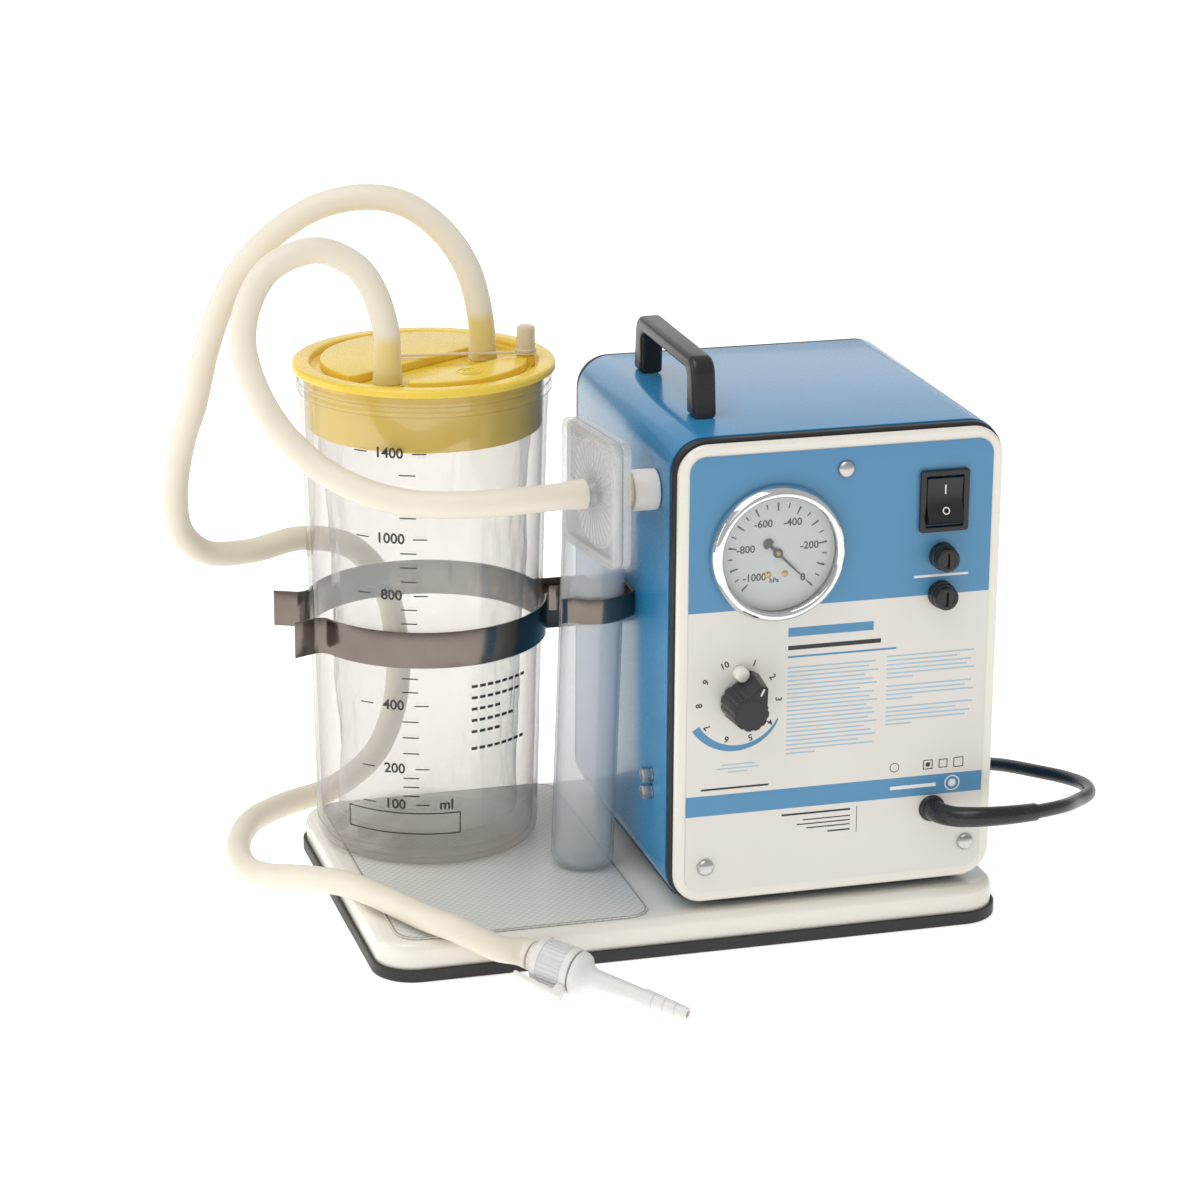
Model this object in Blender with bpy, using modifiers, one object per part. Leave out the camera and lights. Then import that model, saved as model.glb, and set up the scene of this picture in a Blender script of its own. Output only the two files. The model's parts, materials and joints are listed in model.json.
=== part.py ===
"""Bedside suction pump: a blue pump case and a collection jar standing on one base tray.

Metres, +Z up. The origin is the centre of the base's footprint on the floor. The front panel
faces -Y, the jar stands to its left (-X), and the case fills the right half of the base.
"""

import math

import bmesh
import bpy
from mathutils import Matrix, Vector
from mathutils.geometry import interpolate_bezier

# Fits shared by the whole machine
CLEAR = 0.0003  # between pieces that touch
RUN = 0.0006  # between pieces that turn or slide in each other
CUT_PAST = 0.005  # how far a cutter runs past the faces it opens

# Base: a black edging that carries a hollow cream tray
BASE_WIDTH = 0.320
BASE_DEPTH = 0.204
BASE_CORNER = 0.021
EDGING_HEIGHT = 0.0065
EDGING_WALL = 0.0015
EDGING_FLANGE = 0.012
EDGING_FLOOR = 0.0025
TRAY_TOP = 0.019
TRAY_WALL = 0.003
TRAY_ROUND = 0.004
BALLAST_THICK = 0.0015
MAT_WIDTH = 0.127
MAT_DEPTH = 0.190
MAT_X = -0.0855
MAT_CORNER = 0.012
MAT_THICK = 0.0008

# Case: a blue sleeve closed by two cream panels on black gaskets
CASE_X = 0.0705
SLEEVE_WIDTH = 0.1675
SLEEVE_HEIGHT = 0.2356
SLEEVE_DEPTH = 0.163
SLEEVE_FRONT = 0.084  # distance of its front edge in front of the origin
SLEEVE_CORNER = 0.017
SLEEVE_WALL = 0.0012
CASE_PAD_THICK = 0.0018
CASE_PAD_INSET = 0.009
GASKET_DEPTH = 0.005
GASKET_STEP = 0.0005
GASKET_WIDTH = 0.008
PANEL_STEP = 0.00175
PANEL_THICK = 0.0045
PANEL_ROUND = 0.0025
LABEL_MARGIN = 0.0055
LABEL_THICK = 0.0004

# Panel fittings: (x, height above the panel's middle)
TIE_TOP_OFF = 0.0013  # right of the case's middle
TIE_TOP_IN = 0.0178
TIE_LOW_IN = 0.0204
TIE_LEFT_IN = 0.01745
TIE_RIGHT_IN = 0.01485
TIE_ROD = 0.002
TIE_HEAD = 0.00425
TIE_HEAD_HEIGHT = 0.0026

# Pressure gauge
GAUGE_IN = 0.05105  # from the left side
GAUGE_RISE = 0.0611
BEZEL_RADIUS = 0.034
BEZEL_DEPTH = 0.0069
BEZEL_LIP = 0.0285
CUP_RADIUS = 0.0305
CUP_WALL = 0.0012
CUP_DEPTH = 0.034  # behind the dial
LENS_THICK = 0.0015
LENS_SINK = 0.001
DIAL_SINK = 0.0062
DIAL_THICK = 0.0008
DIAL_ZERO = math.radians(-45.0)  # the pointer's direction at zero
POINTER_THICK = 0.0008
POINTER_REACH = 0.0205
POINTER_TAIL = 0.0095
POINTER_HUB = 0.003
ARBOR_RADIUS = 0.001
ARBOR_REACH = 0.004  # behind the dial
STEM_LENGTH = 0.022
STEM_RADIUS = 0.005
STEM_COLLAR = 0.007
STEM_COLLAR_LENGTH = 0.008

# Mains switch
SWITCH_IN = 0.03235  # from the right side
SWITCH_RISE = 0.081
SWITCH_WIDTH = 0.025
SWITCH_HEIGHT = 0.031
SWITCH_LIP = 0.002
SWITCH_SOFT = 0.0006
SWITCH_POCKET_DEPTH = 0.008  # behind the rocker's pivot
SWITCH_BODY_DEPTH = 0.024
SWITCH_FRAME = 0.0033  # from the lip's edge to the rocker
ROCKER_BACK = 0.004  # behind the pivot, at the pressed end
ROCKER_TRAVEL = math.radians(20.0)
ROCKER_PIVOT_DEPTH = 0.0042  # behind the lip's face

# Fuse holders
FUSE_IN = 0.03225  # from the right side
FUSE_RISES = {"upper": 0.053, "lower": 0.0336}
FUSE_BARREL = 0.0055
FUSE_BARREL_DEPTH = 0.028
FUSE_FLANGE = 0.0067
FUSE_FLANGE_THICK = 0.0015
FUSE_CAP_BASE = 0.0067
FUSE_CAP_FRONT = 0.0059
FUSE_CAP_HEIGHT = 0.0078
FUSE_SLOT = (0.0012, 0.0085)
FUSE_SLOT_DEPTH = 0.0015
FUSE_STEM = 0.004
FUSE_STEM_LENGTH = 0.018

# Vacuum regulator
KNOB_IN = 0.03335  # from the left side
KNOB_RISE = -0.0127
KNOB_RADIUS = 0.0099
KNOB_REACH = 0.0164
KNOB_NOSE = 0.0025
KNOB_HEIGHT = 0.0196
KNOB_TAPER = 0.885
KNOB_TURN = math.radians(26.0)  # clockwise from upright, as it rests against the stop
KNOB_CAP_RADIUS = 0.0075
KNOB_CAP_THICK = 0.0014
KNOB_CAP_PROUD = 0.0002
KNOB_STOP_OUT = 0.0147
KNOB_STOP_RADIUS = 0.0036
KNOB_STOP_HEIGHT = 0.0065
SPINDLE_RADIUS = 0.003
SPINDLE_IN_KNOB = 0.012
REGULATOR_SIZE = 0.024
REGULATOR_DEPTH = 0.029
SPINDLE_IN_BODY = 0.010

# Mains lead outlet
OUTLET_IN = 0.03305  # from the right side
OUTLET_X = CASE_X + SLEEVE_WIDTH / 2 - OUTLET_IN
OUTLET_HEIGHT = 0.0614
BOOT_RADIUS = 0.0055
LEAD_RADIUS = 0.0035

# Carrying handle
HANDLE_IN = 0.02705  # from the left side
HANDLE_Y = -0.002
HANDLE_FOOT_SPAN = 0.104
HANDLE_TOP_SPAN = 0.0985
HANDLE_RISE = 0.029
HANDLE_FOOT = 0.013
HANDLE_LEG = 0.011
HANDLE_BAR = 0.008
HANDLE_WIDTH = 0.012
HANDLE_ROUND = 0.003

# Suction inlet on the left wall, and its filter
PORT_Y = -0.0634
PORT_HEIGHT = 0.2268
PORT_RADIUS = 0.005
PORT_BORE = 0.0025
PORT_TIP_RADIUS = 0.0042
PORT_OUT = 0.0185
PORT_IN = 0.014
PORT_FLANGE = 0.008
PORT_FLANGE_THICK = 0.002
NUT_RADIUS = 0.010
NUT_LENGTH = 0.013
NUT_ROUND = 0.0015
SIDE_BOLTS = {"case_bolt_upper": (-0.060, 0.0797), "case_bolt_lower": (-0.0603, 0.071)}
SIDE_BOLT_RADIUS = 0.0044
SIDE_BOLT_HEAD = 0.005
SIDE_BOLT_SHANK = 0.002
SIDE_BOLT_REACH = 0.006  # inside the wall
CONNECTOR_RADIUS = 0.0075
CONNECTOR_BORE = 0.0053
FILTER_CENTRE = Vector((-0.0440, -0.0660, 0.2280))
FILTER_TURN = math.radians(8.0)
FILTER_WIDTH = 0.063
FILTER_HEIGHT = 0.062
FILTER_THICK = 0.009
FILTER_CORNER = 0.006
FILTER_EDGE = 0.0012
MEMBRANE_THICK = 0.0003
FILTER_POCKET = 0.0024
FILTER_WALL = 0.004
FILTER_BOSS = 0.0042
FILTER_BOSS_LENGTH = 0.006
FILTER_NOZZLE = 0.0055
FILTER_NOZZLE_LENGTH = 0.0085
FILTER_BORE = 0.002

# Collection jar
JAR_X = -0.1015
JAR_Y = 0.047
JAR_HEIGHT = 0.2452
JAR_BOTTOM_RADIUS = 0.0563
JAR_TOP_RADIUS = 0.0622
JAR_HEEL = 0.005
JAR_BEAD = 0.002
JAR_BEAD_DROPS = (0.0036, 0.0086)
JAR_BEAD_HALF = 0.0016
JAR_WALL = 0.0022
LID_OVERHANG = 0.0033  # the rim, past the jar's wall
LID_RIM = 0.004
LID_RIM_WIDTH = 0.0085
LID_GROOVE = 0.0052  # between the rim and the dome
LID_DOME_RISE = 0.0048
LID_FLOOR = 0.0022
LID_SKIRT = 0.0016
LID_SKIRT_DROP = 0.029
LID_CHANNEL_HALF = 0.0135
SPIGOT_RADIUS = 0.0065
SPIGOT_RISE = 0.0026
VACUUM_PORT_IN = 0.0082  # from the dome's edge
VACUUM_PORT_BEARING = math.radians(-126.9)
PATIENT_PORT_IN = 0.0216
PATIENT_PORT_BEARING = 0.0
VENT_PORT_IN = 0.0011
VENT_PORT_BEARING = math.radians(-12.5)
VENT_RADIUS = 0.0034
VENT_RISE = 0.0115
VENT_CAP_RADIUS = 0.0053
VENT_CAP_TOP = 0.0046
VENT_CAP_HEIGHT = 0.0128
VENT_CAP_TRAVEL_FIT = 0.0004
STRAP_THICK = 0.0012
STRAP_LIFT = 0.0012
STRAP_HALF = 0.0011
STRAP_RING = 0.0052
STRAP_PASS = 0.0008  # between the strap and the patient spigot
STRAP_PAST = 0.0481  # from there to the anchor
STRAP_ANCHOR_RADIUS = 0.003
LINER_WALL = 0.0008
LINER_TAPER = 0.0079
LINER_BOTTOM_GAP = 0.008

# Spring clips on the left wall
JAR_CLIP_BOTTOM = 0.1275
JAR_CLIP_TALL = 0.0185
JAR_CLIP_THICK = 0.001
JAR_CLIP_FIT = 0.0010
JAR_CLIP_NECK = 0.013
JAR_CLIP_MOUTH = math.radians(25.0)  # half of the ring's open side
JAR_CLIP_THROAT = math.radians(12.0)  # where an arm leaves the ring for the wall
JAR_CLIP_FLARE = 0.006
JAR_CLIP_KICK = math.radians(95.0)
JAR_CLIP_TIP = 0.0105
TUBE_CLIP_HEIGHT = 0.1585
TUBE_CLIP_TALL = 0.0125
TUBE_CLIP_THICK = 0.0008
TUBE_CLIP_FIT = 0.0005
TUBE_CLIP_NECK = 0.007
TUBE_CLIP_MOUTH = math.radians(42.0)
TUBE_CLIP_THROAT = math.radians(55.0)
TUBE_CLIP_FLARE = 0.003
TUBE_CLIP_KICK = math.radians(70.0)
TUBE_CLIP_TIP = 0.003

# Catheter holder tube
HOLDER_X = -0.038
HOLDER_Y = -0.022
HOLDER_RADIUS = 0.0158
HOLDER_TOP_RADIUS = 0.0160
HOLDER_LENGTH = 0.1895
HOLDER_WALL = 0.0012
HOLDER_ROUND = 0.0045
HOLDER_LEAN = math.radians(1.8)

# Pump inside the case
MOTOR_X = 0.070
MOTOR_HEIGHT = 0.090
MOTOR_RADIUS = 0.036
MOTOR_FRONT = -0.035
MOTOR_REAR = 0.025
MOTOR_CHAMFER = 0.006
SHAFT_RADIUS = 0.004
FAN_RADIUS = 0.030
FAN_THICK = 0.008
FAN_GAP = 0.005  # between the motor and its fan
SHAFT_TAIL = 0.004
ROTOR_RADIUS = 0.019
ROTOR_LENGTH = 0.022
PUMP_GAP = 0.003  # between the motor and the pump
PUMP_RADIUS = 0.032
PUMP_LENGTH = 0.032
PUMP_WALL = 0.004
CHAMBER_RADIUS = 0.0225
CHAMBER_SHIFT = 0.0025
BRACKET_WIDTH = 0.100
BRACKET_THICK = 0.0025
SADDLE_WIDTH = 0.056
SADDLE_RISE = 0.038

# Hoses
HOSE_RADIUS = 0.0065
HOSE_POINT_SPACING = 0.030
HOSE_LEAD = 0.009  # straight stretch at each end
VACUUM_ROUTE = (
    (-0.1277, 0.0121, 0.2829),
    (-0.1280, 0.0125, 0.2930),
    (-0.1340, 0.0140, 0.3140),
    (-0.1430, 0.0160, 0.3265),
    (-0.1610, 0.0180, 0.3340),
    (-0.1840, 0.0150, 0.3270),
    (-0.1960, 0.0100, 0.3110),
    (-0.2000, 0.0040, 0.2930),
    (-0.1965, -0.0060, 0.2740),
    (-0.1870, -0.0160, 0.2555),
    (-0.1715, -0.0280, 0.2395),
    (-0.1538, -0.0420, 0.2305),
    (-0.1336, -0.0540, 0.2260),
    (-0.1087, -0.0660, 0.2265),
    (-0.0803, -0.0708, 0.2280),
)
PATIENT_ROUTE = (
    (-0.0720, 0.0472, 0.2860),
    (-0.0780, 0.0500, 0.3130),
    (-0.0900, 0.0550, 0.3320),
    (-0.1070, 0.0600, 0.3450),
    (-0.1260, 0.0650, 0.3487),
    (-0.1490, 0.0700, 0.3440),
    (-0.1680, 0.0750, 0.3320),
    (-0.1840, 0.0800, 0.3150),
    (-0.1950, 0.0850, 0.2950),
    (-0.2030, 0.0900, 0.2700),
    (-0.2090, 0.0950, 0.2410),
    (-0.2145, 0.1000, 0.2210),
    (-0.2180, 0.1060, 0.1940),
    (-0.2150, 0.1120, 0.1700),
    (-0.2010, 0.1190, 0.1550),
    (-0.1765, 0.1240, 0.1525),
    (-0.1500, 0.1280, 0.1560),
    (-0.1240, 0.1290, 0.1500),
    (-0.1060, 0.1310, 0.1290),
    (-0.0980, 0.1330, 0.0960),
    (-0.0980, 0.1360, 0.0600),
    (-0.1090, 0.1390, 0.0290),
    (-0.1320, 0.1400, 0.0110),
    (-0.1590, 0.1330, 0.0070),
    (-0.1800, 0.1150, 0.0069),
    (-0.1920, 0.0910, 0.0069),
    (-0.1972, 0.0670, 0.0069),
    (-0.1965, 0.0430, 0.0080),
    (-0.1895, 0.0230, 0.0115),
    (-0.1800, 0.0020, 0.0180),
    (-0.1700, -0.0200, 0.0240),
    (-0.1610, -0.0370, 0.0272),
    (-0.1520, -0.0520, 0.0275),
    (-0.1430, -0.0710, 0.0277),
    (-0.1335, -0.0905, 0.0278),
    (-0.1240, -0.1020, 0.0268),
    (-0.1135, -0.1090, 0.0225),
    (-0.1040, -0.1135, 0.0185),
)

# Suction valve on the patient hose
VALVE_START = Vector((-0.0889, -0.1185, 0.0152))
VALVE_TIP = Vector((-0.0296, -0.1785, 0.0040))
VALVE_TAIL_RADIUS = 0.0072
VALVE_TAIL_LENGTH = 0.003
VALVE_DRUM_RADIUS = 0.0115
VALVE_DRUM_START = 0.0036
VALVE_DRUM_LENGTH = 0.0205
VALVE_CORE = 0.0085
VALVE_HEAD = 0.0108
VALVE_HEAD_LENGTH = 0.0055
NOZZLE_BASE = 0.0060
NOZZLE_NECK = 0.0046
NOZZLE_TIP = 0.0034
NOZZLE_STEPS = 4
NOZZLE_STEP_LENGTH = 0.006
NOZZLE_BORE = 0.0018
LEVER_WIDTH = 0.006
LEVER_THICK = 0.0026
LEVER_TURN = math.radians(-28.0)

# Mains lead
BOOT_ROUTE = (
    (OUTLET_X, -0.0880, OUTLET_HEIGHT),
    (OUTLET_X, -0.0960, OUTLET_HEIGHT),
    (0.1225, -0.1050, 0.0620),
    (0.1270, -0.1130, 0.0630),
    (0.1350, -0.1185, 0.0640),
    (0.1450, -0.1205, 0.0643),
    (0.1560, -0.1200, 0.0640),
    (0.1670, -0.1170, 0.0630),
)
LEAD_ROUTE = (
    (0.1860, -0.1070, 0.0605),
    (0.2000, -0.0910, 0.0560),
    (0.2140, -0.0740, 0.0525),
    (0.2195, -0.0560, 0.0500),
    (0.2170, -0.0360, 0.0470),
    (0.2090, -0.0160, 0.0440),
    (0.2000, 0.0100, 0.0390),
    (0.1910, 0.0400, 0.0300),
    (0.1830, 0.0700, 0.0180),
    (0.1700, 0.0950, 0.0080),
    (0.1450, 0.1110, 0.0040),
    (0.1220, 0.1125, 0.0038),
)
BOOT_POINT_SPACING = 0.008
LEAD_POINT_SPACING = 0.018
LEAD_LEAD = 0.008
COIL_X = 0.075  # the coil lies on the floor behind the case
COIL_Y = 0.158
COIL_INNER = 0.028
COIL_OUTER = 0.049
COIL_TALL = 0.0142
PLUG_LENGTH = 0.040  # of the tapered grip behind the round face
PLUG_FACE = 0.014
PLUG_RADIUS = 0.0175
PLUG_WAIST = 0.012
PLUG_PIN = 0.0024
PLUG_PIN_LENGTH = 0.019
PLUG_PIN_HALF_GAP = 0.0095

# Places worked out from the sizes above
MAT_TOP = TRAY_TOP + CLEAR + MAT_THICK
SLEEVE_BOTTOM = TRAY_TOP + CLEAR + CASE_PAD_THICK + CLEAR
CASE_HEIGHT = SLEEVE_BOTTOM + SLEEVE_HEIGHT / 2
SLEEVE_TOP = SLEEVE_BOTTOM + SLEEVE_HEIGHT
SLEEVE_REAR = SLEEVE_DEPTH - SLEEVE_FRONT
WALL_X = CASE_X - SLEEVE_WIDTH / 2
RIGHT_X = CASE_X + SLEEVE_WIDTH / 2
TIE_BOLTS = {
    "tie_bolt_top": (CASE_X + TIE_TOP_OFF, SLEEVE_HEIGHT / 2 - TIE_TOP_IN),
    "tie_bolt_left": (WALL_X + TIE_LEFT_IN, TIE_LOW_IN - SLEEVE_HEIGHT / 2),
    "tie_bolt_right": (RIGHT_X - TIE_RIGHT_IN, TIE_LOW_IN - SLEEVE_HEIGHT / 2),
}
GAUGE_X = WALL_X + GAUGE_IN
KNOB_X = WALL_X + KNOB_IN
HANDLE_X = WALL_X + HANDLE_IN
SWITCH_X = RIGHT_X - SWITCH_IN
FUSE_X = RIGHT_X - FUSE_IN
ROCKER_WIDTH = SWITCH_WIDTH - 2 * SWITCH_FRAME
ROCKER_REACH = SWITCH_HEIGHT / 2 - SWITCH_FRAME  # radius of its rounded ends about the pivot
PANEL_BACK = SLEEVE_FRONT + CLEAR + GASKET_DEPTH + CLEAR
PANEL_FACE = PANEL_BACK + PANEL_THICK
LABEL_FACE = PANEL_FACE + CLEAR + LABEL_THICK
SEAT = LABEL_FACE + CLEAR  # what stands on the label starts here, in front of the origin
JAR_BASE = MAT_TOP + CLEAR
LID_SEAT = JAR_BASE + JAR_HEIGHT + CLEAR
DOME_TOP = LID_SEAT + LID_DOME_RISE
LID_RADIUS = JAR_TOP_RADIUS + LID_OVERHANG
LID_RIM_INNER = LID_RADIUS - LID_RIM_WIDTH
LID_DOME = LID_RIM_INNER - LID_GROOVE
VACUUM_PORT = Matrix.Rotation(VACUUM_PORT_BEARING, 2) @ Vector((LID_DOME - VACUUM_PORT_IN, 0.0))
PATIENT_PORT = Matrix.Rotation(PATIENT_PORT_BEARING, 2) @ Vector((LID_DOME - PATIENT_PORT_IN, 0.0))
VENT_PORT = Matrix.Rotation(VENT_PORT_BEARING, 2) @ Vector((LID_DOME - VENT_PORT_IN, 0.0))
PORT_TOP = DOME_TOP + SPIGOT_RISE

ORIGIN = (0.0, 0.0, 0.0)
FLAT = Matrix.Identity(4)
# Drawn as seen from the front, depth towards -Y
FRONT = Matrix.Rotation(math.radians(90.0), 4, "X")
# Drawn as seen from the left, depth towards -X
LEFT = Matrix(((0, 0, -1, 0), (-1, 0, 0, 0), (0, 1, 0, 0), (0, 0, 0, 1)))


def clear_scene():
    """Remove every object of the scene."""
    for obj in list(bpy.data.objects):
        bpy.data.objects.remove(obj, do_unlink=True)


def collection(name):
    """Make a collection in the scene."""
    made = bpy.data.collections.new(name)
    bpy.context.scene.collection.children.link(made)
    return made


def finish(name, colour, roughness, metallic=0.0, alpha=1.0):
    """Make a Principled material."""
    made = bpy.data.materials.new(name)
    made.use_nodes = True
    shader = made.node_tree.nodes["Principled BSDF"]
    shader.inputs["Base Color"].default_value = (*colour, 1.0)
    shader.inputs["Roughness"].default_value = roughness
    shader.inputs["Metallic"].default_value = metallic
    shader.inputs["Alpha"].default_value = alpha
    return made


def place(name, data, look, frame, at):
    """Add an object of this mesh or curve to the machine, or to the cutters where it has no look."""
    obj = bpy.data.objects.new(name, data)
    obj.matrix_world = Matrix.Translation(at) @ frame
    if look:
        data.materials.append(look)
        PARTS.objects.link(obj)
    else:
        obj.hide_render = True
        obj.display_type = "WIRE"
        CUTTERS.objects.link(obj)
    return obj


def shade(mesh, angle=35.0):
    """Shade a mesh smooth, but for its sharp edges."""
    mesh.shade_smooth()
    mesh.set_sharp_from_angle(angle=math.radians(angle))


def combine(obj, other, operation):
    """Cut another object from this one, or join it on."""
    step = obj.modifiers.new(other.name, "BOOLEAN")
    step.operation = operation
    step.solver = "EXACT"
    step.object = other
    return obj


def cut(obj, *others):
    """Cut helper objects away from this one."""
    for other in others:
        combine(obj, other, "DIFFERENCE")
    return obj


def join(obj, *others):
    """Join helper objects to this one."""
    for other in others:
        combine(obj, other, "UNION")
    return obj


def fillet(corners, steps=4):
    """Round the corners of a closed outline; each corner is (x, y, radius)."""
    points = []
    count = len(corners)
    for index, (x, y, radius) in enumerate(corners):
        here = Vector((x, y))
        before = Vector(corners[index - 1][:2])
        after = Vector(corners[(index + 1) % count][:2])
        if radius == 0.0:
            points.append((x, y))
            continue
        back = (before - here).normalized()
        ahead = (after - here).normalized()
        half = back.angle(ahead) / 2
        reach = radius / math.tan(half)
        centre = here + (back + ahead).normalized() * radius / math.sin(half)
        first = here + back * reach - centre
        sweep = math.pi - 2 * half
        side = -1.0 if back.x * ahead.y - back.y * ahead.x > 0 else 1.0
        for step in range(steps + 1):
            turn = Matrix.Rotation(side * sweep * step / steps, 2)
            points.append(tuple(centre + turn @ first))
    return points


def rounded_rectangle(width, height, radius, steps=4):
    """Outline of a rectangle with round corners, centred on the origin."""
    x = width / 2
    y = height / 2
    return fillet([(-x, -y, radius), (x, -y, radius), (x, y, radius), (-x, y, radius)], steps)


def circle(radius, steps=24, centre=(0.0, 0.0)):
    """Outline of a circle."""
    angles = [math.tau * step / steps for step in range(steps)]
    return [(centre[0] + radius * math.cos(a), centre[1] + radius * math.sin(a)) for a in angles]


def prism(name, look, outlines, low, high, frame=FLAT, at=ORIGIN, soft=(0.0, 0.0), steps=2):
    """Extrude flat outlines (the later ones are holes) from low to high along the frame's depth.

    soft holds the rounding of a single outline's low and high rims.
    """
    curve = bpy.data.curves.new(name, "CURVE")
    curve.dimensions = "2D"
    curve.fill_mode = "BOTH"
    curve.extrude = (high - low) / 2
    for outline in outlines:
        spline = curve.splines.new("POLY")
        spline.points.add(len(outline) - 1)
        for point, (x, y) in zip(spline.points, outline):
            point.co = (x, y, 0.0, 1.0)
        spline.use_cyclic_u = True
    mesh = as_mesh(name, curve)
    shape = bmesh.new()
    shape.from_mesh(mesh)
    bmesh.ops.remove_doubles(shape, verts=shape.verts, dist=1e-6)
    bmesh.ops.translate(shape, verts=shape.verts, vec=(0.0, 0.0, (low + high) / 2))
    if any(soft):
        bmesh.ops.dissolve_limit(
            shape, angle_limit=math.radians(0.5), verts=shape.verts, edges=shape.edges
        )
    for level, amount in zip((low, high), soft):
        if amount:
            rim = [e for e in shape.edges if all(abs(v.co.z - level) < 1e-6 for v in e.verts)]
            bmesh.ops.bevel(
                shape, geom=rim, offset=amount, segments=steps, profile=0.5, affect="EDGES"
            )
    bmesh.ops.recalc_face_normals(shape, faces=shape.faces)
    shape.to_mesh(mesh)
    shape.free()
    shade(mesh)
    return place(name, mesh, look, frame, at)


def as_mesh(name, curve):
    """Turn a curve into a mesh."""
    helper = bpy.data.objects.new(name, curve)
    PARTS.objects.link(helper)
    graph = bpy.context.evaluated_depsgraph_get()
    mesh = bpy.data.meshes.new_from_object(helper.evaluated_get(graph))
    bpy.data.objects.remove(helper)
    return mesh


def turned(name, look, profile, frame=FLAT, at=ORIGIN, steps=24, ring=False):
    """Turn a profile of (radius, depth) points about the frame's depth axis.

    The profile runs down its outer side, from the far end of the depth to the near one.
    A ring's profile is closed; any other starts and ends on the axis.
    """
    mesh = bpy.data.meshes.new(name)
    count = len(profile)
    edges = [(i, i + 1) for i in range(count - 1)]
    if ring:
        edges.append((count - 1, 0))
    mesh.from_pydata([(radius, 0.0, depth) for radius, depth in profile], edges, [])
    obj = place(name, mesh, look, frame, at)
    screw = obj.modifiers.new("Turn", "SCREW")
    screw.axis = "Z"
    screw.angle = math.tau
    screw.steps = steps
    screw.render_steps = steps
    screw.use_merge_vertices = True
    screw.merge_threshold = 1e-5
    screw.use_smooth_shade = True
    return obj


def rod(name, look, radius, low, high, frame=FLAT, at=ORIGIN, steps=24):
    """A plain round bar along the frame's depth."""
    return turned(name, look, [(0.0, high), (radius, high), (radius, low), (0.0, low)], frame, at, steps)


def block(name, look, size, low, high, frame=FLAT, at=ORIGIN):
    """A plain rectangular bar along the frame's depth."""
    x = size[0] / 2
    y = size[1] / 2
    return prism(name, look, [[(-x, -y), (x, -y), (x, y), (-x, y)]], low, high, frame, at)


def smooth_route(route, spacing):
    """Points at even distances on a smooth curve through a route's points."""
    given = [Vector(point) for point in route]
    given = [2 * given[0] - given[1], *given, 2 * given[-1] - given[-2]]
    fine = [given[1]]
    for a, b, c, d in zip(given, given[1:], given[2:], given[3:]):
        knots = [0.0]
        for near, far in ((a, b), (b, c), (c, d)):
            knots.append(knots[-1] + math.sqrt((far - near).length))
        fine += [catmull_rom((a, b, c, d), knots, step / 12) for step in range(1, 13)]
    lengths = [0.0]
    for near, far in zip(fine, fine[1:]):
        lengths.append(lengths[-1] + (far - near).length)
    count = max(2, round(lengths[-1] / spacing))
    points = []
    index = 0
    for step in range(count + 1):
        target = lengths[-1] * step / count
        while index < len(fine) - 2 and lengths[index + 1] < target:
            index += 1
        share = (target - lengths[index]) / (lengths[index + 1] - lengths[index])
        points.append(fine[index].lerp(fine[index + 1], share))
    return points


def catmull_rom(corners, knots, share):
    """Point on the centripetal Catmull-Rom segment between the second and third corner."""
    t = knots[1] + (knots[2] - knots[1]) * share
    level = list(corners)
    for spans in (((0, 1), (1, 2), (2, 3)), ((0, 2), (1, 3)), ((1, 2),)):
        following = []
        for index, (low, high) in enumerate(spans):
            share = (t - knots[low]) / (knots[high] - knots[low])
            following.append(level[index].lerp(level[index + 1], share))
        level = following
    return level[0]


def cord_points(start, way, route, end, end_way, lead, spacing):
    """Points of a cord that leaves its start and meets its end straight, with a smooth curve between."""
    middle = smooth_route([start + way * lead, *route, end - end_way * lead], spacing)
    return [start, *middle, end]


def tube(name, look, points, radius, end_radius=None, resolution=2):
    """A round cord or hose along a line of points, with closed ends; it may taper to its end."""
    curve = bpy.data.curves.new(name, "CURVE")
    curve.dimensions = "3D"
    curve.bevel_depth = radius
    curve.bevel_resolution = resolution
    curve.use_fill_caps = True
    spline = curve.splines.new("POLY")
    spline.points.add(len(points) - 1)
    last = len(points) - 1
    for index, (knot, point) in enumerate(zip(spline.points, points)):
        knot.co = (*point, 1.0)
        if end_radius:
            knot.radius = 1.0 + (end_radius / radius - 1.0) * index / last
    return place(name, curve, look, FLAT, ORIGIN)


def strip(name, look, path, bottom, tall, thick):
    """A spring strip of this thickness that follows a plan path."""
    shape = bmesh.new()
    low = [shape.verts.new((x, y, bottom)) for x, y in path]
    edges = [shape.edges.new(pair) for pair in zip(low, low[1:])]
    grown = bmesh.ops.extrude_edge_only(shape, edges=edges)["geom"]
    raised = [item for item in grown if isinstance(item, bmesh.types.BMVert)]
    bmesh.ops.translate(shape, verts=raised, vec=(0.0, 0.0, tall))
    mesh = bpy.data.meshes.new(name)
    shape.to_mesh(mesh)
    shape.free()
    shade(mesh)
    obj = place(name, mesh, look, FLAT, ORIGIN)
    wall = obj.modifiers.new("Thickness", "SOLIDIFY")
    wall.thickness = thick
    wall.offset = 0.0
    wall.use_even_offset = True
    return obj


def inset_base(inset):
    """The base's outline, drawn in by this much."""
    return rounded_rectangle(BASE_WIDTH - 2 * inset, BASE_DEPTH - 2 * inset, BASE_CORNER - inset, 5)


def inset_case(inset, steps=4):
    """The case's outline as seen from the front, drawn in by this much."""
    return rounded_rectangle(
        SLEEVE_WIDTH - 2 * inset, SLEEVE_HEIGHT - 2 * inset, SLEEVE_CORNER - inset, steps
    )


def on_panel(x, rise, forward=0.0):
    """A place on the front of the case: x, its height above the case's middle, its distance forward."""
    return (x, -forward, CASE_HEIGHT + rise)


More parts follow.
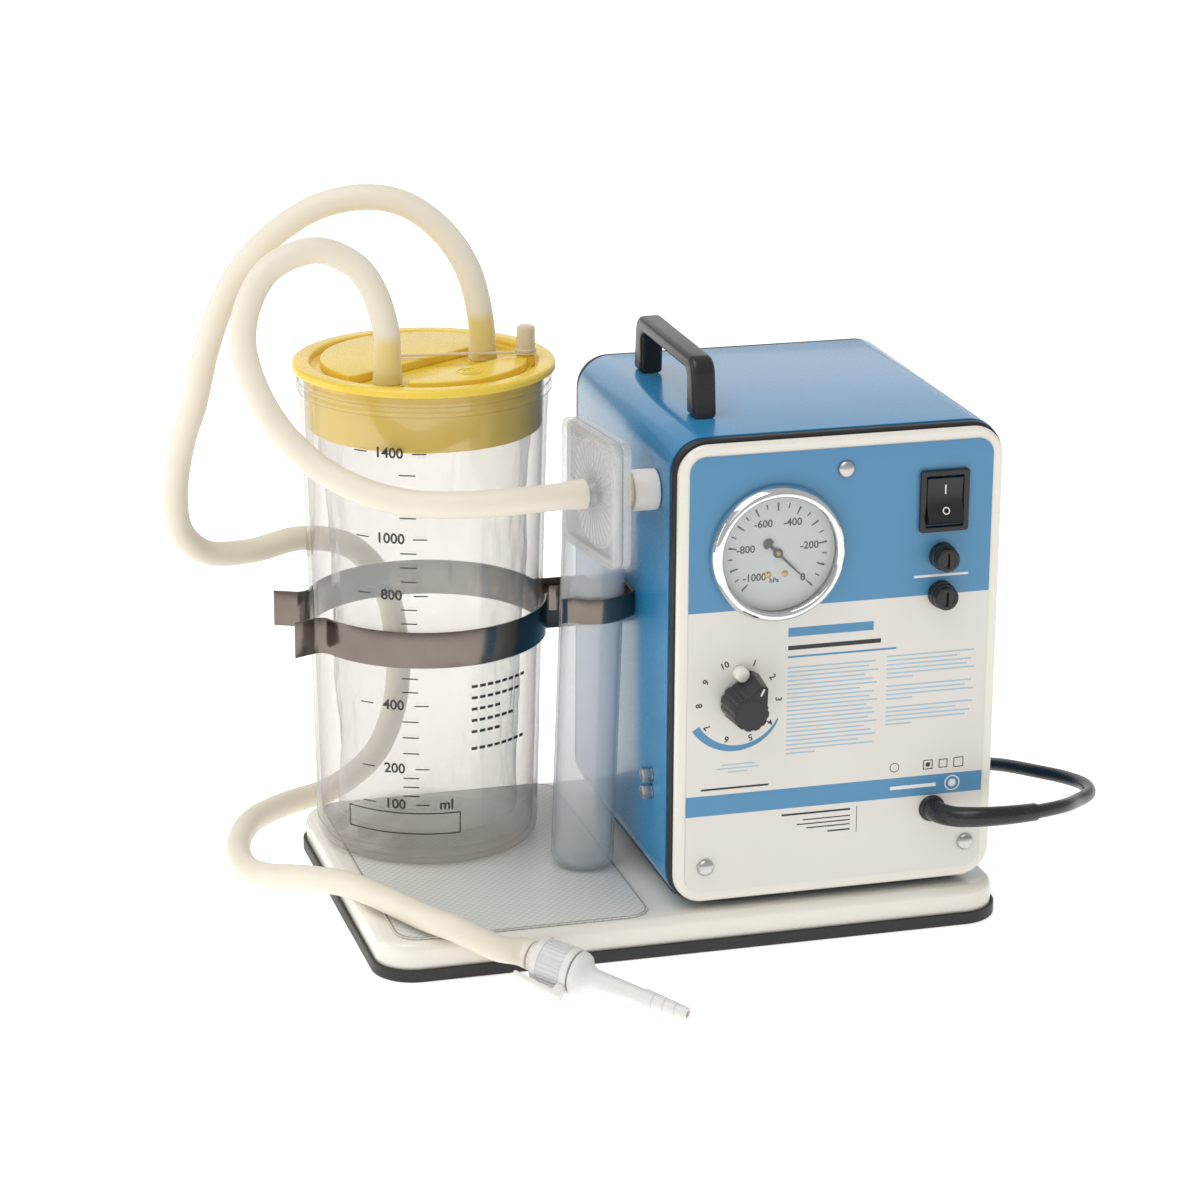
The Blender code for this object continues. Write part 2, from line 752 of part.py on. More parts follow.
def make_base():
    """Edging, tray, ballast plate and jar mat."""
    edging = prism("base_edging", BLACK, [inset_base(0.0)], 0.0, EDGING_HEIGHT)
    pocket = prism("edging_pocket", None, [inset_base(EDGING_WALL)], EDGING_FLOOR, EDGING_HEIGHT * 2)
    hole = prism("edging_hole", None, [inset_base(EDGING_FLANGE)], -EDGING_HEIGHT, EDGING_HEIGHT)
    cut(edging, pocket, hole)

    tray_inset = EDGING_WALL + CLEAR
    tray_bottom = EDGING_FLOOR + CLEAR
    tray_outline = [inset_base(tray_inset)]
    tray = prism("base_tray", CREAM, tray_outline, tray_bottom, TRAY_TOP, soft=(0.0, TRAY_ROUND), steps=3)
    hollow = prism("tray_hollow", None, [inset_base(tray_inset + TRAY_WALL)], 0.0, TRAY_TOP - TRAY_WALL)
    cut(tray, hollow)

    plate_inset = tray_inset + TRAY_WALL + CLEAR
    plate_top = tray_bottom + BALLAST_THICK
    plate = prism("base_bottom_plate", STEEL, [inset_base(plate_inset)], tray_bottom, plate_top)
    foot_outline = [inset_base(EDGING_FLANGE + CLEAR)]
    join(plate, prism("plate_foot", None, foot_outline, 0.0, tray_bottom + BALLAST_THICK / 2))

    mat_outline = rounded_rectangle(MAT_WIDTH, MAT_DEPTH, MAT_CORNER)
    prism("base_mat", MAT, [mat_outline], 0.0, MAT_THICK, at=(MAT_X, 0.0, TRAY_TOP + CLEAR))


def case_holes(clearance, depth_low, depth_high):
    """Cutters for everything that passes through the front panel and its label."""
    spans = (depth_low, depth_high, FRONT)
    cutters = [
        rod("gauge_hole", None, CUP_RADIUS + clearance, *spans, on_panel(GAUGE_X, GAUGE_RISE), 32),
        rod("spindle_hole", None, SPINDLE_RADIUS + clearance, *spans, on_panel(KNOB_X, KNOB_RISE), 16),
        rod("boot_hole", None, BOOT_RADIUS + clearance, *spans, (OUTLET_X, 0.0, OUTLET_HEIGHT), 16),
    ]
    for name, (x, rise) in TIE_BOLTS.items():
        cutters.append(rod(name + "_hole", None, TIE_ROD + clearance, *spans, on_panel(x, rise), 12))
    for name, rise in FUSE_RISES.items():
        radius = FUSE_BARREL + clearance
        cutters.append(rod("fuse_hole_" + name, None, radius, *spans, on_panel(FUSE_X, rise), 20))
    peg_radius = KNOB_STOP_RADIUS / 2 + clearance
    peg_at = on_panel(KNOB_X, KNOB_RISE + KNOB_STOP_OUT)
    cutters.append(rod("peg_hole", None, peg_radius, *spans, peg_at, 12))
    size = [side - 2 * SWITCH_LIP + 2 * clearance for side in (SWITCH_WIDTH, SWITCH_HEIGHT)]
    cutters.append(block("switch_hole", None, size, *spans, on_panel(SWITCH_X, SWITCH_RISE)))
    return cutters


def make_case():
    """Foot pad, sleeve, gaskets, panels and label."""
    pad_outline = rounded_rectangle(
        SLEEVE_WIDTH - 2 * CASE_PAD_INSET, SLEEVE_DEPTH - 2 * CASE_PAD_INSET, SLEEVE_CORNER / 2
    )
    pad_y = (SLEEVE_REAR - SLEEVE_FRONT) / 2
    prism("case_pad", BLACK, [pad_outline], 0.0, CASE_PAD_THICK, at=(CASE_X, pad_y, TRAY_TOP + CLEAR))

    middle = (CASE_X, 0.0, CASE_HEIGHT)
    walls = [inset_case(0.0, 6), inset_case(SLEEVE_WALL, 6)]
    shell = prism("case_shell", BLUE, walls, -SLEEVE_REAR, SLEEVE_FRONT, FRONT, middle)
    port_at = (WALL_X, PORT_Y, PORT_HEIGHT)
    cut(shell, rod("port_hole", None, PORT_RADIUS + RUN, -CUT_PAST, CUT_PAST, LEFT, port_at, 20))
    for name, (y, height) in SIDE_BOLTS.items():
        at = (WALL_X, y, height)
        radius = SIDE_BOLT_SHANK + RUN
        cut(shell, rod(name + "_hole", None, radius, -CUT_PAST, CUT_PAST, LEFT, at, 12))

    rings = [inset_case(GASKET_STEP), inset_case(GASKET_WIDTH)]
    gasket_front = SLEEVE_FRONT + CLEAR
    prism("front_gasket", BLACK, rings, gasket_front, gasket_front + GASKET_DEPTH, FRONT, middle)
    gasket_rear = -SLEEVE_REAR - CLEAR
    prism("rear_gasket", BLACK, rings, gasket_rear - GASKET_DEPTH, gasket_rear, FRONT, middle)

    outline = [inset_case(PANEL_STEP)]
    soft = (0.0, PANEL_ROUND)
    front = prism("front_panel", CREAM, outline, PANEL_BACK, PANEL_FACE, FRONT, middle, soft)
    cut(front, *case_holes(RUN, PANEL_BACK - CUT_PAST, PANEL_FACE + CUT_PAST))
    rear_back = gasket_rear - GASKET_DEPTH - CLEAR
    soft = (PANEL_ROUND, 0.0)
    rear = prism("rear_panel", CREAM, outline, rear_back - PANEL_THICK, rear_back, FRONT, middle, soft)
    for name, (x, rise) in TIE_BOLTS.items():
        span = (rear_back - 2 * PANEL_THICK, rear_back + PANEL_THICK, FRONT)
        cut(rear, rod(name + "_rear_hole", None, TIE_ROD + RUN, *span, on_panel(x, rise), 12))

    label_outline = [inset_case(PANEL_STEP + LABEL_MARGIN)]
    label_back = LABEL_FACE - LABEL_THICK
    label = prism("front_label", LABEL, label_outline, label_back, LABEL_FACE, FRONT, middle)
    cut(label, *case_holes(RUN, label_back - CUT_PAST, LABEL_FACE + CUT_PAST))

    head_top = SEAT + TIE_HEAD_HEIGHT
    rod_end = rear_back - PANEL_THICK + 2 * CLEAR
    for name, (x, rise) in TIE_BOLTS.items():
        profile = [
            (0.0, head_top),
            (TIE_HEAD * 0.55, head_top - TIE_HEAD_HEIGHT * 0.12),
            (TIE_HEAD * 0.9, head_top - TIE_HEAD_HEIGHT * 0.5),
            (TIE_HEAD, SEAT + TIE_HEAD_HEIGHT * 0.1),
            (TIE_HEAD, SEAT),
            (TIE_ROD, SEAT),
            (TIE_ROD, rod_end),
            (0.0, rod_end),
        ]
        turned(name, STEEL, profile, FRONT, on_panel(x, rise), 12)


def make_handle():
    """The carrying handle on the case's top, and the two bolts in its left wall."""
    foot = HANDLE_FOOT_SPAN / 2
    top = HANDLE_TOP_SPAN / 2
    bar_under = HANDLE_RISE - HANDLE_BAR
    outline = fillet(
        [
            (-foot - HANDLE_FOOT / 2, 0.0, 0.0),
            (-foot + HANDLE_FOOT / 2, 0.0, 0.0),
            (-top + HANDLE_LEG / 2, bar_under, 0.004),
            (top - HANDLE_LEG / 2, bar_under, 0.004),
            (foot - HANDLE_FOOT / 2, 0.0, 0.0),
            (foot + HANDLE_FOOT / 2, 0.0, 0.0),
            (top + HANDLE_LEG / 2, HANDLE_RISE, 0.009),
            (-top - HANDLE_LEG / 2, HANDLE_RISE, 0.009),
        ],
        3,
    )
    half = HANDLE_WIDTH / 2
    at = (HANDLE_X, HANDLE_Y, SLEEVE_TOP + CLEAR)
    prism("carry_handle", BLACK, [outline], -half, half, LEFT, at, (HANDLE_ROUND, HANDLE_ROUND))

    for name, (y, height) in SIDE_BOLTS.items():
        tip = -SLEEVE_WALL - SIDE_BOLT_REACH
        profile = [
            (0.0, CLEAR + SIDE_BOLT_HEAD),
            (SIDE_BOLT_RADIUS * 0.88, CLEAR + SIDE_BOLT_HEAD),
            (SIDE_BOLT_RADIUS, CLEAR + SIDE_BOLT_HEAD * 0.85),
            (SIDE_BOLT_RADIUS, CLEAR),
            (SIDE_BOLT_SHANK, CLEAR),
            (SIDE_BOLT_SHANK, tip),
            (0.0, tip),
        ]
        turned(name, STEEL, profile, LEFT, (WALL_X, y, height), 6)


def make_gauge():
    """Cup, bezel, dial, pointer, lens and stem of the vacuum gauge."""
    at = on_panel(GAUGE_X, GAUGE_RISE)
    front = SEAT + BEZEL_DEPTH
    lens_front = front - LENS_SINK
    lens_back = lens_front - LENS_THICK
    dial_front = front - DIAL_SINK
    dial_back = dial_front - DIAL_THICK
    cup_back = dial_back - CUP_DEPTH
    cup_inside = CUP_RADIUS - CUP_WALL
    cup_mouth = lens_back - CLEAR
    cup = [
        (0.0, cup_back + CUP_WALL),
        (cup_inside, cup_back + CUP_WALL),
        (cup_inside, cup_mouth),
        (CUP_RADIUS, cup_mouth),
        (CUP_RADIUS, cup_back),
        (0.0, cup_back),
    ]
    turned("gauge_case", STEEL, cup, FRONT, at, 32)

    ring_inside = CUP_RADIUS + CLEAR
    bezel = [
        (BEZEL_LIP, front),
        (BEZEL_RADIUS - 0.0015, front),
        (BEZEL_RADIUS, front - 0.0015),
        (BEZEL_RADIUS, SEAT),
        (ring_inside, SEAT),
        (ring_inside, lens_front + CLEAR),
        (BEZEL_LIP, lens_front + CLEAR),
    ]
    turned("gauge_bezel", CHROME, bezel, FRONT, at, 40, ring=True)
    rod("gauge_lens", GLASS, CUP_RADIUS - CLEAR, lens_back, lens_front, FRONT, at, 32)
    dial_radius = cup_inside - CLEAR
    dial = [
        (ARBOR_RADIUS + RUN, dial_front),
        (dial_radius, dial_front),
        (dial_radius, dial_back),
        (ARBOR_RADIUS + RUN, dial_back),
    ]
    turned("gauge_dial", WHITE, dial, FRONT, at, 32, ring=True)

    needle_low = dial_front + RUN
    needle_high = needle_low + POINTER_THICK
    hub_top = lens_back - RUN
    arbor_end = dial_back - ARBOR_REACH
    hub = [
        (0.0, hub_top),
        (POINTER_HUB * 0.75, hub_top),
        (POINTER_HUB, needle_high),
        (POINTER_HUB, needle_low),
        (ARBOR_RADIUS, needle_low),
        (ARBOR_RADIUS, arbor_end),
        (0.0, arbor_end),
    ]
    needle = [(0.001, 0.0012), (-0.006, 0.0010), (-POINTER_TAIL, 0.0021), (-POINTER_TAIL, -0.0021)]
    needle += [(-0.006, -0.0010), (0.001, -0.0012), (POINTER_REACH, -0.00025), (POINTER_REACH, 0.00025)]
    turn = Matrix.Rotation(DIAL_ZERO, 2)
    outline = [tuple(turn @ Vector(point)) for point in reversed(needle)]
    pointer = turned("gauge_pointer", DARK, hub, FRONT, at, 16)
    join(pointer, prism("needle", None, [outline], needle_low, needle_high, FRONT, at))

    stem_front = cup_back - CLEAR
    stem = [
        (0.0, stem_front),
        (STEM_COLLAR, stem_front),
        (STEM_COLLAR, stem_front - STEM_COLLAR_LENGTH),
        (STEM_RADIUS, stem_front - STEM_COLLAR_LENGTH),
        (STEM_RADIUS, stem_front - STEM_LENGTH),
        (0.0, stem_front - STEM_LENGTH),
    ]
    turned("gauge_stem", BRASS, stem, FRONT, at, 16)


def make_switch():
    """Switch housing and its rocker, pressed in at the top."""
    at = on_panel(SWITCH_X, SWITCH_RISE)
    face = SEAT + SWITCH_LIP
    lip = rounded_rectangle(SWITCH_WIDTH, SWITCH_HEIGHT, 0.0015, 2)
    soft = (0.0, SWITCH_SOFT)
    housing = prism("switch_housing", BLACK, [lip], SEAT, face, FRONT, at, soft, steps=1)
    body = (SWITCH_WIDTH - 2 * SWITCH_LIP, SWITCH_HEIGHT - 2 * SWITCH_LIP)
    body_back = face - SWITCH_BODY_DEPTH
    join(housing, block("switch_body", None, body, body_back, SEAT + SWITCH_LIP / 2, FRONT, at))
    pocket = (ROCKER_WIDTH + RUN, 2 * (ROCKER_REACH + RUN))
    pocket_back = face - ROCKER_PIVOT_DEPTH - SWITCH_POCKET_DEPTH
    cut(housing, block("switch_pocket", None, pocket, pocket_back, face + SWITCH_LIP, FRONT, at))

    nose = ROCKER_PIVOT_DEPTH
    flush = math.asin(nose / ROCKER_REACH)
    back = -math.asin(ROCKER_BACK / ROCKER_REACH)
    # Both ends are arcs about the pivot, so the rocker clears its pocket at every angle
    top = [back + (flush - back) * step / 3 for step in range(4)]
    bottom = [math.pi - ROCKER_TRAVEL - angle for angle in reversed(top)]
    reach = ROCKER_REACH
    side = [(reach * math.sin(angle), reach * math.cos(angle)) for angle in top + bottom]
    side.insert(len(top), (nose, -nose * math.tan(ROCKER_TRAVEL / 2)))
    half = ROCKER_WIDTH / 2
    pivot = (at[0], -face + nose, at[2])
    prism("switch_rocker", BLACK, [side], -half, half, LEFT, pivot)


def make_fuses():
    """Two fuse holders and their quarter-turn caps."""
    flange_top = SEAT + FUSE_FLANGE_THICK
    cap_low = flange_top + CLEAR
    cap_top = cap_low + FUSE_CAP_HEIGHT
    bore = FUSE_STEM + RUN
    bore_end = cap_low - FUSE_STEM_LENGTH - RUN
    for name, rise in FUSE_RISES.items():
        at = on_panel(FUSE_X, rise)
        barrel_end = SEAT - FUSE_BARREL_DEPTH
        holder = [
            (0.0, bore_end),
            (bore, bore_end),
            (bore, flange_top),
            (FUSE_FLANGE, flange_top),
            (FUSE_FLANGE, SEAT),
            (FUSE_BARREL, SEAT),
            (FUSE_BARREL, barrel_end),
            (0.0, barrel_end),
        ]
        turned("fuse_holder_" + name, BLACK, holder, FRONT, at, 20)
        stem_end = cap_low - FUSE_STEM_LENGTH
        cap = [
            (0.0, cap_top),
            (FUSE_CAP_FRONT - 0.001, cap_top),
            (FUSE_CAP_FRONT, cap_top - 0.001),
            (FUSE_CAP_BASE, cap_low + 0.001),
            (FUSE_CAP_BASE, cap_low),
            (FUSE_STEM, cap_low),
            (FUSE_STEM, stem_end),
            (0.0, stem_end),
        ]
        knob = turned("fuse_cap_" + name, BLACK, cap, FRONT, at, 20)
        span = (cap_top - FUSE_SLOT_DEPTH, cap_top + CUT_PAST)
        cut(knob, block("fuse_slot_" + name, None, FUSE_SLOT, *span, FRONT, at))


def knob_outline():
    """Round knob with a straight pointer nose, turned to its resting place against the stop."""
    open_angle = math.asin(KNOB_NOSE / KNOB_RADIUS)
    steps = 22
    points = [
        (KNOB_REACH - KNOB_NOSE * 0.6, KNOB_NOSE),
        *(
            (KNOB_RADIUS * math.cos(a), KNOB_RADIUS * math.sin(a))
            for a in (open_angle + (math.tau - 2 * open_angle) * i / steps for i in range(steps + 1))
        ),
        (KNOB_REACH - KNOB_NOSE * 0.6, -KNOB_NOSE),
        (KNOB_REACH, -KNOB_NOSE * 0.4),
        (KNOB_REACH, KNOB_NOSE * 0.4),
    ]
    turn = Matrix.Rotation(math.pi / 2 - KNOB_TURN, 2)
    return [tuple(turn @ Vector(point)) for point in points]


def make_regulator():
    """Knob with its cap and spindle, the stop peg, and the regulator body behind the panel."""
    at = on_panel(KNOB_X, KNOB_RISE)
    low = SEAT + RUN
    high = low + KNOB_HEIGHT
    knob = prism("regulator_knob", BLACK, [knob_outline()], low, high, FRONT, at)
    for vertex in knob.data.vertices:
        if vertex.co.z > (low + high) / 2:
            vertex.co.x *= KNOB_TAPER
            vertex.co.y *= KNOB_TAPER
    cap_back = high - KNOB_CAP_THICK
    recess_radius = KNOB_CAP_RADIUS + CLEAR
    recess = rod("cap_recess", None, recess_radius, cap_back - CLEAR, high + CUT_PAST, FRONT, at)
    spindle_tip = low + SPINDLE_IN_KNOB
    socket_span = (low - CUT_PAST, spindle_tip + CLEAR)
    socket = rod("spindle_socket", None, SPINDLE_RADIUS + CLEAR, *socket_span, FRONT, at, 16)
    cut(knob, recess, socket)
    cap = [
        (0.0, high + KNOB_CAP_PROUD),
        (KNOB_CAP_RADIUS - 0.0006, high + KNOB_CAP_PROUD),
        (KNOB_CAP_RADIUS, high - 0.0004),
        (KNOB_CAP_RADIUS, cap_back),
        (0.0, cap_back),
    ]
    turned("regulator_knob_cap", BLACK, cap, FRONT, at)

    body_front = PANEL_BACK - CLEAR
    spindle_end = body_front - SPINDLE_IN_BODY
    rod("regulator_spindle", BRASS, SPINDLE_RADIUS, spindle_end, spindle_tip, FRONT, at, 16)
    size = (REGULATOR_SIZE, REGULATOR_SIZE)
    body = block("regulator_body", BRASS, size, body_front - REGULATOR_DEPTH, body_front, FRONT, at)
    bore_low = spindle_end - CLEAR
    bore_span = (bore_low, body_front + CUT_PAST)
    cut(body, rod("regulator_bore", None, SPINDLE_RADIUS + RUN, *bore_span, FRONT, at, 16))

    peg_top = SEAT + KNOB_STOP_HEIGHT
    peg_end = PANEL_BACK + CLEAR
    peg = [
        (0.0, peg_top),
        (KNOB_STOP_RADIUS * 0.6, peg_top - 0.0005),
        (KNOB_STOP_RADIUS, peg_top - 0.0022),
        (KNOB_STOP_RADIUS, SEAT),
        (KNOB_STOP_RADIUS / 2, SEAT),
        (KNOB_STOP_RADIUS / 2, peg_end),
        (0.0, peg_end),
    ]
    turned("knob_stop", WHITE, peg, FRONT, on_panel(KNOB_X, KNOB_RISE + KNOB_STOP_OUT), 16)


def filter_frame():
    """Drawn like LEFT, turned a little about the vertical, as the soft connector lets it hang."""
    return Matrix.Rotation(FILTER_TURN, 4, "Z") @ LEFT


def make_inlet():
    """Suction port, its nut, the soft connector and the square hydrophobic filter."""
    at = (WALL_X, PORT_Y, PORT_HEIGHT)
    flange_face = -SLEEVE_WALL - CLEAR
    flange_back = flange_face - PORT_FLANGE_THICK
    nut_end = CLEAR + NUT_LENGTH
    port = [
        (PORT_BORE, PORT_OUT),
        (PORT_TIP_RADIUS, PORT_OUT),
        (PORT_TIP_RADIUS, nut_end - CLEAR),
        (PORT_RADIUS, nut_end - CLEAR),
        (PORT_RADIUS, flange_face),
        (PORT_FLANGE, flange_face),
        (PORT_FLANGE, flange_back),
        (PORT_RADIUS, flange_back),
        (PORT_RADIUS, -PORT_IN),
        (PORT_BORE, -PORT_IN),
    ]
    turned("suction_port", BRASS, port, LEFT, at, 20, ring=True)
    nut = [
        (PORT_RADIUS + CLEAR, nut_end),
        (NUT_RADIUS - 0.0006, nut_end),
        (NUT_RADIUS, nut_end - 0.0006),
        (NUT_RADIUS, CLEAR + NUT_ROUND),
        (NUT_RADIUS - NUT_ROUND * 0.3, CLEAR + NUT_ROUND * 0.3),
        (NUT_RADIUS - NUT_ROUND, CLEAR),
        (PORT_RADIUS + CLEAR, CLEAR),
    ]
    turned("port_nut", WHITE, nut, LEFT, at, 24, ring=True)

    frame = filter_frame()
    axis = frame.to_3x3() @ Vector((0.0, 0.0, 1.0))
    shell_face = FILTER_THICK / 2
    start = Vector((WALL_X - nut_end - CLEAR, PORT_Y, PORT_HEIGHT))
    end = FILTER_CENTRE - axis * (shell_face + CLEAR)
    reach = (start.x - end.x) / 3
    handle = Vector((-reach, 0.0, 0.0))
    near = start + handle * 0.4
    far = end - axis * reach * 0.4
    bend = interpolate_bezier(near, near + handle * 0.6, far - axis * reach * 0.6, far, 5)
    path = [start, *bend, end]
    connector = as_mesh_tube("filter_connector", SILICONE, path, CONNECTOR_RADIUS)
    beyond = [path[0] + (path[0] - path[1]), *path, path[-1] + (path[-1] - path[-2])]
    cut(connector, as_mesh_tube("connector_bore", None, beyond, CONNECTOR_BORE))

    outline = rounded_rectangle(FILTER_WIDTH, FILTER_HEIGHT, FILTER_CORNER, 3)
    pocket = rounded_rectangle(
        FILTER_WIDTH - 2 * FILTER_WALL, FILTER_HEIGHT - 2 * FILTER_WALL, FILTER_CORNER / 2, 2
    )
    half_membrane = MEMBRANE_THICK / 2
    inner_face = half_membrane + CLEAR
    floor = inner_face + FILTER_POCKET
    spots = (frame, FILTER_CENTRE)
    soft = (0.0, FILTER_EDGE)
    outer = prism("filter_shell_outer", CLEAR_PLASTIC, [outline], inner_face, shell_face, *spots, soft, 1)
    nozzle_end = shell_face + FILTER_NOZZLE_LENGTH
    join(outer, rod("filter_nozzle", None, FILTER_NOZZLE, shell_face - 0.0005, nozzle_end, *spots, 20))
    outer_bore = rod("outer_bore", None, FILTER_BORE, 0.0, nozzle_end + 0.001, *spots, 12)
    cut(outer, prism("outer_pocket", None, [pocket], 0.0, floor, *spots), outer_bore)

    soft = (FILTER_EDGE, 0.0)
    inner = prism("filter_shell_inner", CLEAR_PLASTIC, [outline], -shell_face, -inner_face, *spots, soft, 1)
    boss_end = -shell_face - FILTER_BOSS_LENGTH
    join(inner, rod("filter_boss", None, FILTER_BOSS, boss_end, -shell_face + 0.0005, *spots, 20))
    inner_bore = rod("inner_bore", None, FILTER_BORE, boss_end - 0.001, 0.0, *spots, 12)
    cut(inner, prism("inner_pocket", None, [pocket], -floor, 0.0, *spots), inner_bore)
    prism("filter_membrane", WHITE, [outline], -half_membrane, half_membrane, *spots)
    return FILTER_CENTRE + axis * nozzle_end, axis


def as_mesh_tube(name, look, points, radius):
    """A tube made a mesh, so that it can be cut or can cut."""
    curve_object = tube(name + "_line", None, points, radius, resolution=3)
    graph = bpy.context.evaluated_depsgraph_get()
    mesh = bpy.data.meshes.new_from_object(curve_object.evaluated_get(graph))
    bpy.data.objects.remove(curve_object)
    shape = bmesh.new()
    shape.from_mesh(mesh)
    bmesh.ops.remove_doubles(shape, verts=shape.verts, dist=1e-6)
    bmesh.ops.recalc_face_normals(shape, faces=shape.faces)
    shape.to_mesh(mesh)
    shape.free()
    shade(mesh)
    return place(name, mesh, look, FLAT, ORIGIN)


def jar_radius(height):
    """The jar's outer radius at this height above its bottom, between heel and beads."""
    share = (height - JAR_HEEL) / (JAR_HEIGHT - JAR_HEEL)
    return JAR_BOTTOM_RADIUS + (JAR_TOP_RADIUS - JAR_BOTTOM_RADIUS) * share


def make_jar():
    """The jar, its lid with three ports, the liner bag, and the vent cap on its strap."""
    at = (JAR_X, JAR_Y, JAR_BASE)
    floor = JAR_WALL
    inside_bottom = JAR_BOTTOM_RADIUS - JAR_WALL
    profile = [
        (0.0, floor),
        (inside_bottom - JAR_HEEL, floor),
        (inside_bottom, floor + JAR_HEEL),
        (JAR_TOP_RADIUS - JAR_WALL, JAR_HEIGHT),
        (JAR_TOP_RADIUS, JAR_HEIGHT),
    ]
    for drop in JAR_BEAD_DROPS:
        middle = JAR_HEIGHT - drop
        profile += [
            (JAR_TOP_RADIUS, middle + JAR_BEAD_HALF),
            (JAR_TOP_RADIUS + JAR_BEAD, middle),
            (JAR_TOP_RADIUS, middle - JAR_BEAD_HALF),
        ]
    profile += [
        (JAR_BOTTOM_RADIUS, JAR_HEEL),
        (JAR_BOTTOM_RADIUS - JAR_HEEL * 0.3, JAR_HEEL * 0.3),
        (JAR_BOTTOM_RADIUS - JAR_HEEL, 0.0),
        (0.0, 0.0),
    ]
    turned("jar", CLEAR_PLASTIC, profile, FLAT, at, 40)

    skirt = JAR_TOP_RADIUS - JAR_WALL - 2 * RUN
    skirt_inner = skirt - LID_SKIRT
    skirt_end = -LID_SKIRT_DROP
    profile = [
        (0.0, LID_DOME_RISE),
        (LID_DOME - 0.0015, LID_DOME_RISE),
        (LID_DOME + 0.0005, 0.0),
        (LID_RIM_INNER - 0.001, 0.0),
        (LID_RIM_INNER, LID_RIM),
        (LID_RADIUS - 0.0012, LID_RIM),
        (LID_RADIUS, LID_RIM - 0.0012),
        (LID_RADIUS, 0.0),
        (skirt, 0.0),
        (skirt, skirt_end),
        (skirt_inner, skirt_end),
        (skirt_inner, -LID_FLOOR),
        (0.0, -LID_FLOOR),
    ]
    at = (JAR_X, JAR_Y, LID_SEAT)
    lid = turned("jar_lid", YELLOW, profile, FLAT, at, 40)
    run = Vector(PATIENT_PORT) - Vector(VACUUM_PORT)
    along = Matrix.Rotation(math.atan2(run.y, run.x), 4, "Z")
    middle = (Vector(PATIENT_PORT) + Vector(VACUUM_PORT)) / 2
    centre = (JAR_X + middle.x, JAR_Y + middle.y, LID_SEAT)
    channel = (2 * LID_RIM_INNER - 0.012, 2 * LID_CHANNEL_HALF)
    cut(lid, block("lid_channel", None, channel, 0.0002, LID_DOME_RISE * 2, along, centre))
    top = PORT_TOP - LID_SEAT
    for name, (x, y) in (("vacuum", VACUUM_PORT), ("patient", PATIENT_PORT)):
        spot = (JAR_X + x, JAR_Y + y, LID_SEAT)
        join(lid, rod(name + "_spigot", None, SPIGOT_RADIUS, -LID_FLOOR / 2, top, FLAT, spot, 16))
        cut(lid, rod(name + "_bore", None, SPIGOT_RADIUS / 2, -LID_FLOOR * 3, top * 2, FLAT, spot, 12))
    spot = (JAR_X + VENT_PORT[0], JAR_Y + VENT_PORT[1], LID_SEAT)
    vent_top = LID_DOME_RISE + VENT_RISE
    join(lid, rod("vent_spigot", None, VENT_RADIUS, -LID_FLOOR / 2, vent_top, FLAT, spot, 16))

    liner_top = -LID_FLOOR - CLEAR
    liner_bottom = JAR_BASE + JAR_WALL + LINER_BOTTOM_GAP - LID_SEAT
    liner_radius = skirt_inner - CLEAR
    liner_foot = liner_radius - LINER_TAPER
    liner = [
        (0.0, liner_bottom + LINER_WALL),
        (liner_foot - LINER_WALL - 0.004, liner_bottom + LINER_WALL),
        (liner_foot - LINER_WALL, liner_bottom + LINER_WALL + 0.004),
        (liner_radius - LINER_WALL, liner_top),
        (liner_radius, liner_top),
        (liner_foot, liner_bottom + 0.0035),
        (liner_foot - 0.0035, liner_bottom),
        (0.0, liner_bottom),
    ]
    turned("liner_bag", LINER_FILM, liner, FLAT, at, 32)

    strap_low = LID_DOME_RISE + STRAP_LIFT
    strap_high = strap_low + STRAP_THICK
    vent = Vector(VENT_PORT)
    pass_at = Vector((PATIENT_PORT.x, -SPIGOT_RADIUS - STRAP_PASS - STRAP_HALF))
    anchor = pass_at + (pass_at - vent).normalized() * STRAP_PAST
    bar = vent - anchor
    ring = prism("cap_strap", WHITE, [circle(STRAP_RING, 16, vent)], strap_low, strap_high, FLAT, at)
    turn = Matrix.Rotation(math.atan2(bar.y, bar.x), 4, "Z")
    middle = Vector(at) + Vector(((vent.x + anchor.x) / 2, (vent.y + anchor.y) / 2, 0.0))
    size = (bar.length, 2 * STRAP_HALF)
    join(ring, block("strap_bar", None, size, strap_low, strap_high, turn, middle))
    spot = Vector(at) + Vector((anchor.x, anchor.y, 0.0))
    anchor_span = (LID_DOME_RISE + CLEAR, strap_high + CLEAR)
    join(ring, rod("strap_anchor", None, STRAP_ANCHOR_RADIUS, *anchor_span, FLAT, spot, 16))
    spot = Vector(at) + Vector((vent.x, vent.y, 0.0))
    cut(ring, rod("strap_hole", None, VENT_RADIUS + CLEAR, 0.0, strap_high * 2, FLAT, spot, 16))

    cap_low = strap_high + CLEAR
    cap_top = cap_low + VENT_CAP_HEIGHT
    bore_top = LID_DOME_RISE + VENT_RISE + CLEAR
    bore = VENT_RADIUS + VENT_CAP_TRAVEL_FIT
    cap = [
        (0.0, cap_top),
        (VENT_CAP_TOP - 0.0005, cap_top),
        (VENT_CAP_TOP, cap_top - 0.0005),
        (VENT_CAP_RADIUS, cap_low),
        (bore, cap_low),
        (bore, bore_top),
        (0.0, bore_top),
    ]
    turned("vent_cap", WHITE, cap, FLAT, spot, 20)


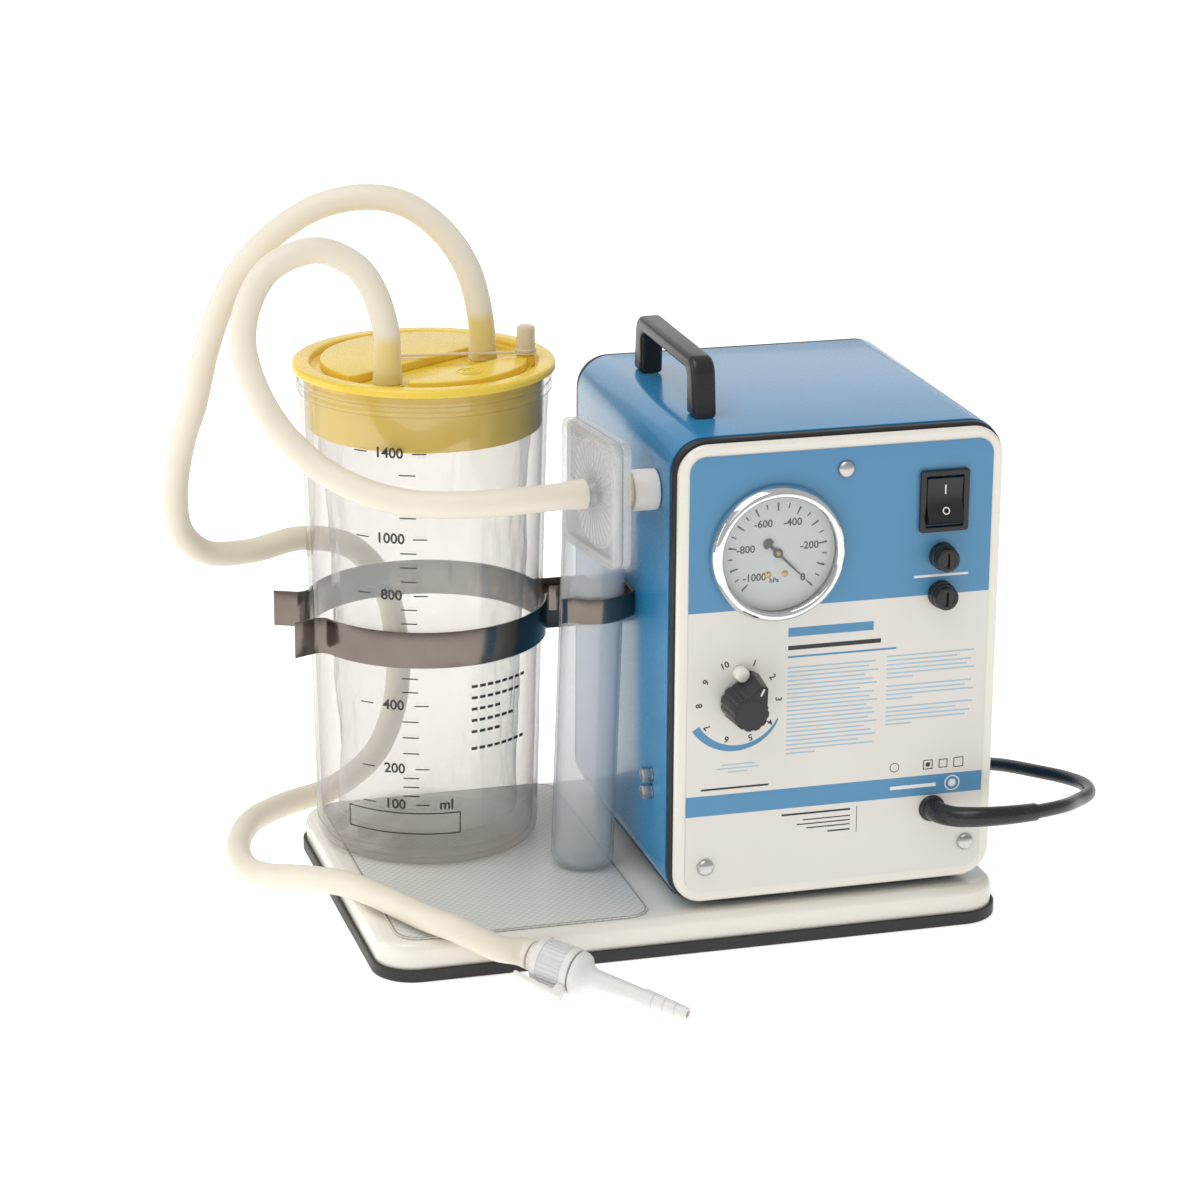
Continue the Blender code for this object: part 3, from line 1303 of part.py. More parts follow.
def clip_path(centre, ring, wall_x, neck, arms, end):
    """Plan path of a spring clip that opens away from the wall.

    Both arms run from a flared tip round the ring to a neck, and meet in a plate on the wall.
    arms holds the angles of the mouth and the throat, measured from the ring's open and closed
    sides; end holds the tip bend's radius and turn, and the length of the straight tip.
    """
    mouth, throat = arms
    flare, kick, tip = end
    arm = []
    begin = math.pi - mouth
    steps = 12
    for step in range(steps + 1):
        angle = begin + (throat - begin) * step / steps
        arm.append(Vector((ring * math.cos(angle), -ring * math.sin(angle))))
    outward = arm[0].normalized()
    heading = Vector((outward.y, -outward.x))
    bend_centre = arm[0] + outward * flare
    bend = []
    for step in range(1, 5):
        turn = Matrix.Rotation(kick * step / 4, 2)
        bend.append(bend_centre + turn @ (-outward * flare))
    heading = Matrix.Rotation(kick, 2) @ heading
    bend.append(bend[-1] + heading * tip)
    root = Vector((wall_x - centre[0], -neck))
    front = [*reversed(bend), *arm, root]
    rear = [Vector((point.x, -point.y)) for point in reversed(front)]
    return [(centre[0] + point.x, centre[1] + point.y) for point in front + rear]


def holder_axis():
    """The holder tube's bottom centre and its direction."""
    lift = HOLDER_RADIUS * math.sin(HOLDER_LEAN)
    bottom = Vector((HOLDER_X, HOLDER_Y, MAT_TOP + CLEAR + lift))
    return bottom, Matrix.Rotation(HOLDER_LEAN, 4, "Y")


def make_clips():
    """Jar clip and tube clip, the holder tube standing in the latter."""
    height = JAR_CLIP_BOTTOM + JAR_CLIP_TALL - JAR_BASE
    ring = jar_radius(height) + JAR_CLIP_FIT + JAR_CLIP_THICK / 2
    wall_x = WALL_X - CLEAR - JAR_CLIP_THICK / 2
    arms = (JAR_CLIP_MOUTH, JAR_CLIP_THROAT)
    end = (JAR_CLIP_FLARE, JAR_CLIP_KICK, JAR_CLIP_TIP)
    path = clip_path((JAR_X, JAR_Y), ring, wall_x, JAR_CLIP_NECK, arms, end)
    strip("jar_clip", STEEL, path, JAR_CLIP_BOTTOM, JAR_CLIP_TALL, JAR_CLIP_THICK)

    bottom, frame = holder_axis()
    at_clip = bottom.x + (TUBE_CLIP_HEIGHT - bottom.z) * math.tan(HOLDER_LEAN)
    ring = HOLDER_TOP_RADIUS + TUBE_CLIP_FIT + TUBE_CLIP_THICK / 2
    wall_x = WALL_X - CLEAR - TUBE_CLIP_THICK / 2
    arms = (TUBE_CLIP_MOUTH, TUBE_CLIP_THROAT)
    end = (TUBE_CLIP_FLARE, TUBE_CLIP_KICK, TUBE_CLIP_TIP)
    path = clip_path((at_clip, HOLDER_Y), ring, wall_x, TUBE_CLIP_NECK, arms, end)
    low = TUBE_CLIP_HEIGHT - TUBE_CLIP_TALL / 2
    strip("tube_clip", STEEL, path, low, TUBE_CLIP_TALL, TUBE_CLIP_THICK)

    inside = HOLDER_RADIUS - HOLDER_WALL
    profile = [
        (0.0, HOLDER_WALL),
        (inside - HOLDER_ROUND, HOLDER_WALL),
        (inside - HOLDER_ROUND * 0.3, HOLDER_WALL + HOLDER_ROUND * 0.3),
        (inside, HOLDER_WALL + HOLDER_ROUND),
        (HOLDER_TOP_RADIUS - HOLDER_WALL, HOLDER_LENGTH),
        (HOLDER_TOP_RADIUS, HOLDER_LENGTH),
        (HOLDER_RADIUS, HOLDER_ROUND),
        (HOLDER_RADIUS - HOLDER_ROUND * 0.3, HOLDER_ROUND * 0.3),
        (HOLDER_RADIUS - HOLDER_ROUND, 0.0),
        (0.0, 0.0),
    ]
    turned("holder_tube", CLEAR_PLASTIC, profile, frame, bottom, 24)


def make_pump():
    """Bracket, motor, shaft with fan and rotor, and the rotary pump's housing."""
    at = (MOTOR_X, 0.0, MOTOR_HEIGHT)
    motor_front = -MOTOR_FRONT
    motor_rear = -MOTOR_REAR
    bore = SHAFT_RADIUS + RUN
    motor = [
        (bore, motor_front),
        (MOTOR_RADIUS - MOTOR_CHAMFER, motor_front),
        (MOTOR_RADIUS, motor_front - MOTOR_CHAMFER),
        (MOTOR_RADIUS, motor_rear + MOTOR_CHAMFER),
        (MOTOR_RADIUS - MOTOR_CHAMFER, motor_rear),
        (bore, motor_rear),
    ]
    turned("pump_motor", STEEL, motor, FRONT, at, 32, ring=True)

    pump_rear = motor_front + PUMP_GAP
    pump_front = pump_rear + PUMP_LENGTH
    rotor_rear = pump_rear + PUMP_WALL + RUN
    rotor_front = rotor_rear + ROTOR_LENGTH
    fan_front = motor_rear - FAN_GAP
    fan_rear = fan_front - FAN_THICK
    shaft_rear = fan_rear - SHAFT_TAIL
    shaft = [
        (0.0, rotor_front),
        (ROTOR_RADIUS, rotor_front),
        (ROTOR_RADIUS, rotor_rear),
        (SHAFT_RADIUS, rotor_rear),
        (SHAFT_RADIUS, fan_front),
        (FAN_RADIUS, fan_front),
        (FAN_RADIUS, fan_rear),
        (SHAFT_RADIUS, fan_rear),
        (SHAFT_RADIUS, shaft_rear),
        (0.0, shaft_rear),
    ]
    turned("pump_shaft", STEEL, shaft, FRONT, at, 24)

    housing = rod("pump_housing", ALUMINIUM, PUMP_RADIUS, pump_rear, pump_front, FRONT, at, 32)
    chamber_at = (at[0], at[1], at[2] + CHAMBER_SHIFT)
    chamber_low = pump_rear + PUMP_WALL
    chamber_high = rotor_front + RUN
    chamber = rod("chamber", None, CHAMBER_RADIUS, chamber_low, chamber_high, FRONT, chamber_at)
    passage = rod("shaft_passage", None, bore, pump_rear - CUT_PAST, chamber_low + RUN, FRONT, at, 16)
    cut(housing, chamber, passage)

    floor = SLEEVE_BOTTOM + SLEEVE_WALL + CLEAR
    depth = motor_front - motor_rear
    spot = (MOTOR_X, -(motor_front + motor_rear) / 2, floor)
    bracket = block("pump_bracket", STEEL, (BRACKET_WIDTH, depth), 0.0, BRACKET_THICK, FLAT, spot)
    saddle = block("saddle", None, (SADDLE_WIDTH, depth * 0.8), BRACKET_THICK / 2, SADDLE_RISE, FLAT, spot)
    seat_span = (motor_rear - CUT_PAST, motor_front + CUT_PAST)
    seat = rod("saddle_seat", None, MOTOR_RADIUS + CLEAR, *seat_span, FRONT, at, 40)
    join(bracket, saddle)
    cut(bracket, seat)


def make_hoses(nozzle_end, nozzle_axis):
    """Vacuum hose from the lid to the filter, and patient hose from the lid to the valve."""
    ports = []
    for x, y in (VACUUM_PORT, PATIENT_PORT):
        ports.append(Vector((JAR_X + x, JAR_Y + y, PORT_TOP + CLEAR)))
    up = Vector((0.0, 0.0, 1.0))
    last = nozzle_end + nozzle_axis * CLEAR
    points = cord_points(ports[0], up, VACUUM_ROUTE, last, -nozzle_axis, HOSE_LEAD, HOSE_POINT_SPACING)
    tube("vacuum_hose", SILICONE, points, HOSE_RADIUS)
    axis = (VALVE_TIP - VALVE_START).normalized()
    last = VALVE_START - axis * CLEAR
    points = cord_points(ports[1], up, PATIENT_ROUTE, last, axis, HOSE_LEAD, HOSE_POINT_SPACING)
    tube("patient_hose", SILICONE, points, HOSE_RADIUS)


def make_valve():
    """Valve body with its stepped nozzle, and the turning sleeve with its lever."""
    run = VALVE_TIP - VALVE_START
    frame = run.to_track_quat("Z", "Y").to_matrix().to_4x4()
    length = run.length
    head_start = VALVE_DRUM_START + VALVE_DRUM_LENGTH + RUN
    head_end = head_start + VALVE_HEAD_LENGTH
    steps_start = length - NOZZLE_STEPS * NOZZLE_STEP_LENGTH
    profile = [(NOZZLE_BORE, length)]
    for step in range(NOZZLE_STEPS):
        far = length - step * NOZZLE_STEP_LENGTH
        near = far - NOZZLE_STEP_LENGTH
        radius = NOZZLE_TIP + (NOZZLE_NECK - NOZZLE_TIP) * step / (NOZZLE_STEPS - 1)
        profile += [(radius - 0.0003, far), (radius, near)]
    profile += [
        (NOZZLE_NECK - 0.0002, steps_start - 0.0002),
        (NOZZLE_BASE, head_end + 0.002),
        (NOZZLE_BASE + 0.001, head_end),
        (VALVE_HEAD - 0.002, head_end - 0.0015),
        (VALVE_HEAD, head_end - 0.0035),
        (VALVE_HEAD, head_start),
        (VALVE_CORE, head_start),
        (VALVE_CORE, VALVE_TAIL_LENGTH),
        (VALVE_TAIL_RADIUS, VALVE_TAIL_LENGTH),
        (VALVE_TAIL_RADIUS, 0.0),
        (NOZZLE_BORE, 0.0),
    ]
    turned("valve_body", WHITE, profile, frame, VALVE_START, 16, ring=True)

    sleeve_end = VALVE_DRUM_START + VALVE_DRUM_LENGTH
    bore = VALVE_CORE + RUN
    profile = [
        (bore, sleeve_end),
        (VALVE_DRUM_RADIUS, sleeve_end),
        (VALVE_DRUM_RADIUS, VALVE_DRUM_START + 0.001),
        (VALVE_DRUM_RADIUS - 0.001, VALVE_DRUM_START),
        (bore, VALVE_DRUM_START),
    ]
    sleeve = turned("valve_sleeve", WHITE, profile, frame, VALVE_START, 24, ring=True)
    lever_frame = lever_matrix(frame)
    inner = VALVE_DRUM_RADIUS - 0.0015
    outer = VALVE_DRUM_RADIUS + 0.0065
    thick = LEVER_THICK
    outline = [
        (inner, sleeve_end - 0.004),
        (inner, sleeve_end),
        (outer - 0.001, sleeve_end + 0.001),
        (outer, sleeve_end - 0.001),
        (VALVE_DRUM_RADIUS + 0.0035, VALVE_DRUM_START - 0.006),
        (VALVE_DRUM_RADIUS + 0.0035 - thick, VALVE_DRUM_START - 0.006),
        (outer - thick - 0.0004, sleeve_end - 0.004),
    ]
    half = LEVER_WIDTH / 2
    join(sleeve, prism("lever", None, [outline], -half, half, lever_frame, VALVE_START))


def lever_matrix(frame):
    """Plane that holds the valve's axis and its lever: x out of the axis, y along it."""
    along = (frame.to_3x3() @ Vector((0.0, 0.0, 1.0))).normalized()
    level = Vector((along.y, -along.x, 0.0)).normalized()
    out = Matrix.Rotation(-LEVER_TURN, 3, along) @ level
    across = out.cross(along)
    return Matrix((out, along, across)).transposed().to_4x4()


def make_mains_lead():
    """Bend relief, mains cable, the coil that stores its spare length, and its plug."""
    boot_points = smooth_route(BOOT_ROUTE, BOOT_POINT_SPACING)
    tube("cable_boot", BLACK, boot_points, BOOT_RADIUS, LEAD_RADIUS + 0.0009, 3)
    way = (boot_points[-1] - boot_points[-2]).normalized()
    start = boot_points[-1] + way * CLEAR
    meet = COIL_OUTER - 2 * LEAD_RADIUS
    coil_edge = COIL_X + math.sqrt(COIL_OUTER**2 - meet**2) + CLEAR
    end = Vector((coil_edge, COIL_Y - COIL_OUTER + LEAD_RADIUS, LEAD_RADIUS + CLEAR))
    coil_way = Vector((-1.0, 0.0, 0.0))
    points = cord_points(start, way, LEAD_ROUTE, end, coil_way, LEAD_LEAD, LEAD_POINT_SPACING)
    tube("mains_cable", BLACK, points, LEAD_RADIUS)
    at = (COIL_X, COIL_Y, CLEAR)
    ring = [
        (COIL_INNER, COIL_TALL),
        (COIL_OUTER, COIL_TALL),
        (COIL_OUTER, 0.0),
        (COIL_INNER, 0.0),
    ]
    turned("mains_cable_coil", BLACK, ring, FLAT, at, 24, ring=True)

    along = Matrix.Rotation(math.radians(90.0), 4, "Y")
    exit_y = COIL_Y + COIL_OUTER - LEAD_RADIUS
    inner_edge = COIL_OUTER - 3 * LEAD_RADIUS
    start_x = COIL_X + math.sqrt(COIL_OUTER**2 - inner_edge**2) + CLEAR
    spot = (start_x, exit_y, PLUG_RADIUS + CLEAR)
    front = PLUG_LENGTH + PLUG_FACE
    profile = [
        (0.0, front),
        (PLUG_RADIUS - 0.001, front),
        (PLUG_RADIUS, front - 0.001),
        (PLUG_RADIUS, PLUG_LENGTH),
        (PLUG_WAIST, PLUG_LENGTH * 0.55),
        (LEAD_RADIUS + 0.0015, PLUG_LENGTH * 0.3),
        (LEAD_RADIUS, 0.0),
        (0.0, 0.0),
    ]
    plug = turned("mains_plug", BLACK, profile, along, spot, 20)
    for side in (-PLUG_PIN_HALF_GAP, PLUG_PIN_HALF_GAP):
        pin_at = (spot[0], spot[1] + side, spot[2])
        pin_root = front - 0.001
        join(plug, rod("pin", None, PLUG_PIN, pin_root, pin_root + PLUG_PIN_LENGTH, along, pin_at, 12))


clear_scene()
PARTS = collection("suction_pump")
CUTTERS = collection("suction_pump_cutters")

BLACK = finish("black_plastic", (0.02, 0.02, 0.022), 0.4)
CREAM = finish("cream_paint", (0.80, 0.78, 0.70), 0.35)
BLUE = finish("blue_paint", (0.10, 0.38, 0.62), 0.25)
STEEL = finish("stainless_steel", (0.55, 0.53, 0.50), 0.3, 1.0)
CHROME = finish("chrome", (0.75, 0.75, 0.76), 0.12, 1.0)
BRASS = finish("brass", (0.78, 0.60, 0.30), 0.3, 1.0)
ALUMINIUM = finish("aluminium", (0.70, 0.71, 0.72), 0.35, 1.0)
WHITE = finish("white_plastic", (0.86, 0.86, 0.86), 0.4)
LABEL = finish("printed_label", (0.72, 0.84, 0.92), 0.5)
MAT = finish("mat_film", (0.83, 0.82, 0.78), 0.5)
DARK = finish("dark_grey", (0.06, 0.06, 0.07), 0.5)
GLASS = finish("clear_glass", (0.95, 0.97, 0.98), 0.03, 0.0, 0.2)
CLEAR_PLASTIC = finish("clear_plastic", (0.90, 0.93, 0.95), 0.08, 0.0, 0.3)
LINER_FILM = finish("liner_film", (0.93, 0.94, 0.93), 0.3, 0.0, 0.4)
YELLOW = finish("yellow_plastic", (0.92, 0.78, 0.22), 0.35)
SILICONE = finish("silicone", (0.90, 0.87, 0.78), 0.45, 0.0, 0.9)

make_base()
make_case()
make_handle()
make_gauge()
make_switch()
make_fuses()
make_regulator()
NOZZLE_END, NOZZLE_AXIS = make_inlet()
make_jar()
make_clips()
make_pump()
make_hoses(NOZZLE_END, NOZZLE_AXIS)
make_valve()
make_mains_lead()
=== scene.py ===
"""Suction pump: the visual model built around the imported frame.

Metres, +Z up. The front panel faces -Y and the collection jar stands to the left of the case.
Each sub-assembly is a class that takes its places from the frame's own boxes, builds its
pieces and dresses them. main() builds them in order.
"""

import json
import logging
import math
from dataclasses import dataclass
from enum import Enum

import bpy
from mathutils import Matrix, Vector, noise

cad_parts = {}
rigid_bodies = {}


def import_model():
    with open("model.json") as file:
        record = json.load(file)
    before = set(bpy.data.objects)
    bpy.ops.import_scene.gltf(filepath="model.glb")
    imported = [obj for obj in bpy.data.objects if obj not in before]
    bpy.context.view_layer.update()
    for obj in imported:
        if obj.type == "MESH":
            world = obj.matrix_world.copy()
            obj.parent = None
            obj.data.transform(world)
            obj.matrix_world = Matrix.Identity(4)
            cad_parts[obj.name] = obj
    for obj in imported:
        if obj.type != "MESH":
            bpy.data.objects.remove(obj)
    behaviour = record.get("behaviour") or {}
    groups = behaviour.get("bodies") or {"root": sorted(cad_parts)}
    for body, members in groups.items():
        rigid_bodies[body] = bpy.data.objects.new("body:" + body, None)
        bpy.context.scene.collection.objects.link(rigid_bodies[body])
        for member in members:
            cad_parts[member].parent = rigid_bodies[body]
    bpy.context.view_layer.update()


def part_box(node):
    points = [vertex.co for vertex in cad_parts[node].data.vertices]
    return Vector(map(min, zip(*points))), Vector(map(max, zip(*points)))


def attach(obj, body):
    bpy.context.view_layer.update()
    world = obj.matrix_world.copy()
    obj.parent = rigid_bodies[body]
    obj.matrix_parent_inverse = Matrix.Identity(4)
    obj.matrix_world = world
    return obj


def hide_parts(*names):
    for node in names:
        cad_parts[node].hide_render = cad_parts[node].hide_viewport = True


LOG = logging.getLogger("suction_pump")
MM = 0.001
SKIN = 0.05 * MM  # thickness of print, and how far it stands off what it is printed on
HAIR = 0.3 * MM  # gap kept between pieces that touch

Point = tuple[float, float, float]
Outline = list[tuple[float, float]]


class Facing(Enum):
    """The plane a piece is drawn in: x to the right, y up, depth towards the viewer."""

    UP = "up"
    FRONT = "front"
    LEFT = "left"

    def matrix(self) -> Matrix:
        """The turn that takes the drawing plane into the object's frame."""
        if self is Facing.FRONT:
            return Matrix.Rotation(math.radians(90.0), 4, "X")
        if self is Facing.LEFT:
            return Matrix(((0, 0, -1, 0), (-1, 0, 0, 0), (0, 1, 0, 0), (0, 0, 0, 1)))
        return Matrix.Identity(4)


def placed(facing: Facing, at: Point) -> Matrix:
    """A drawing plane standing at a point.

    Args:
        facing: the plane's direction.
        at: its origin.

    Returns:
        The matrix of the plane.
    """
    return Matrix.Translation(at) @ facing.matrix()


# ---------------------------------------------------------------- finishes


def srgb(code: str, alpha: float = 1.0) -> tuple[float, float, float, float]:
    """Turn a six-digit sRGB hex colour into linear light.

    Args:
        code: the hex digits.
        alpha: the fourth value.

    Returns:
        Linear red, green and blue, and alpha.
    """
    linear = []
    for start in (0, 2, 4):
        level = int(code[start : start + 2], 16) / 255.0
        linear.append(level / 12.92 if level <= 0.04045 else ((level + 0.055) / 1.055) ** 2.4)
    return (linear[0], linear[1], linear[2], alpha)


def add_node(
    tree: bpy.types.NodeTree,
    kind: str,
    settings: dict | None = None,
    values: dict | None = None,
    links: dict | None = None,
) -> bpy.types.Node:
    """Add a node with its settings, socket values and incoming links.

    Args:
        tree: the node tree.
        kind: the node's type name.
        settings: node properties by name.
        values: socket values by name or index.
        links: source sockets by the name or index of the input they feed.

    Returns:
        The new node.
    """
    made = tree.nodes.new(kind)
    for name, value in (settings or {}).items():
        setattr(made, name, value)
    for socket, value in (values or {}).items():
        made.inputs[socket].default_value = value
    for socket, source in (links or {}).items():
        tree.links.new(source, made.inputs[socket])
    return made


@dataclass(frozen=True)
class Finish:
    """A surface finish: the material's name and the record's slot it belongs to."""

    name: str
    slot: str

    def material(self) -> bpy.types.Material:
        """The Blender material, made on first use."""
        made = bpy.data.materials.get(self.name)
        if made:
            return made
        made = bpy.data.materials.new(self.name)
        made.use_nodes = True
        tree = made.node_tree
        tree.nodes.clear()
        shader = self.shade(tree)
        add_node(tree, "ShaderNodeOutputMaterial", links={"Surface": shader.outputs[0]})
        return made

    def shade(self, tree: bpy.types.NodeTree) -> bpy.types.Node:
        """Build the shader.

        Args:
            tree: the material's node tree.

        Returns:
            The node whose first output is the surface.
        """
        raise NotImplementedError


@dataclass(frozen=True)
class Solid(Finish):
    """An opaque finish: a mottled colour, a fine grain in gloss and height."""

    colour: str = "808080"
    second: str = "7a7a7a"
    cloud_mm: float = 30.0
    grain_mm: float = 0.6
    rough: tuple[float, float] = (0.3, 0.4)
    bump_mm: float = 0.01
    metallic: float = 0.0
    coat: float = 0.0
    ior: float = 1.5
    subsurface: float = 0.0
    stretch: Point = (1.0, 1.0, 1.0)

    def shade(self, tree: bpy.types.NodeTree) -> bpy.types.Node:
        """Principled surface; see Finish.shade."""
        place = add_node(tree, "ShaderNodeTexCoord").outputs["Object"]
        drawn = add_node(
            tree, "ShaderNodeMapping", values={"Scale": self.stretch}, links={"Vector": place}
        ).outputs[0]
        cloud = add_node(
            tree,
            "ShaderNodeTexNoise",
            values={"Scale": 1000.0 / self.cloud_mm, "Detail": 4.0},
            links={"Vector": place},
        )
        grain = add_node(
            tree,
            "ShaderNodeTexNoise",
            values={"Scale": 1000.0 / self.grain_mm, "Detail": 2.0},
            links={"Vector": drawn},
        )
        colour = add_node(
            tree,
            "ShaderNodeMix",
            {"data_type": "RGBA"},
            {6: srgb(self.colour), 7: srgb(self.second)},
            {0: cloud.outputs["Fac"]},
        )
        rough = add_node(
            tree,
            "ShaderNodeMapRange",
            values={"From Min": 0.3, "From Max": 0.7, "To Min": self.rough[0], "To Max": self.rough[1]},
            links={"Value": grain.outputs["Fac"]},
        )
        height = add_node(
            tree,
            "ShaderNodeBump",
            values={"Strength": 0.6, "Distance": self.bump_mm * MM},
            links={"Height": grain.outputs["Fac"]},
        )
        return add_node(
            tree,
            "ShaderNodeBsdfPrincipled",
            values={
                "Metallic": self.metallic,
                "IOR": self.ior,
                "Coat Weight": self.coat,
                "Coat Roughness": 0.06,
                "Subsurface Weight": self.subsurface,
                "Subsurface Radius": (0.004, 0.003, 0.002),
                "Subsurface Scale": 1.0,
            },
            links={
                "Base Color": self.tint(tree, place, colour.outputs[2]),
                "Roughness": rough.outputs[0],
                "Normal": height.outputs[0],
            },
        )

    def tint(
        self, tree: bpy.types.NodeTree, place: bpy.types.NodeSocket, colour: bpy.types.NodeSocket
    ) -> bpy.types.NodeSocket:
        """Give a subclass the chance to draw over the base colour.

        Args:
            tree: the material's node tree.
            place: Object coordinates.
            colour: the mottled base colour.

        Returns:
            The colour to use.
        """
        return colour


@dataclass(frozen=True)
class PanelPrint(Solid):
    """Screen-printed film: blue over the top, and a blue band low down, on off-white."""

    ink: str = "4b86ad"
    top_from: float = 0.0
    band: tuple[float, float] = (0.0, 0.0)

    def tint(
        self, tree: bpy.types.NodeTree, place: bpy.types.NodeSocket, colour: bpy.types.NodeSocket
    ) -> bpy.types.NodeSocket:
        """Blue ink wherever the height lies in a printed field; see Solid.tint."""
        height = add_node(tree, "ShaderNodeSeparateXYZ", links={0: place}).outputs["Z"]
        fields = []
        for low, high in ((self.top_from, 1.0), self.band):
            above = add_node(
                tree, "ShaderNodeMath", {"operation": "GREATER_THAN"}, {1: low}, {0: height}
            )
            below = add_node(
                tree, "ShaderNodeMath", {"operation": "LESS_THAN"}, {1: high}, {0: height}
            )
            fields.append(
                add_node(
                    tree,
                    "ShaderNodeMath",
                    {"operation": "MULTIPLY"},
                    links={0: above.outputs[0], 1: below.outputs[0]},
                )
            )
        both = add_node(
            tree,
            "ShaderNodeMath",
            {"operation": "MAXIMUM"},
            links={0: fields[0].outputs[0], 1: fields[1].outputs[0]},
        )
        inked = add_node(
            tree,
            "ShaderNodeMix",
            {"data_type": "RGBA"},
            {7: srgb(self.ink)},
            {0: both.outputs[0], 6: colour},
        )
        return inked.outputs[2]


@dataclass(frozen=True)
class DiamondMat(Solid):
    """Embossed mat film: a net of fine diamonds, each this wide."""

    pitch_mm: float = 1.6

    def tint(
        self, tree: bpy.types.NodeTree, place: bpy.types.NodeSocket, colour: bpy.types.NodeSocket
    ) -> bpy.types.NodeSocket:
        """Painted shade: slightly darker lines along both diagonals, standing in for the shade in the embossed
        grooves; see Solid.tint.
        """
        lines = colour
        for slope in (45.0, -45.0):
            turned = add_node(
                tree,
                "ShaderNodeMapping",
                values={"Rotation": (0.0, 0.0, math.radians(slope))},
                links={"Vector": place},
            )
            wave = add_node(
                tree,
                "ShaderNodeTexWave",
                {"wave_type": "BANDS", "bands_direction": "X"},
                {"Scale": 1000.0 / (self.pitch_mm * 3.18 * 2.0), "Distortion": 0.0},
                {"Vector": turned.outputs[0]},
            )
            share = add_node(
                tree,
                "ShaderNodeMapRange",
                values={"From Min": 0.75, "From Max": 1.0, "To Min": 0.0, "To Max": 0.5},
                links={"Value": wave.outputs["Fac"]},
            )
            lines = add_node(
                tree,
                "ShaderNodeMix",
                {"data_type": "RGBA"},
                # colour of the painted groove shade
                {7: srgb("b9bab4")},
                {0: share.outputs[0], 6: lines},
            ).outputs[2]
        return lines


@dataclass(frozen=True)
class Clear(Finish):
    """A clear wall: sight passes straight through, edges darken, and the surface mirrors."""

    face: str = "f4f8fa"
    edge: str = "a8b4bc"
    haze: float = 0.04
    haze_colour: str = "eef3f6"
    rough: float = 0.05
    ripple_mm: float = 6.0
    ripple: float = 0.05
    mirror: float = 0.05

    def shade(self, tree: bpy.types.NodeTree) -> bpy.types.Node:
        """Transparent, glossy and a little diffuse; see Finish.shade."""
        place = add_node(tree, "ShaderNodeTexCoord").outputs["Object"]
        ripples = add_node(
            tree,
            "ShaderNodeTexNoise",
            values={"Scale": 1000.0 / self.ripple_mm, "Detail": 3.0},
            links={"Vector": place},
        )
        height = add_node(
            tree,
            "ShaderNodeBump",
            values={"Strength": self.ripple, "Distance": 0.4 * MM},
            links={"Height": ripples.outputs["Fac"]},
        ).outputs[0]
        facing = add_node(
            tree, "ShaderNodeLayerWeight", values={"Blend": 0.5}, links={"Normal": height}
        ).outputs["Facing"]
        rise = add_node(
            tree, "ShaderNodeMath", {"operation": "POWER"}, {1: 2.5}, {0: facing}
        ).outputs[0]
        tint = add_node(
            tree,
            "ShaderNodeMix",
            {"data_type": "RGBA"},
            {6: srgb(self.face), 7: srgb(self.edge)},
            {0: rise},
        ).outputs[2]
        through = add_node(tree, "ShaderNodeBsdfTransparent", links={"Color": tint})
        gloss = add_node(
            tree,
            "ShaderNodeBsdfGlossy",
            values={"Roughness": self.rough},
            links={"Normal": height},
        )
        steep = add_node(
            tree, "ShaderNodeMath", {"operation": "POWER"}, {1: 5.0}, {0: facing}
        ).outputs[0]
        share = add_node(
            tree, "ShaderNodeMath", {"operation": "MULTIPLY_ADD"}, {1: 0.7, 2: self.mirror}, {0: steep}
        ).outputs[0]
        clear = add_node(
            tree, "ShaderNodeMixShader", links={0: share, 1: through.outputs[0], 2: gloss.outputs[0]}
        )
        cloud = add_node(
            tree,
            "ShaderNodeBsdfPrincipled",
            values={"Base Color": srgb(self.haze_colour), "Roughness": 0.35},
            links={"Normal": height},
        )
        return add_node(
            tree,
            "ShaderNodeMixShader",
            values={0: self.haze},
            links={1: clear.outputs[0], 2: cloud.outputs[0]},
        )


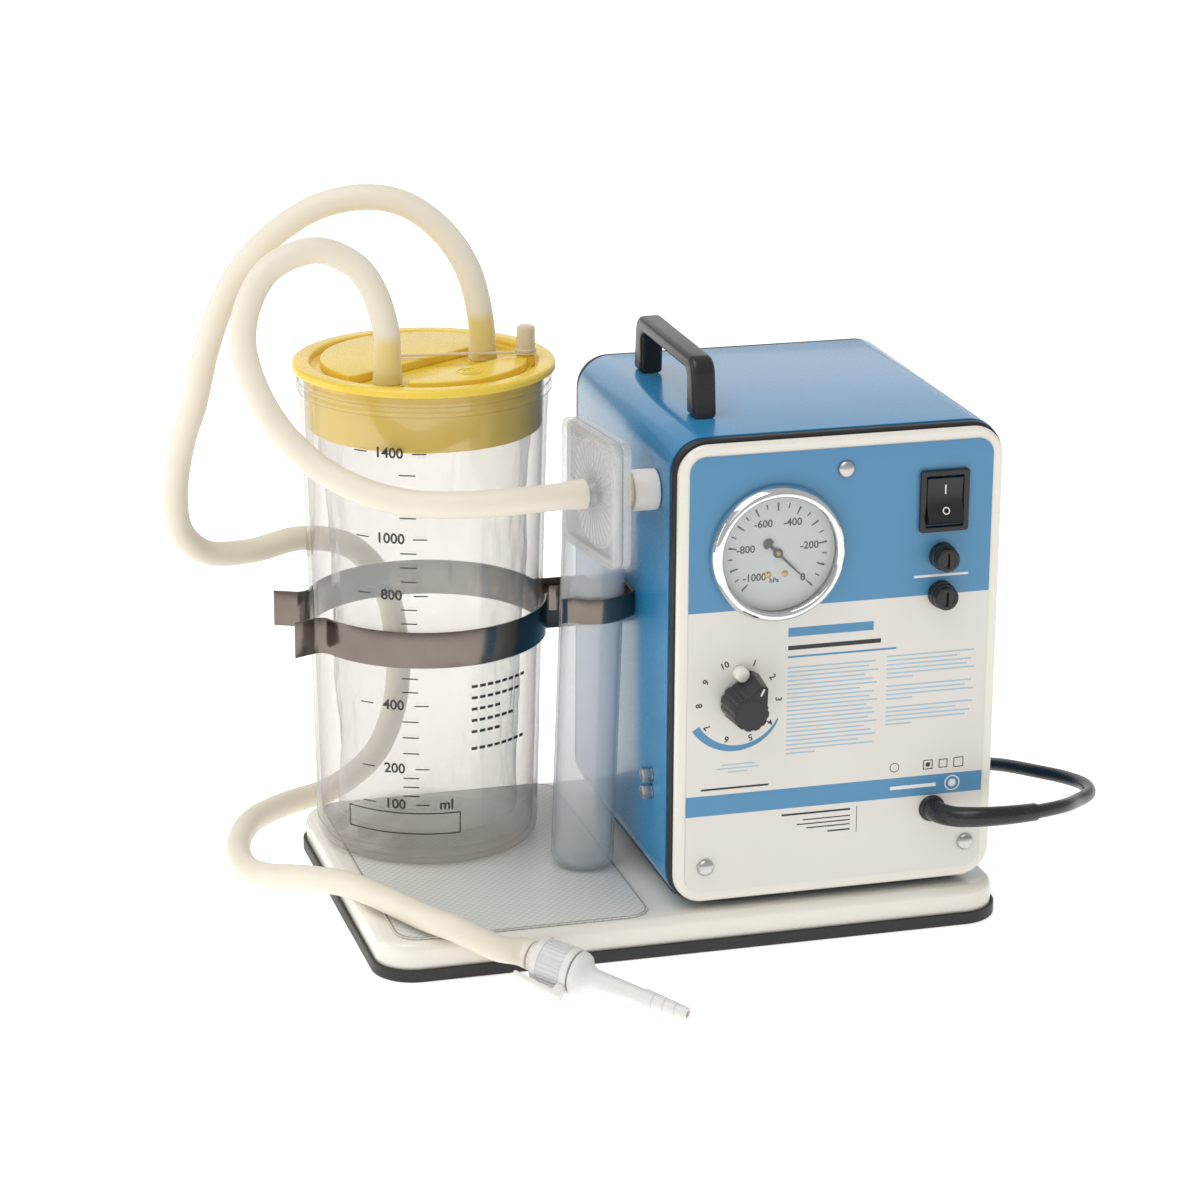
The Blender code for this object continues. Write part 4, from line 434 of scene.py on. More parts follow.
@dataclass(frozen=True)
class Hose(Finish):
    """Milky silicone: soft light inside, and a yellow spigot that shows through near the lid."""

    colour: str = "efe9dc"
    spigots: tuple[Point, ...] = ()
    reach_mm: float = 20.0
    see_through: float = 0.1

    def shade(self, tree: bpy.types.NodeTree) -> bpy.types.Node:
        """Principled with scattering, a little see-through; see Finish.shade."""
        place = add_node(tree, "ShaderNodeTexCoord").outputs["Object"]
        cloud = add_node(
            tree, "ShaderNodeTexNoise", values={"Scale": 60.0, "Detail": 3.0}, links={"Vector": place}
        )
        colour = add_node(
            tree,
            "ShaderNodeMix",
            {"data_type": "RGBA"},
            {6: srgb(self.colour), 7: srgb("e9e1d0")},
            {0: cloud.outputs["Fac"]},
        ).outputs[2]
        edge = add_node(tree, "ShaderNodeLayerWeight", values={"Blend": 0.35}).outputs["Facing"]
        inner = add_node(
            tree,
            "ShaderNodeMapRange",
            values={"From Min": 0.25, "From Max": 0.6, "To Min": 0.75, "To Max": 0.1},
            links={"Value": edge},
        ).outputs[0]
        for spot in self.spigots:
            away = add_node(
                tree,
                "ShaderNodeVectorMath",
                {"operation": "DISTANCE"},
                {1: spot},
                {0: place},
            ).outputs["Value"]
            near = add_node(
                tree,
                "ShaderNodeMapRange",
                values={
                    "From Min": self.reach_mm * 0.75 * MM,
                    "From Max": self.reach_mm * MM,
                    "To Min": 1.0,
                    "To Max": 0.0,
                },
                links={"Value": away},
            ).outputs[0]
            share = add_node(
                tree, "ShaderNodeMath", {"operation": "MULTIPLY"}, links={0: near, 1: inner}
            ).outputs[0]
            colour = add_node(
                tree,
                "ShaderNodeMix",
                {"data_type": "RGBA"},
                {7: srgb("e6cf6a")},
                {0: share, 6: colour},
            ).outputs[2]
        body = add_node(
            tree,
            "ShaderNodeBsdfPrincipled",
            values={
                "Roughness": 0.38,
                "IOR": 1.41,
                "Subsurface Weight": 0.35,
                "Subsurface Radius": (0.005, 0.004, 0.003),
                "Subsurface Scale": 1.0,
            },
            links={"Base Color": colour},
        )
        through = add_node(
            tree, "ShaderNodeBsdfTransparent", values={"Color": srgb("fbf6ea")}
        )
        return add_node(
            tree,
            "ShaderNodeMixShader",
            values={0: self.see_through},
            links={1: body.outputs[0], 2: through.outputs[0]},
        )


# Powder-free stove enamel on sheet steel: deep colour under a bright smooth coat
BLUE_ENAMEL = Solid(
    "blue_stove_enamel", "blue_paint", "2f86b8", "2b7fb1", 60.0, 1.2, (0.20, 0.28), 0.004, coat=0.25
)
# Warm white enamel, the same process; the base and both panels are made of it
CREAM_ENAMEL = Solid(
    "cream_stove_enamel", "cream_paint", "eae6dc", "e6e2d6", 60.0, 1.2, (0.2, 0.28), 0.004, coat=0.3
)
# Nitrile rubber edging: dull black with a fine moulded grain
BLACK_RUBBER = Solid(
    "black_nitrile_rubber", "black_plastic", "1b1a1b", "201f20", 12.0, 0.5, (0.42, 0.55), 0.02
)
# Glass-filled polyamide: black satin, faintly grained, on handle, switch, caps and knob
BLACK_NYLON = Solid(
    "black_moulded_nylon", "black_plastic", "161516", "1c1b1c", 10.0, 0.45, (0.26, 0.36), 0.012
)
# Rolled stainless strip, polished: long faint drawing lines along it
STRIP_STEEL = Solid(
    "polished_stainless_strip",
    "stainless_steel",
    "857c74",
    "6f665f",
    25.0,
    0.35,
    (0.12, 0.26),
    0.004,
    metallic=1.0,
    stretch=(0.08, 0.08, 1.0),
)
# Turned stainless fasteners: matt silver with a fine tool mark
FASTENER_STEEL = Solid(
    "turned_stainless", "stainless_steel", "c8c6c4", "bcbab8", 4.0, 0.3, (0.24, 0.36), 0.008, metallic=1.0
)
# Bright chrome plate on the gauge bezel
CHROME_PLATE = Solid(
    "bright_chrome_plate", "chrome", "dfe0e2", "d8d9db", 15.0, 0.4, (0.03, 0.07), 0.001, metallic=1.0
)
# Free-cutting brass: warm and slightly dull
TURNED_BRASS = Solid(
    "turned_brass", "brass", "d9b56a", "cfa95d", 3.0, 0.3, (0.22, 0.34), 0.006, metallic=1.0
)
# Die-cast aluminium of the pump housing
CAST_ALUMINIUM = Solid(
    "die_cast_aluminium", "aluminium", "b9bbbd", "adb0b3", 6.0, 0.8, (0.4, 0.55), 0.03, metallic=1.0
)
# White acetal: slightly warm, with soft light under the skin
WHITE_ACETAL = Solid(
    "white_moulded_acetal", "white_plastic", "eeeae2", "e9e4da", 15.0, 0.5, (0.3, 0.4), 0.008, subsurface=0.12
)
# Translucent polypropylene of the suction valve
VALVE_POLYPROPYLENE = Solid(
    "milky_polypropylene",
    "white_plastic",
    "e3e1de",
    "d9d8d6",
    8.0,
    0.6,
    (0.26, 0.36),
    0.01,
    subsurface=0.3,
)
# Yellow polystyrene of the liner lid: glossy, light passes a little way in
YELLOW_STYRENE = Solid(
    "yellow_moulded_styrene", "yellow_plastic", "f0d254", "eccb47", 14.0, 0.7, (0.2, 0.3), 0.01, subsurface=0.15
)
# Matt white lacquer of the gauge's dial
DIAL_LACQUER = Solid(
    "dial_lacquer", "white_plastic", "edebe7", "e9e7e3", 10.0, 0.3, (0.5, 0.6), 0.002
)
# Matt dark grey lacquer of its pointer
POINTER_LACQUER = Solid(
    "pointer_lacquer", "dark_grey", "3a3b3d", "343537", 4.0, 0.3, (0.4, 0.5), 0.003
)
# Printing inks: flat, slightly glossy films
BLACK_INK = Solid("black_screen_ink", "black_plastic", "232324", "2a2a2b", 5.0, 0.2, (0.35, 0.45), 0.001)
WHITE_INK = Solid("white_screen_ink", "white_plastic", "e8e8e6", "dededc", 5.0, 0.2, (0.35, 0.45), 0.001)
BLUE_INK = Solid("blue_screen_ink", "printed_label", "4b86ad", "5590b6", 5.0, 0.2, (0.35, 0.45), 0.001)
PALE_INK = Solid("pale_blue_screen_ink", "printed_label", "9db9ca", "a8c2d1", 5.0, 0.2, (0.4, 0.5), 0.001)
# PVC sheath of the mains lead: smooth black with a soft shine
PVC_SHEATH = Solid(
    "black_pvc_sheath", "black_plastic", "1a191b", "1f1e20", 20.0, 0.5, (0.24, 0.34), 0.006
)
# Embossed mat film: its diamond grooves are painted shade, darker lines in the colour
MAT_FILM = DiamondMat(
    "embossed_mat_film", "mat_film", "dcdcd6", "d6d6d0", 40.0, 0.5, (0.4, 0.5), 0.01
)
# Dark line round the mat's edge: painted shade at the film's step
MAT_EDGE_SHADE = Solid(
    "mat_edge_painted_shade", "mat_film", "a89c8a", "9c9080", 6.0, 0.4, (0.5, 0.6), 0.004
)
# Moulded polycarbonate: water-clear walls with a slightly blue edge
JAR_POLYCARBONATE = Clear(
    "clear_polycarbonate", "clear_plastic", face="fcfbfa", edge="dfdcd9", haze=0.03, ripple=0.03
)
FILTER_STYRENE = Clear(
    "clear_filter_styrene",
    "clear_plastic",
    face="f8f7f6",
    edge="dad8da",
    haze=0.22,
    rough=0.08,
    ripple_mm=2.0,
    ripple=0.15,
    mirror=0.07,
)
HOLDER_POLYPROPYLENE = Clear(
    "frosted_polypropylene",
    "clear_plastic",
    face="f6f7f8",
    edge="dfe3e6",
    haze=0.2,
    haze_colour="f1f4f6",
    rough=0.22,
    ripple_mm=9.0,
    ripple=0.1,
)
LINER_POLYETHYLENE = Clear(
    "crumpled_polyethylene",
    "liner_film",
    face="fafaf9",
    edge="e6e6e4",
    haze=0.10,
    haze_colour="eeeeeb",
    rough=0.18,
    ripple_mm=14.0,
    ripple=0.9,
    mirror=0.06,
)
CAP_POLYETHYLENE = Clear(
    "milky_polyethylene",
    "white_plastic",
    face="f5efdc",
    edge="d9d2bd",
    haze=0.55,
    haze_colour="efe6cd",
    rough=0.25,
)
# Float glass of the gauge's window
GAUGE_GLASS = Clear(
    "gauge_window_glass", "clear_glass", face="f7f9fa", edge="aab3b6", haze=0.01, rough=0.02, ripple=0.0
)
FILTER_MEMBRANE = Solid(
    "hydrophobic_membrane", "white_plastic", "f1f0f0", "eceae9", 6.0, 0.25, (0.6, 0.75), 0.01
)

# ---------------------------------------------------------------- shaping


def only(piece: bpy.types.Object) -> bpy.types.Object:
    """Make a piece the only selected object, and the active one.

    Args:
        piece: the object.

    Returns:
        The same object.
    """
    bpy.ops.object.select_all(action="DESELECT")
    piece.select_set(True)
    bpy.context.view_layer.objects.active = piece
    return piece


def linked(name: str, data: bpy.types.ID) -> bpy.types.Object:
    """Put new data into the scene as an object.

    Args:
        name: the object's name.
        data: its mesh or curve.

    Returns:
        The object.
    """
    made = bpy.data.objects.new(name, data)
    bpy.context.scene.collection.objects.link(made)
    return made


def as_mesh(piece: bpy.types.Object) -> bpy.types.Object:
    """Turn a curve or text into a mesh, doubles merged and normals outwards.

    Args:
        piece: the curve or text object.

    Returns:
        The mesh object.
    """
    only(piece)
    bpy.ops.object.convert(target="MESH")
    return cleaned(bpy.context.view_layer.objects.active)


def cleaned(piece: bpy.types.Object) -> bpy.types.Object:
    """Merge doubled corners and turn every face outwards.

    Args:
        piece: a mesh object.

    Returns:
        The same object.
    """
    only(piece)
    bpy.ops.object.mode_set(mode="EDIT")
    bpy.ops.mesh.select_all(action="SELECT")
    bpy.ops.mesh.remove_doubles(threshold=1e-6)
    bpy.ops.mesh.normals_make_consistent(inside=False)
    bpy.ops.object.mode_set(mode="OBJECT")
    return piece


def put(piece: bpy.types.Object, turn: Matrix) -> bpy.types.Object:
    """Move a mesh's points by a matrix, so its object stays at the origin.

    Args:
        piece: a mesh object at the origin.
        turn: the matrix.

    Returns:
        The same object.
    """
    only(piece)
    piece.matrix_world = turn
    bpy.ops.object.transform_apply(location=True, rotation=True, scale=True)
    return piece


def with_modifier(piece: bpy.types.Object, kind: str, **settings: object) -> bpy.types.Object:
    """Apply a modifier to a piece.

    Args:
        piece: a mesh object.
        kind: the modifier's type.
        settings: its properties.

    Returns:
        The same object.
    """
    only(piece)
    modifier = piece.modifiers.new(kind.lower(), kind)
    for name, value in settings.items():
        setattr(modifier, name, value)
    bpy.ops.object.modifier_apply(modifier=modifier.name)
    return piece


def joined(name: str, pieces: list[bpy.types.Object]) -> bpy.types.Object:
    """Make several meshes one object.

    Args:
        name: its name.
        pieces: the meshes, the first of which keeps its object.

    Returns:
        The joined object.
    """
    only(pieces[0])
    for piece in pieces[1:]:
        piece.select_set(True)
    bpy.ops.object.join()
    pieces[0].name = name
    return pieces[0]


def copied(piece: bpy.types.Object, name: str, turn: Matrix) -> bpy.types.Object:
    """A copy of a piece with its own mesh, moved by a matrix.

    Args:
        piece: the mesh object to copy.
        name: the copy's name.
        turn: the matrix.

    Returns:
        The copy.
    """
    return put(linked(name, piece.data.copy()), turn)


def arc(centre: tuple[float, float], radius: float, start: float, end: float, steps: int) -> Outline:
    """Points on a circle.

    Args:
        centre: its centre.
        radius: its radius.
        start: the first point's angle in degrees, anticlockwise from x.
        end: the last point's angle.
        steps: how many stretches lie between them.

    Returns:
        The points.
    """
    angles = [math.radians(start + (end - start) * step / steps) for step in range(steps + 1)]
    return [(centre[0] + radius * math.cos(a), centre[1] + radius * math.sin(a)) for a in angles]


def circle(radius: float, centre: tuple[float, float] = (0.0, 0.0), steps: int = 48) -> Outline:
    """A closed circle's points.

    Args:
        radius: its radius.
        centre: its centre.
        steps: its number of points.

    Returns:
        The points.
    """
    return arc(centre, radius, 0.0, 360.0, steps)[:-1]


def rounded(width: float, height: float, radius: float, steps: int = 12) -> Outline:
    """A rectangle with round corners, centred on the origin.

    Args:
        width: its size along x.
        height: its size along y.
        radius: its corners' radius.
        steps: stretches in each corner.

    Returns:
        The points.
    """
    across, up = width / 2 - radius, height / 2 - radius
    corners = (((across, up), 0), ((-across, up), 90), ((-across, -up), 180), ((across, -up), 270))
    return [point for place, turn in corners for point in arc(place, radius, turn, turn + 90, steps)]


def filleted(corners: list[tuple[float, float, float]], steps: int = 6) -> Outline:
    """An outline whose corners are rounded.

    Args:
        corners: x, y and the rounding's radius for each corner.
        steps: stretches in each rounding.

    Returns:
        The points.
    """
    points: Outline = []
    for index, (x, y, radius) in enumerate(corners):
        here = Vector((x, y))
        back = Vector(corners[index - 1][:2]) - here
        on = Vector(corners[(index + 1) % len(corners)][:2]) - here
        half = back.angle(on) / 2
        if radius <= 0 or half > math.radians(89.5):
            points.append((x, y))
            continue
        reach = radius / math.tan(half)
        middle = here + (back.normalized() + on.normalized()).normalized() * radius / math.sin(half)
        first = here + back.normalized() * reach - middle
        last = here + on.normalized() * reach - middle
        for step in range(steps + 1):
            swing = first.slerp(last, step / steps).normalized() * radius
            points.append((middle.x + swing.x, middle.y + swing.y))
    return points


def cut_out(
    name: str,
    outlines: list[Outline],
    low: float,
    high: float,
    plane: Matrix | None = None,
    rim: float = 0.0,
    steps: int = 3,
) -> bpy.types.Object:
    """A flat body cut along outlines, with both rims rounded.

    Args:
        name: the object's name.
        outlines: the outer outline and any holes.
        low: depth of its back.
        high: depth of its face.
        plane: the drawing plane's matrix.
        rim: the rims' rounding.
        steps: how smooth the rounding is.

    Returns:
        The mesh object.
    """
    drawn = bpy.data.curves.new(name, "CURVE")
    drawn.dimensions = "2D"
    drawn.fill_mode = "BOTH"
    drawn.extrude = (high - low) / 2 - rim
    drawn.bevel_depth = rim
    drawn.bevel_resolution = steps
    drawn.offset = -rim
    for outline in outlines:
        spline = drawn.splines.new("POLY")
        spline.points.add(len(outline) - 1)
        for point, (x, y) in zip(spline.points, outline):
            point.co = (x, y, 0.0, 1.0)
        spline.use_cyclic_u = True
    piece = as_mesh(linked(name, drawn))
    middle = Matrix.Translation((0.0, 0.0, (low + high) / 2))
    return put(piece, (plane or Matrix.Identity(4)) @ middle)


def lathed(
    name: str, profile: Outline, plane: Matrix | None = None, steps: int = 64
) -> bpy.types.Object:
    """A round body: a circle extruded and resized along its profile.

    Args:
        name: the object's name.
        profile: radius and depth from one end to the other; it closes on itself if its ends meet.
        plane: the drawing plane's matrix.
        steps: points round it.

    Returns:
        The mesh object.
    """
    least = 1e-6
    radius, depth = max(profile[0][0], least), profile[0][1]
    bpy.ops.object.select_all(action="DESELECT")
    bpy.ops.mesh.primitive_circle_add(vertices=steps, radius=radius, location=(0.0, 0.0, depth))
    piece = bpy.context.object
    piece.name = name
    bpy.ops.object.transform_apply(location=True, rotation=True, scale=True)
    bpy.ops.object.mode_set(mode="EDIT")
    bpy.ops.mesh.select_all(action="SELECT")
    for wide, deep in profile[1:]:
        wide = max(wide, least)
        bpy.ops.mesh.extrude_region_move(TRANSFORM_OT_translate={"value": (0.0, 0.0, deep - depth)})
        share = wide / radius
        bpy.ops.transform.resize(value=(share, share, 1.0), center_override=(0.0, 0.0, deep))
        radius, depth = wide, deep
    bpy.ops.mesh.select_all(action="SELECT")
    bpy.ops.mesh.remove_doubles(threshold=2.5 * least)
    bpy.ops.mesh.normals_make_consistent(inside=False)
    bpy.ops.object.mode_set(mode="OBJECT")
    return put(piece, plane or Matrix.Identity(4))


def ribbon(
    name: str, path: list[Point], thick: float, tall: float, plane: Matrix | None = None
) -> bpy.types.Object:
    """Strip metal bent along a line, its edges rounded.

    Args:
        name: the object's name.
        path: the line, in the drawing plane.
        thick: the strip's thickness.
        tall: its height, centred on the plane.
        plane: the drawing plane's matrix.

    Returns:
        The mesh object.
    """
    line = bpy.data.curves.new(name, "CURVE")
    line.dimensions = "2D"
    line.fill_mode = "NONE"
    line.extrude = tall / 2
    spline = line.splines.new("POLY")
    spline.points.add(len(path) - 1)
    for point, (x, y, _) in zip(spline.points, path):
        point.co = (x, y, 0.0, 1.0)
    piece = as_mesh(linked(name, line))
    with_modifier(piece, "SOLIDIFY", thickness=thick, offset=0.0, use_even_offset=True)
    with_modifier(
        piece,
        "BEVEL",
        width=thick * 0.3,
        segments=2,
        limit_method="ANGLE",
        angle_limit=math.radians(60),
    )
    return put(cleaned(piece), plane or Matrix.Identity(4))


def words(
    name: str, body: str, size: float, centre: tuple[float, float], plane: Matrix, depth: float
) -> bpy.types.Object:
    """Generic printed figures, as a thin film of ink.

    Args:
        name: the object's name.
        body: the figures.
        size: their height.
        centre: the middle of the word in the drawing plane.
        plane: the drawing plane's matrix.
        depth: how far forward of the plane the film stands.

    Returns:
        The mesh object.
    """
    text = bpy.data.curves.new(name, "FONT")
    text.body = body
    text.size = size * 1.38
    text.align_x = "CENTER"
    text.align_y = "CENTER"
    text.extrude = SKIN / 2
    text.resolution_u = 4
    text.offset = size * 0.03
    piece = as_mesh(linked(name, text))
    return put(piece, plane @ Matrix.Translation((centre[0], centre[1], depth)))


def smooth_path(route: list[Point], spacing: float) -> list[Vector]:
    """A curve through chosen points, sampled evenly enough to look round.

    Args:
        route: the points.
        spacing: the distance between samples.

    Returns:
        Points on a centripetal Catmull-Rom curve.
    """
    points = [Vector(point) for point in route]
    padded = [2 * points[0] - points[1], *points, 2 * points[-1] - points[-2]]
    path: list[Vector] = []
    for index in range(1, len(padded) - 2):
        four = padded[index - 1 : index + 3]
        knots = [0.0]
        for near, far in zip(four, four[1:]):
            knots.append(knots[-1] + max((far - near).length, 1e-9) ** 0.5)
        count = max(2, math.ceil((four[2] - four[1]).length / spacing))
        for step in range(count):
            at = knots[1] + (knots[2] - knots[1]) * step / count
            row = list(four)
            for order in (1, 2):
                row = [
                    row[i] * ((knots[i + order] - at) / (knots[i + order] - knots[i]))
                    + row[i + 1] * ((at - knots[i]) / (knots[i + order] - knots[i]))
                    for i in range(4 - order)
                ]
            share = (at - knots[1]) / (knots[2] - knots[1])
            path.append(row[0] * (1.0 - share) + row[1] * share)
    path.append(points[-1])
    return path


def tube_curve(
    name: str, path: list[Vector], radius: float, flare: float, flare_length: float
) -> bpy.types.Object:
    """A round cord on a path, as a curve of one open spline.

    Args:
        name: the object's name.
        path: its centreline.
        radius: its radius.
        flare: the share by which both ends widen.
        flare_length: how far from an end the widening fades out.

    Returns:
        The curve object.
    """
    line = bpy.data.curves.new(name, "CURVE")
    line.dimensions = "3D"
    line.bevel_depth = radius
    line.bevel_resolution = 10
    line.resolution_u = 1
    line.use_fill_caps = True
    line.twist_mode = "MINIMUM"
    spline = line.splines.new("POLY")
    spline.points.add(len(path) - 1)
    for point, place in zip(spline.points, path):
        point.co = (*place, 1.0)
    run = [0.0]
    for near, far in zip(path, path[1:]):
        run.append(run[-1] + (far - near).length)
    for point, along in zip(spline.points, run):
        away = min(1.0, min(along, run[-1] - along) / flare_length)
        point.radius = 1.0 + flare * (1.0 - away * away * (3.0 - 2.0 * away))
    return linked(name, line)


@dataclass
class SubAssembly:
    """Pieces that are built and dressed together.

    Attributes:
        body: the body that its pieces ride on, unless a piece says another.
    """

    body: str = "machine"

    def keep(
        self,
        piece: bpy.types.Object,
        finish: Finish,
        *nodes: str,
        body: str = "",
        smooth: float = 35.0,
    ) -> bpy.types.Object:
        """Give a piece its finish and its body.

        Args:
            piece: the object, in its place.
            finish: its finish.
            nodes: the frame's nodes that it stands for.
            body: the body that it rides on, if not the sub-assembly's.
            smooth: edges turning less than this many degrees are shaded round.

        Returns:
            The same object.
        """
        if piece.type == "MESH":
            only(piece)
            bpy.ops.object.shade_smooth_by_angle(angle=math.radians(smooth))
        piece.data.materials.clear()
        piece.data.materials.append(finish.material())
        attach(piece, body or self.body)
        if nodes:
            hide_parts(*nodes)
        LOG.info("%s: %s in %s", type(self).__name__, piece.name, finish.name)
        return piece

    def dress(self, finish: Finish, *nodes: str) -> None:
        """Give carried-over nodes a finish.

        Args:
            finish: the finish.
            nodes: the nodes' names.
        """
        for name in nodes:
            node = bpy.data.objects[name]
            node.data.materials.clear()
            node.data.materials.append(finish.material())
            LOG.info("%s: %s in %s", type(self).__name__, name, finish.name)


def middle_of(node: str) -> Vector:
    """The centre of a node's box.

    Args:
        node: its name.

    Returns:
        The point.
    """
    low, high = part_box(node)
    return (low + high) / 2

# ---------------------------------------------------------------- sub-assemblies


@dataclass
class Studio:
    """The camera, the soft lights and the pale floor."""

    place: Point = (-0.515, -1.73481, 0.73365)
    yaw: float = -0.27632
    pitch: float = -0.31218
    roll: float = 0.00602
    lens: float = 113.57
    world: float = 0.56
    floor_size: float = 40.0

    def build(self) -> None:
        """Set up the camera, the lights and the floor."""
        data = bpy.data.cameras.new("camera")
        data.lens = self.lens
        data.sensor_width = 36.0
        camera = linked("camera", data)
        camera.matrix_world = (
            Matrix.Translation(self.place)
            @ Matrix.Rotation(self.yaw, 4, "Z")
            @ Matrix.Rotation(math.pi / 2 + self.pitch, 4, "X")
            @ Matrix.Rotation(self.roll, 4, "Z")
        )
        bpy.context.scene.camera = camera
        view = bpy.context.scene.view_settings
        view.view_transform = "Standard"
        view.look = "None"
        cycles = bpy.context.scene.cycles
        cycles.transparent_max_bounces = 40
        cycles.max_bounces = 14
        cycles.transmission_bounces = 12
        self.light("key_softbox", (-1.7, -1.9, 2.3), (1.6, 1.6), 5.0)
        self.light("top_softbox", (-0.8, -0.3, 2.4), (1.7, 1.7), 22.0)
        self.light("back_softbox", (0.7, 3.0, 1.25), (3.4, 1.5), 9.0)
        self.light("side_softbox", (-2.6, 0.6, 0.9), (1.4, 1.4), 13.0)
        world = bpy.data.worlds.new("studio")
        bpy.context.scene.world = world
        world.use_nodes = True
        background = world.node_tree.nodes["Background"]
        background.inputs["Color"].default_value = (1.0, 0.99, 0.975, 1.0)
        background.inputs["Strength"].default_value = self.world
        self.floor()

    def light(
        self, name: str, place: Point, size: tuple[float, float], power: float
    ) -> None:
        """Hang a soft area light that looks at the pump.

        Args:
            name: its name.
            place: its place.
            size: its width and height.
            power: its power in watts.
        """
        data = bpy.data.lights.new(name, "AREA")
        data.shape = "RECTANGLE"
        data.size, data.size_y = size
        data.energy = power
        lamp = linked(name, data)
        aim = Vector((0.0, 0.0, 0.15)) - Vector(place)
        lamp.matrix_world = Matrix.Translation(place) @ aim.to_track_quat("-Z", "Y").to_matrix().to_4x4()

    def floor(self) -> None:
        """Lay a plain white floor."""
        bpy.ops.object.select_all(action="DESELECT")
        bpy.ops.mesh.primitive_plane_add(size=self.floor_size)
        floor = bpy.context.object
        floor.name = "studio_floor"
        floor.location.z = -HAIR
        paper = bpy.data.materials.new("white_paper_sweep")
        paper.use_nodes = True
        tree = paper.node_tree
        tree.nodes.clear()
        diffuse = add_node(tree, "ShaderNodeBsdfDiffuse", values={"Color": srgb("f6f5f3")})
        glow = add_node(
            tree, "ShaderNodeEmission", values={"Color": srgb("ffffff"), "Strength": 0.6}
        )
        both = add_node(
            tree, "ShaderNodeAddShader", links={0: diffuse.outputs[0], 1: glow.outputs[0]}
        )
        add_node(tree, "ShaderNodeOutputMaterial", links={"Surface": both.outputs[0]})
        floor.data.materials.append(paper)


def opened(piece: bpy.types.Object, below: float, wall: float) -> bpy.types.Object:
    """Take the underside off a body and leave a wall inside it.

    Args:
        piece: a mesh object at the origin.
        below: faces wholly below this height go.
        wall: the wall's thickness.

    Returns:
        The same object.
    """
    only(piece)
    bpy.ops.object.mode_set(mode="EDIT")
    bpy.ops.mesh.select_mode(type="FACE")
    bpy.ops.mesh.select_all(action="DESELECT")
    bpy.ops.object.mode_set(mode="OBJECT")
    points = piece.data.vertices
    for face in piece.data.polygons:
        face.select = all(points[index].co.z < below for index in face.vertices)
    bpy.ops.object.mode_set(mode="EDIT")
    bpy.ops.mesh.delete(type="FACE")
    bpy.ops.mesh.select_mode(type="VERT")
    bpy.ops.object.mode_set(mode="OBJECT")
    return with_modifier(piece, "SOLIDIFY", thickness=wall, offset=-1.0, use_even_offset=True)


@dataclass
class BaseTray(SubAssembly):
    """The enamelled base with its rubber edging and the embossed mat under the jar, whose grooves are drawn as
    painted shade.
    """

    corner: float = 21.0 * MM
    wall: float = 1.5 * MM
    flange: float = 12.0 * MM
    flange_thick: float = 1.2 * MM
    tray_inset: float = 1.8 * MM
    tray_round: float = 4.5 * MM
    tray_wall: float = 1.2 * MM
    mat_corner: float = 12.0 * MM
    mat_edge: float = 0.9 * MM

    def build(self) -> None:
        """Build the edging, the tray and the mat."""
        low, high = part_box("base_edging")
        size = high - low
        sides = [
            rounded(size.x - 2 * step, size.y - 2 * step, self.corner - step)
            for step in (0.0, self.wall, self.flange)
        ]
        band = cut_out("edging_band", sides[:2], low.z, high.z, None, 0.6 * MM)
        flange = cut_out(
            "edging_flange", [sides[1], sides[2]], low.z, low.z + self.flange_thick, None, 0.2 * MM
        )
        self.keep(joined("edging_rubber", [band, flange]), BLACK_RUBBER, "base_edging")
        low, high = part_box("base_tray")
        size = high - low
        slab = cut_out(
            "tray_enamelled",
            [rounded(size.x, size.y, self.corner - self.tray_inset, 16)],
            low.z - self.tray_round,
            high.z,
            None,
            self.tray_round,
            8,
        )
        opened(slab, low.z + 0.1 * MM, self.tray_wall)
        self.keep(slab, CREAM_ENAMEL, "base_tray")
        self.mat()
        self.dress(FASTENER_STEEL, "base_bottom_plate")

    def mat(self) -> None:
        """Build the mat film and the dark line of painted shade round its edge, where the film's step meets the tray.
        """
        low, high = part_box("base_mat")
        size = high - low
        plane = placed(Facing.UP, ((low.x + high.x) / 2, (low.y + high.y) / 2, 0.0))
        outline = rounded(size.x, size.y, self.mat_corner)
        film = cut_out("mat_film_sheet", [outline], low.z, high.z - SKIN, plane, 0.1 * MM)
        self.keep(film, MAT_FILM, "base_mat")
        # Painted shade: a dark line just inside the mat's edge, where its step meets the tray
        edge = [
            rounded(size.x - 2 * step, size.y - 2 * step, self.mat_corner - step)
            for step in (0.4 * MM, 0.4 * MM + self.mat_edge)
        ]
        line = cut_out("mat_edge_line", edge, high.z - 0.6 * SKIN, high.z, plane)
        self.keep(line, MAT_EDGE_SHADE)


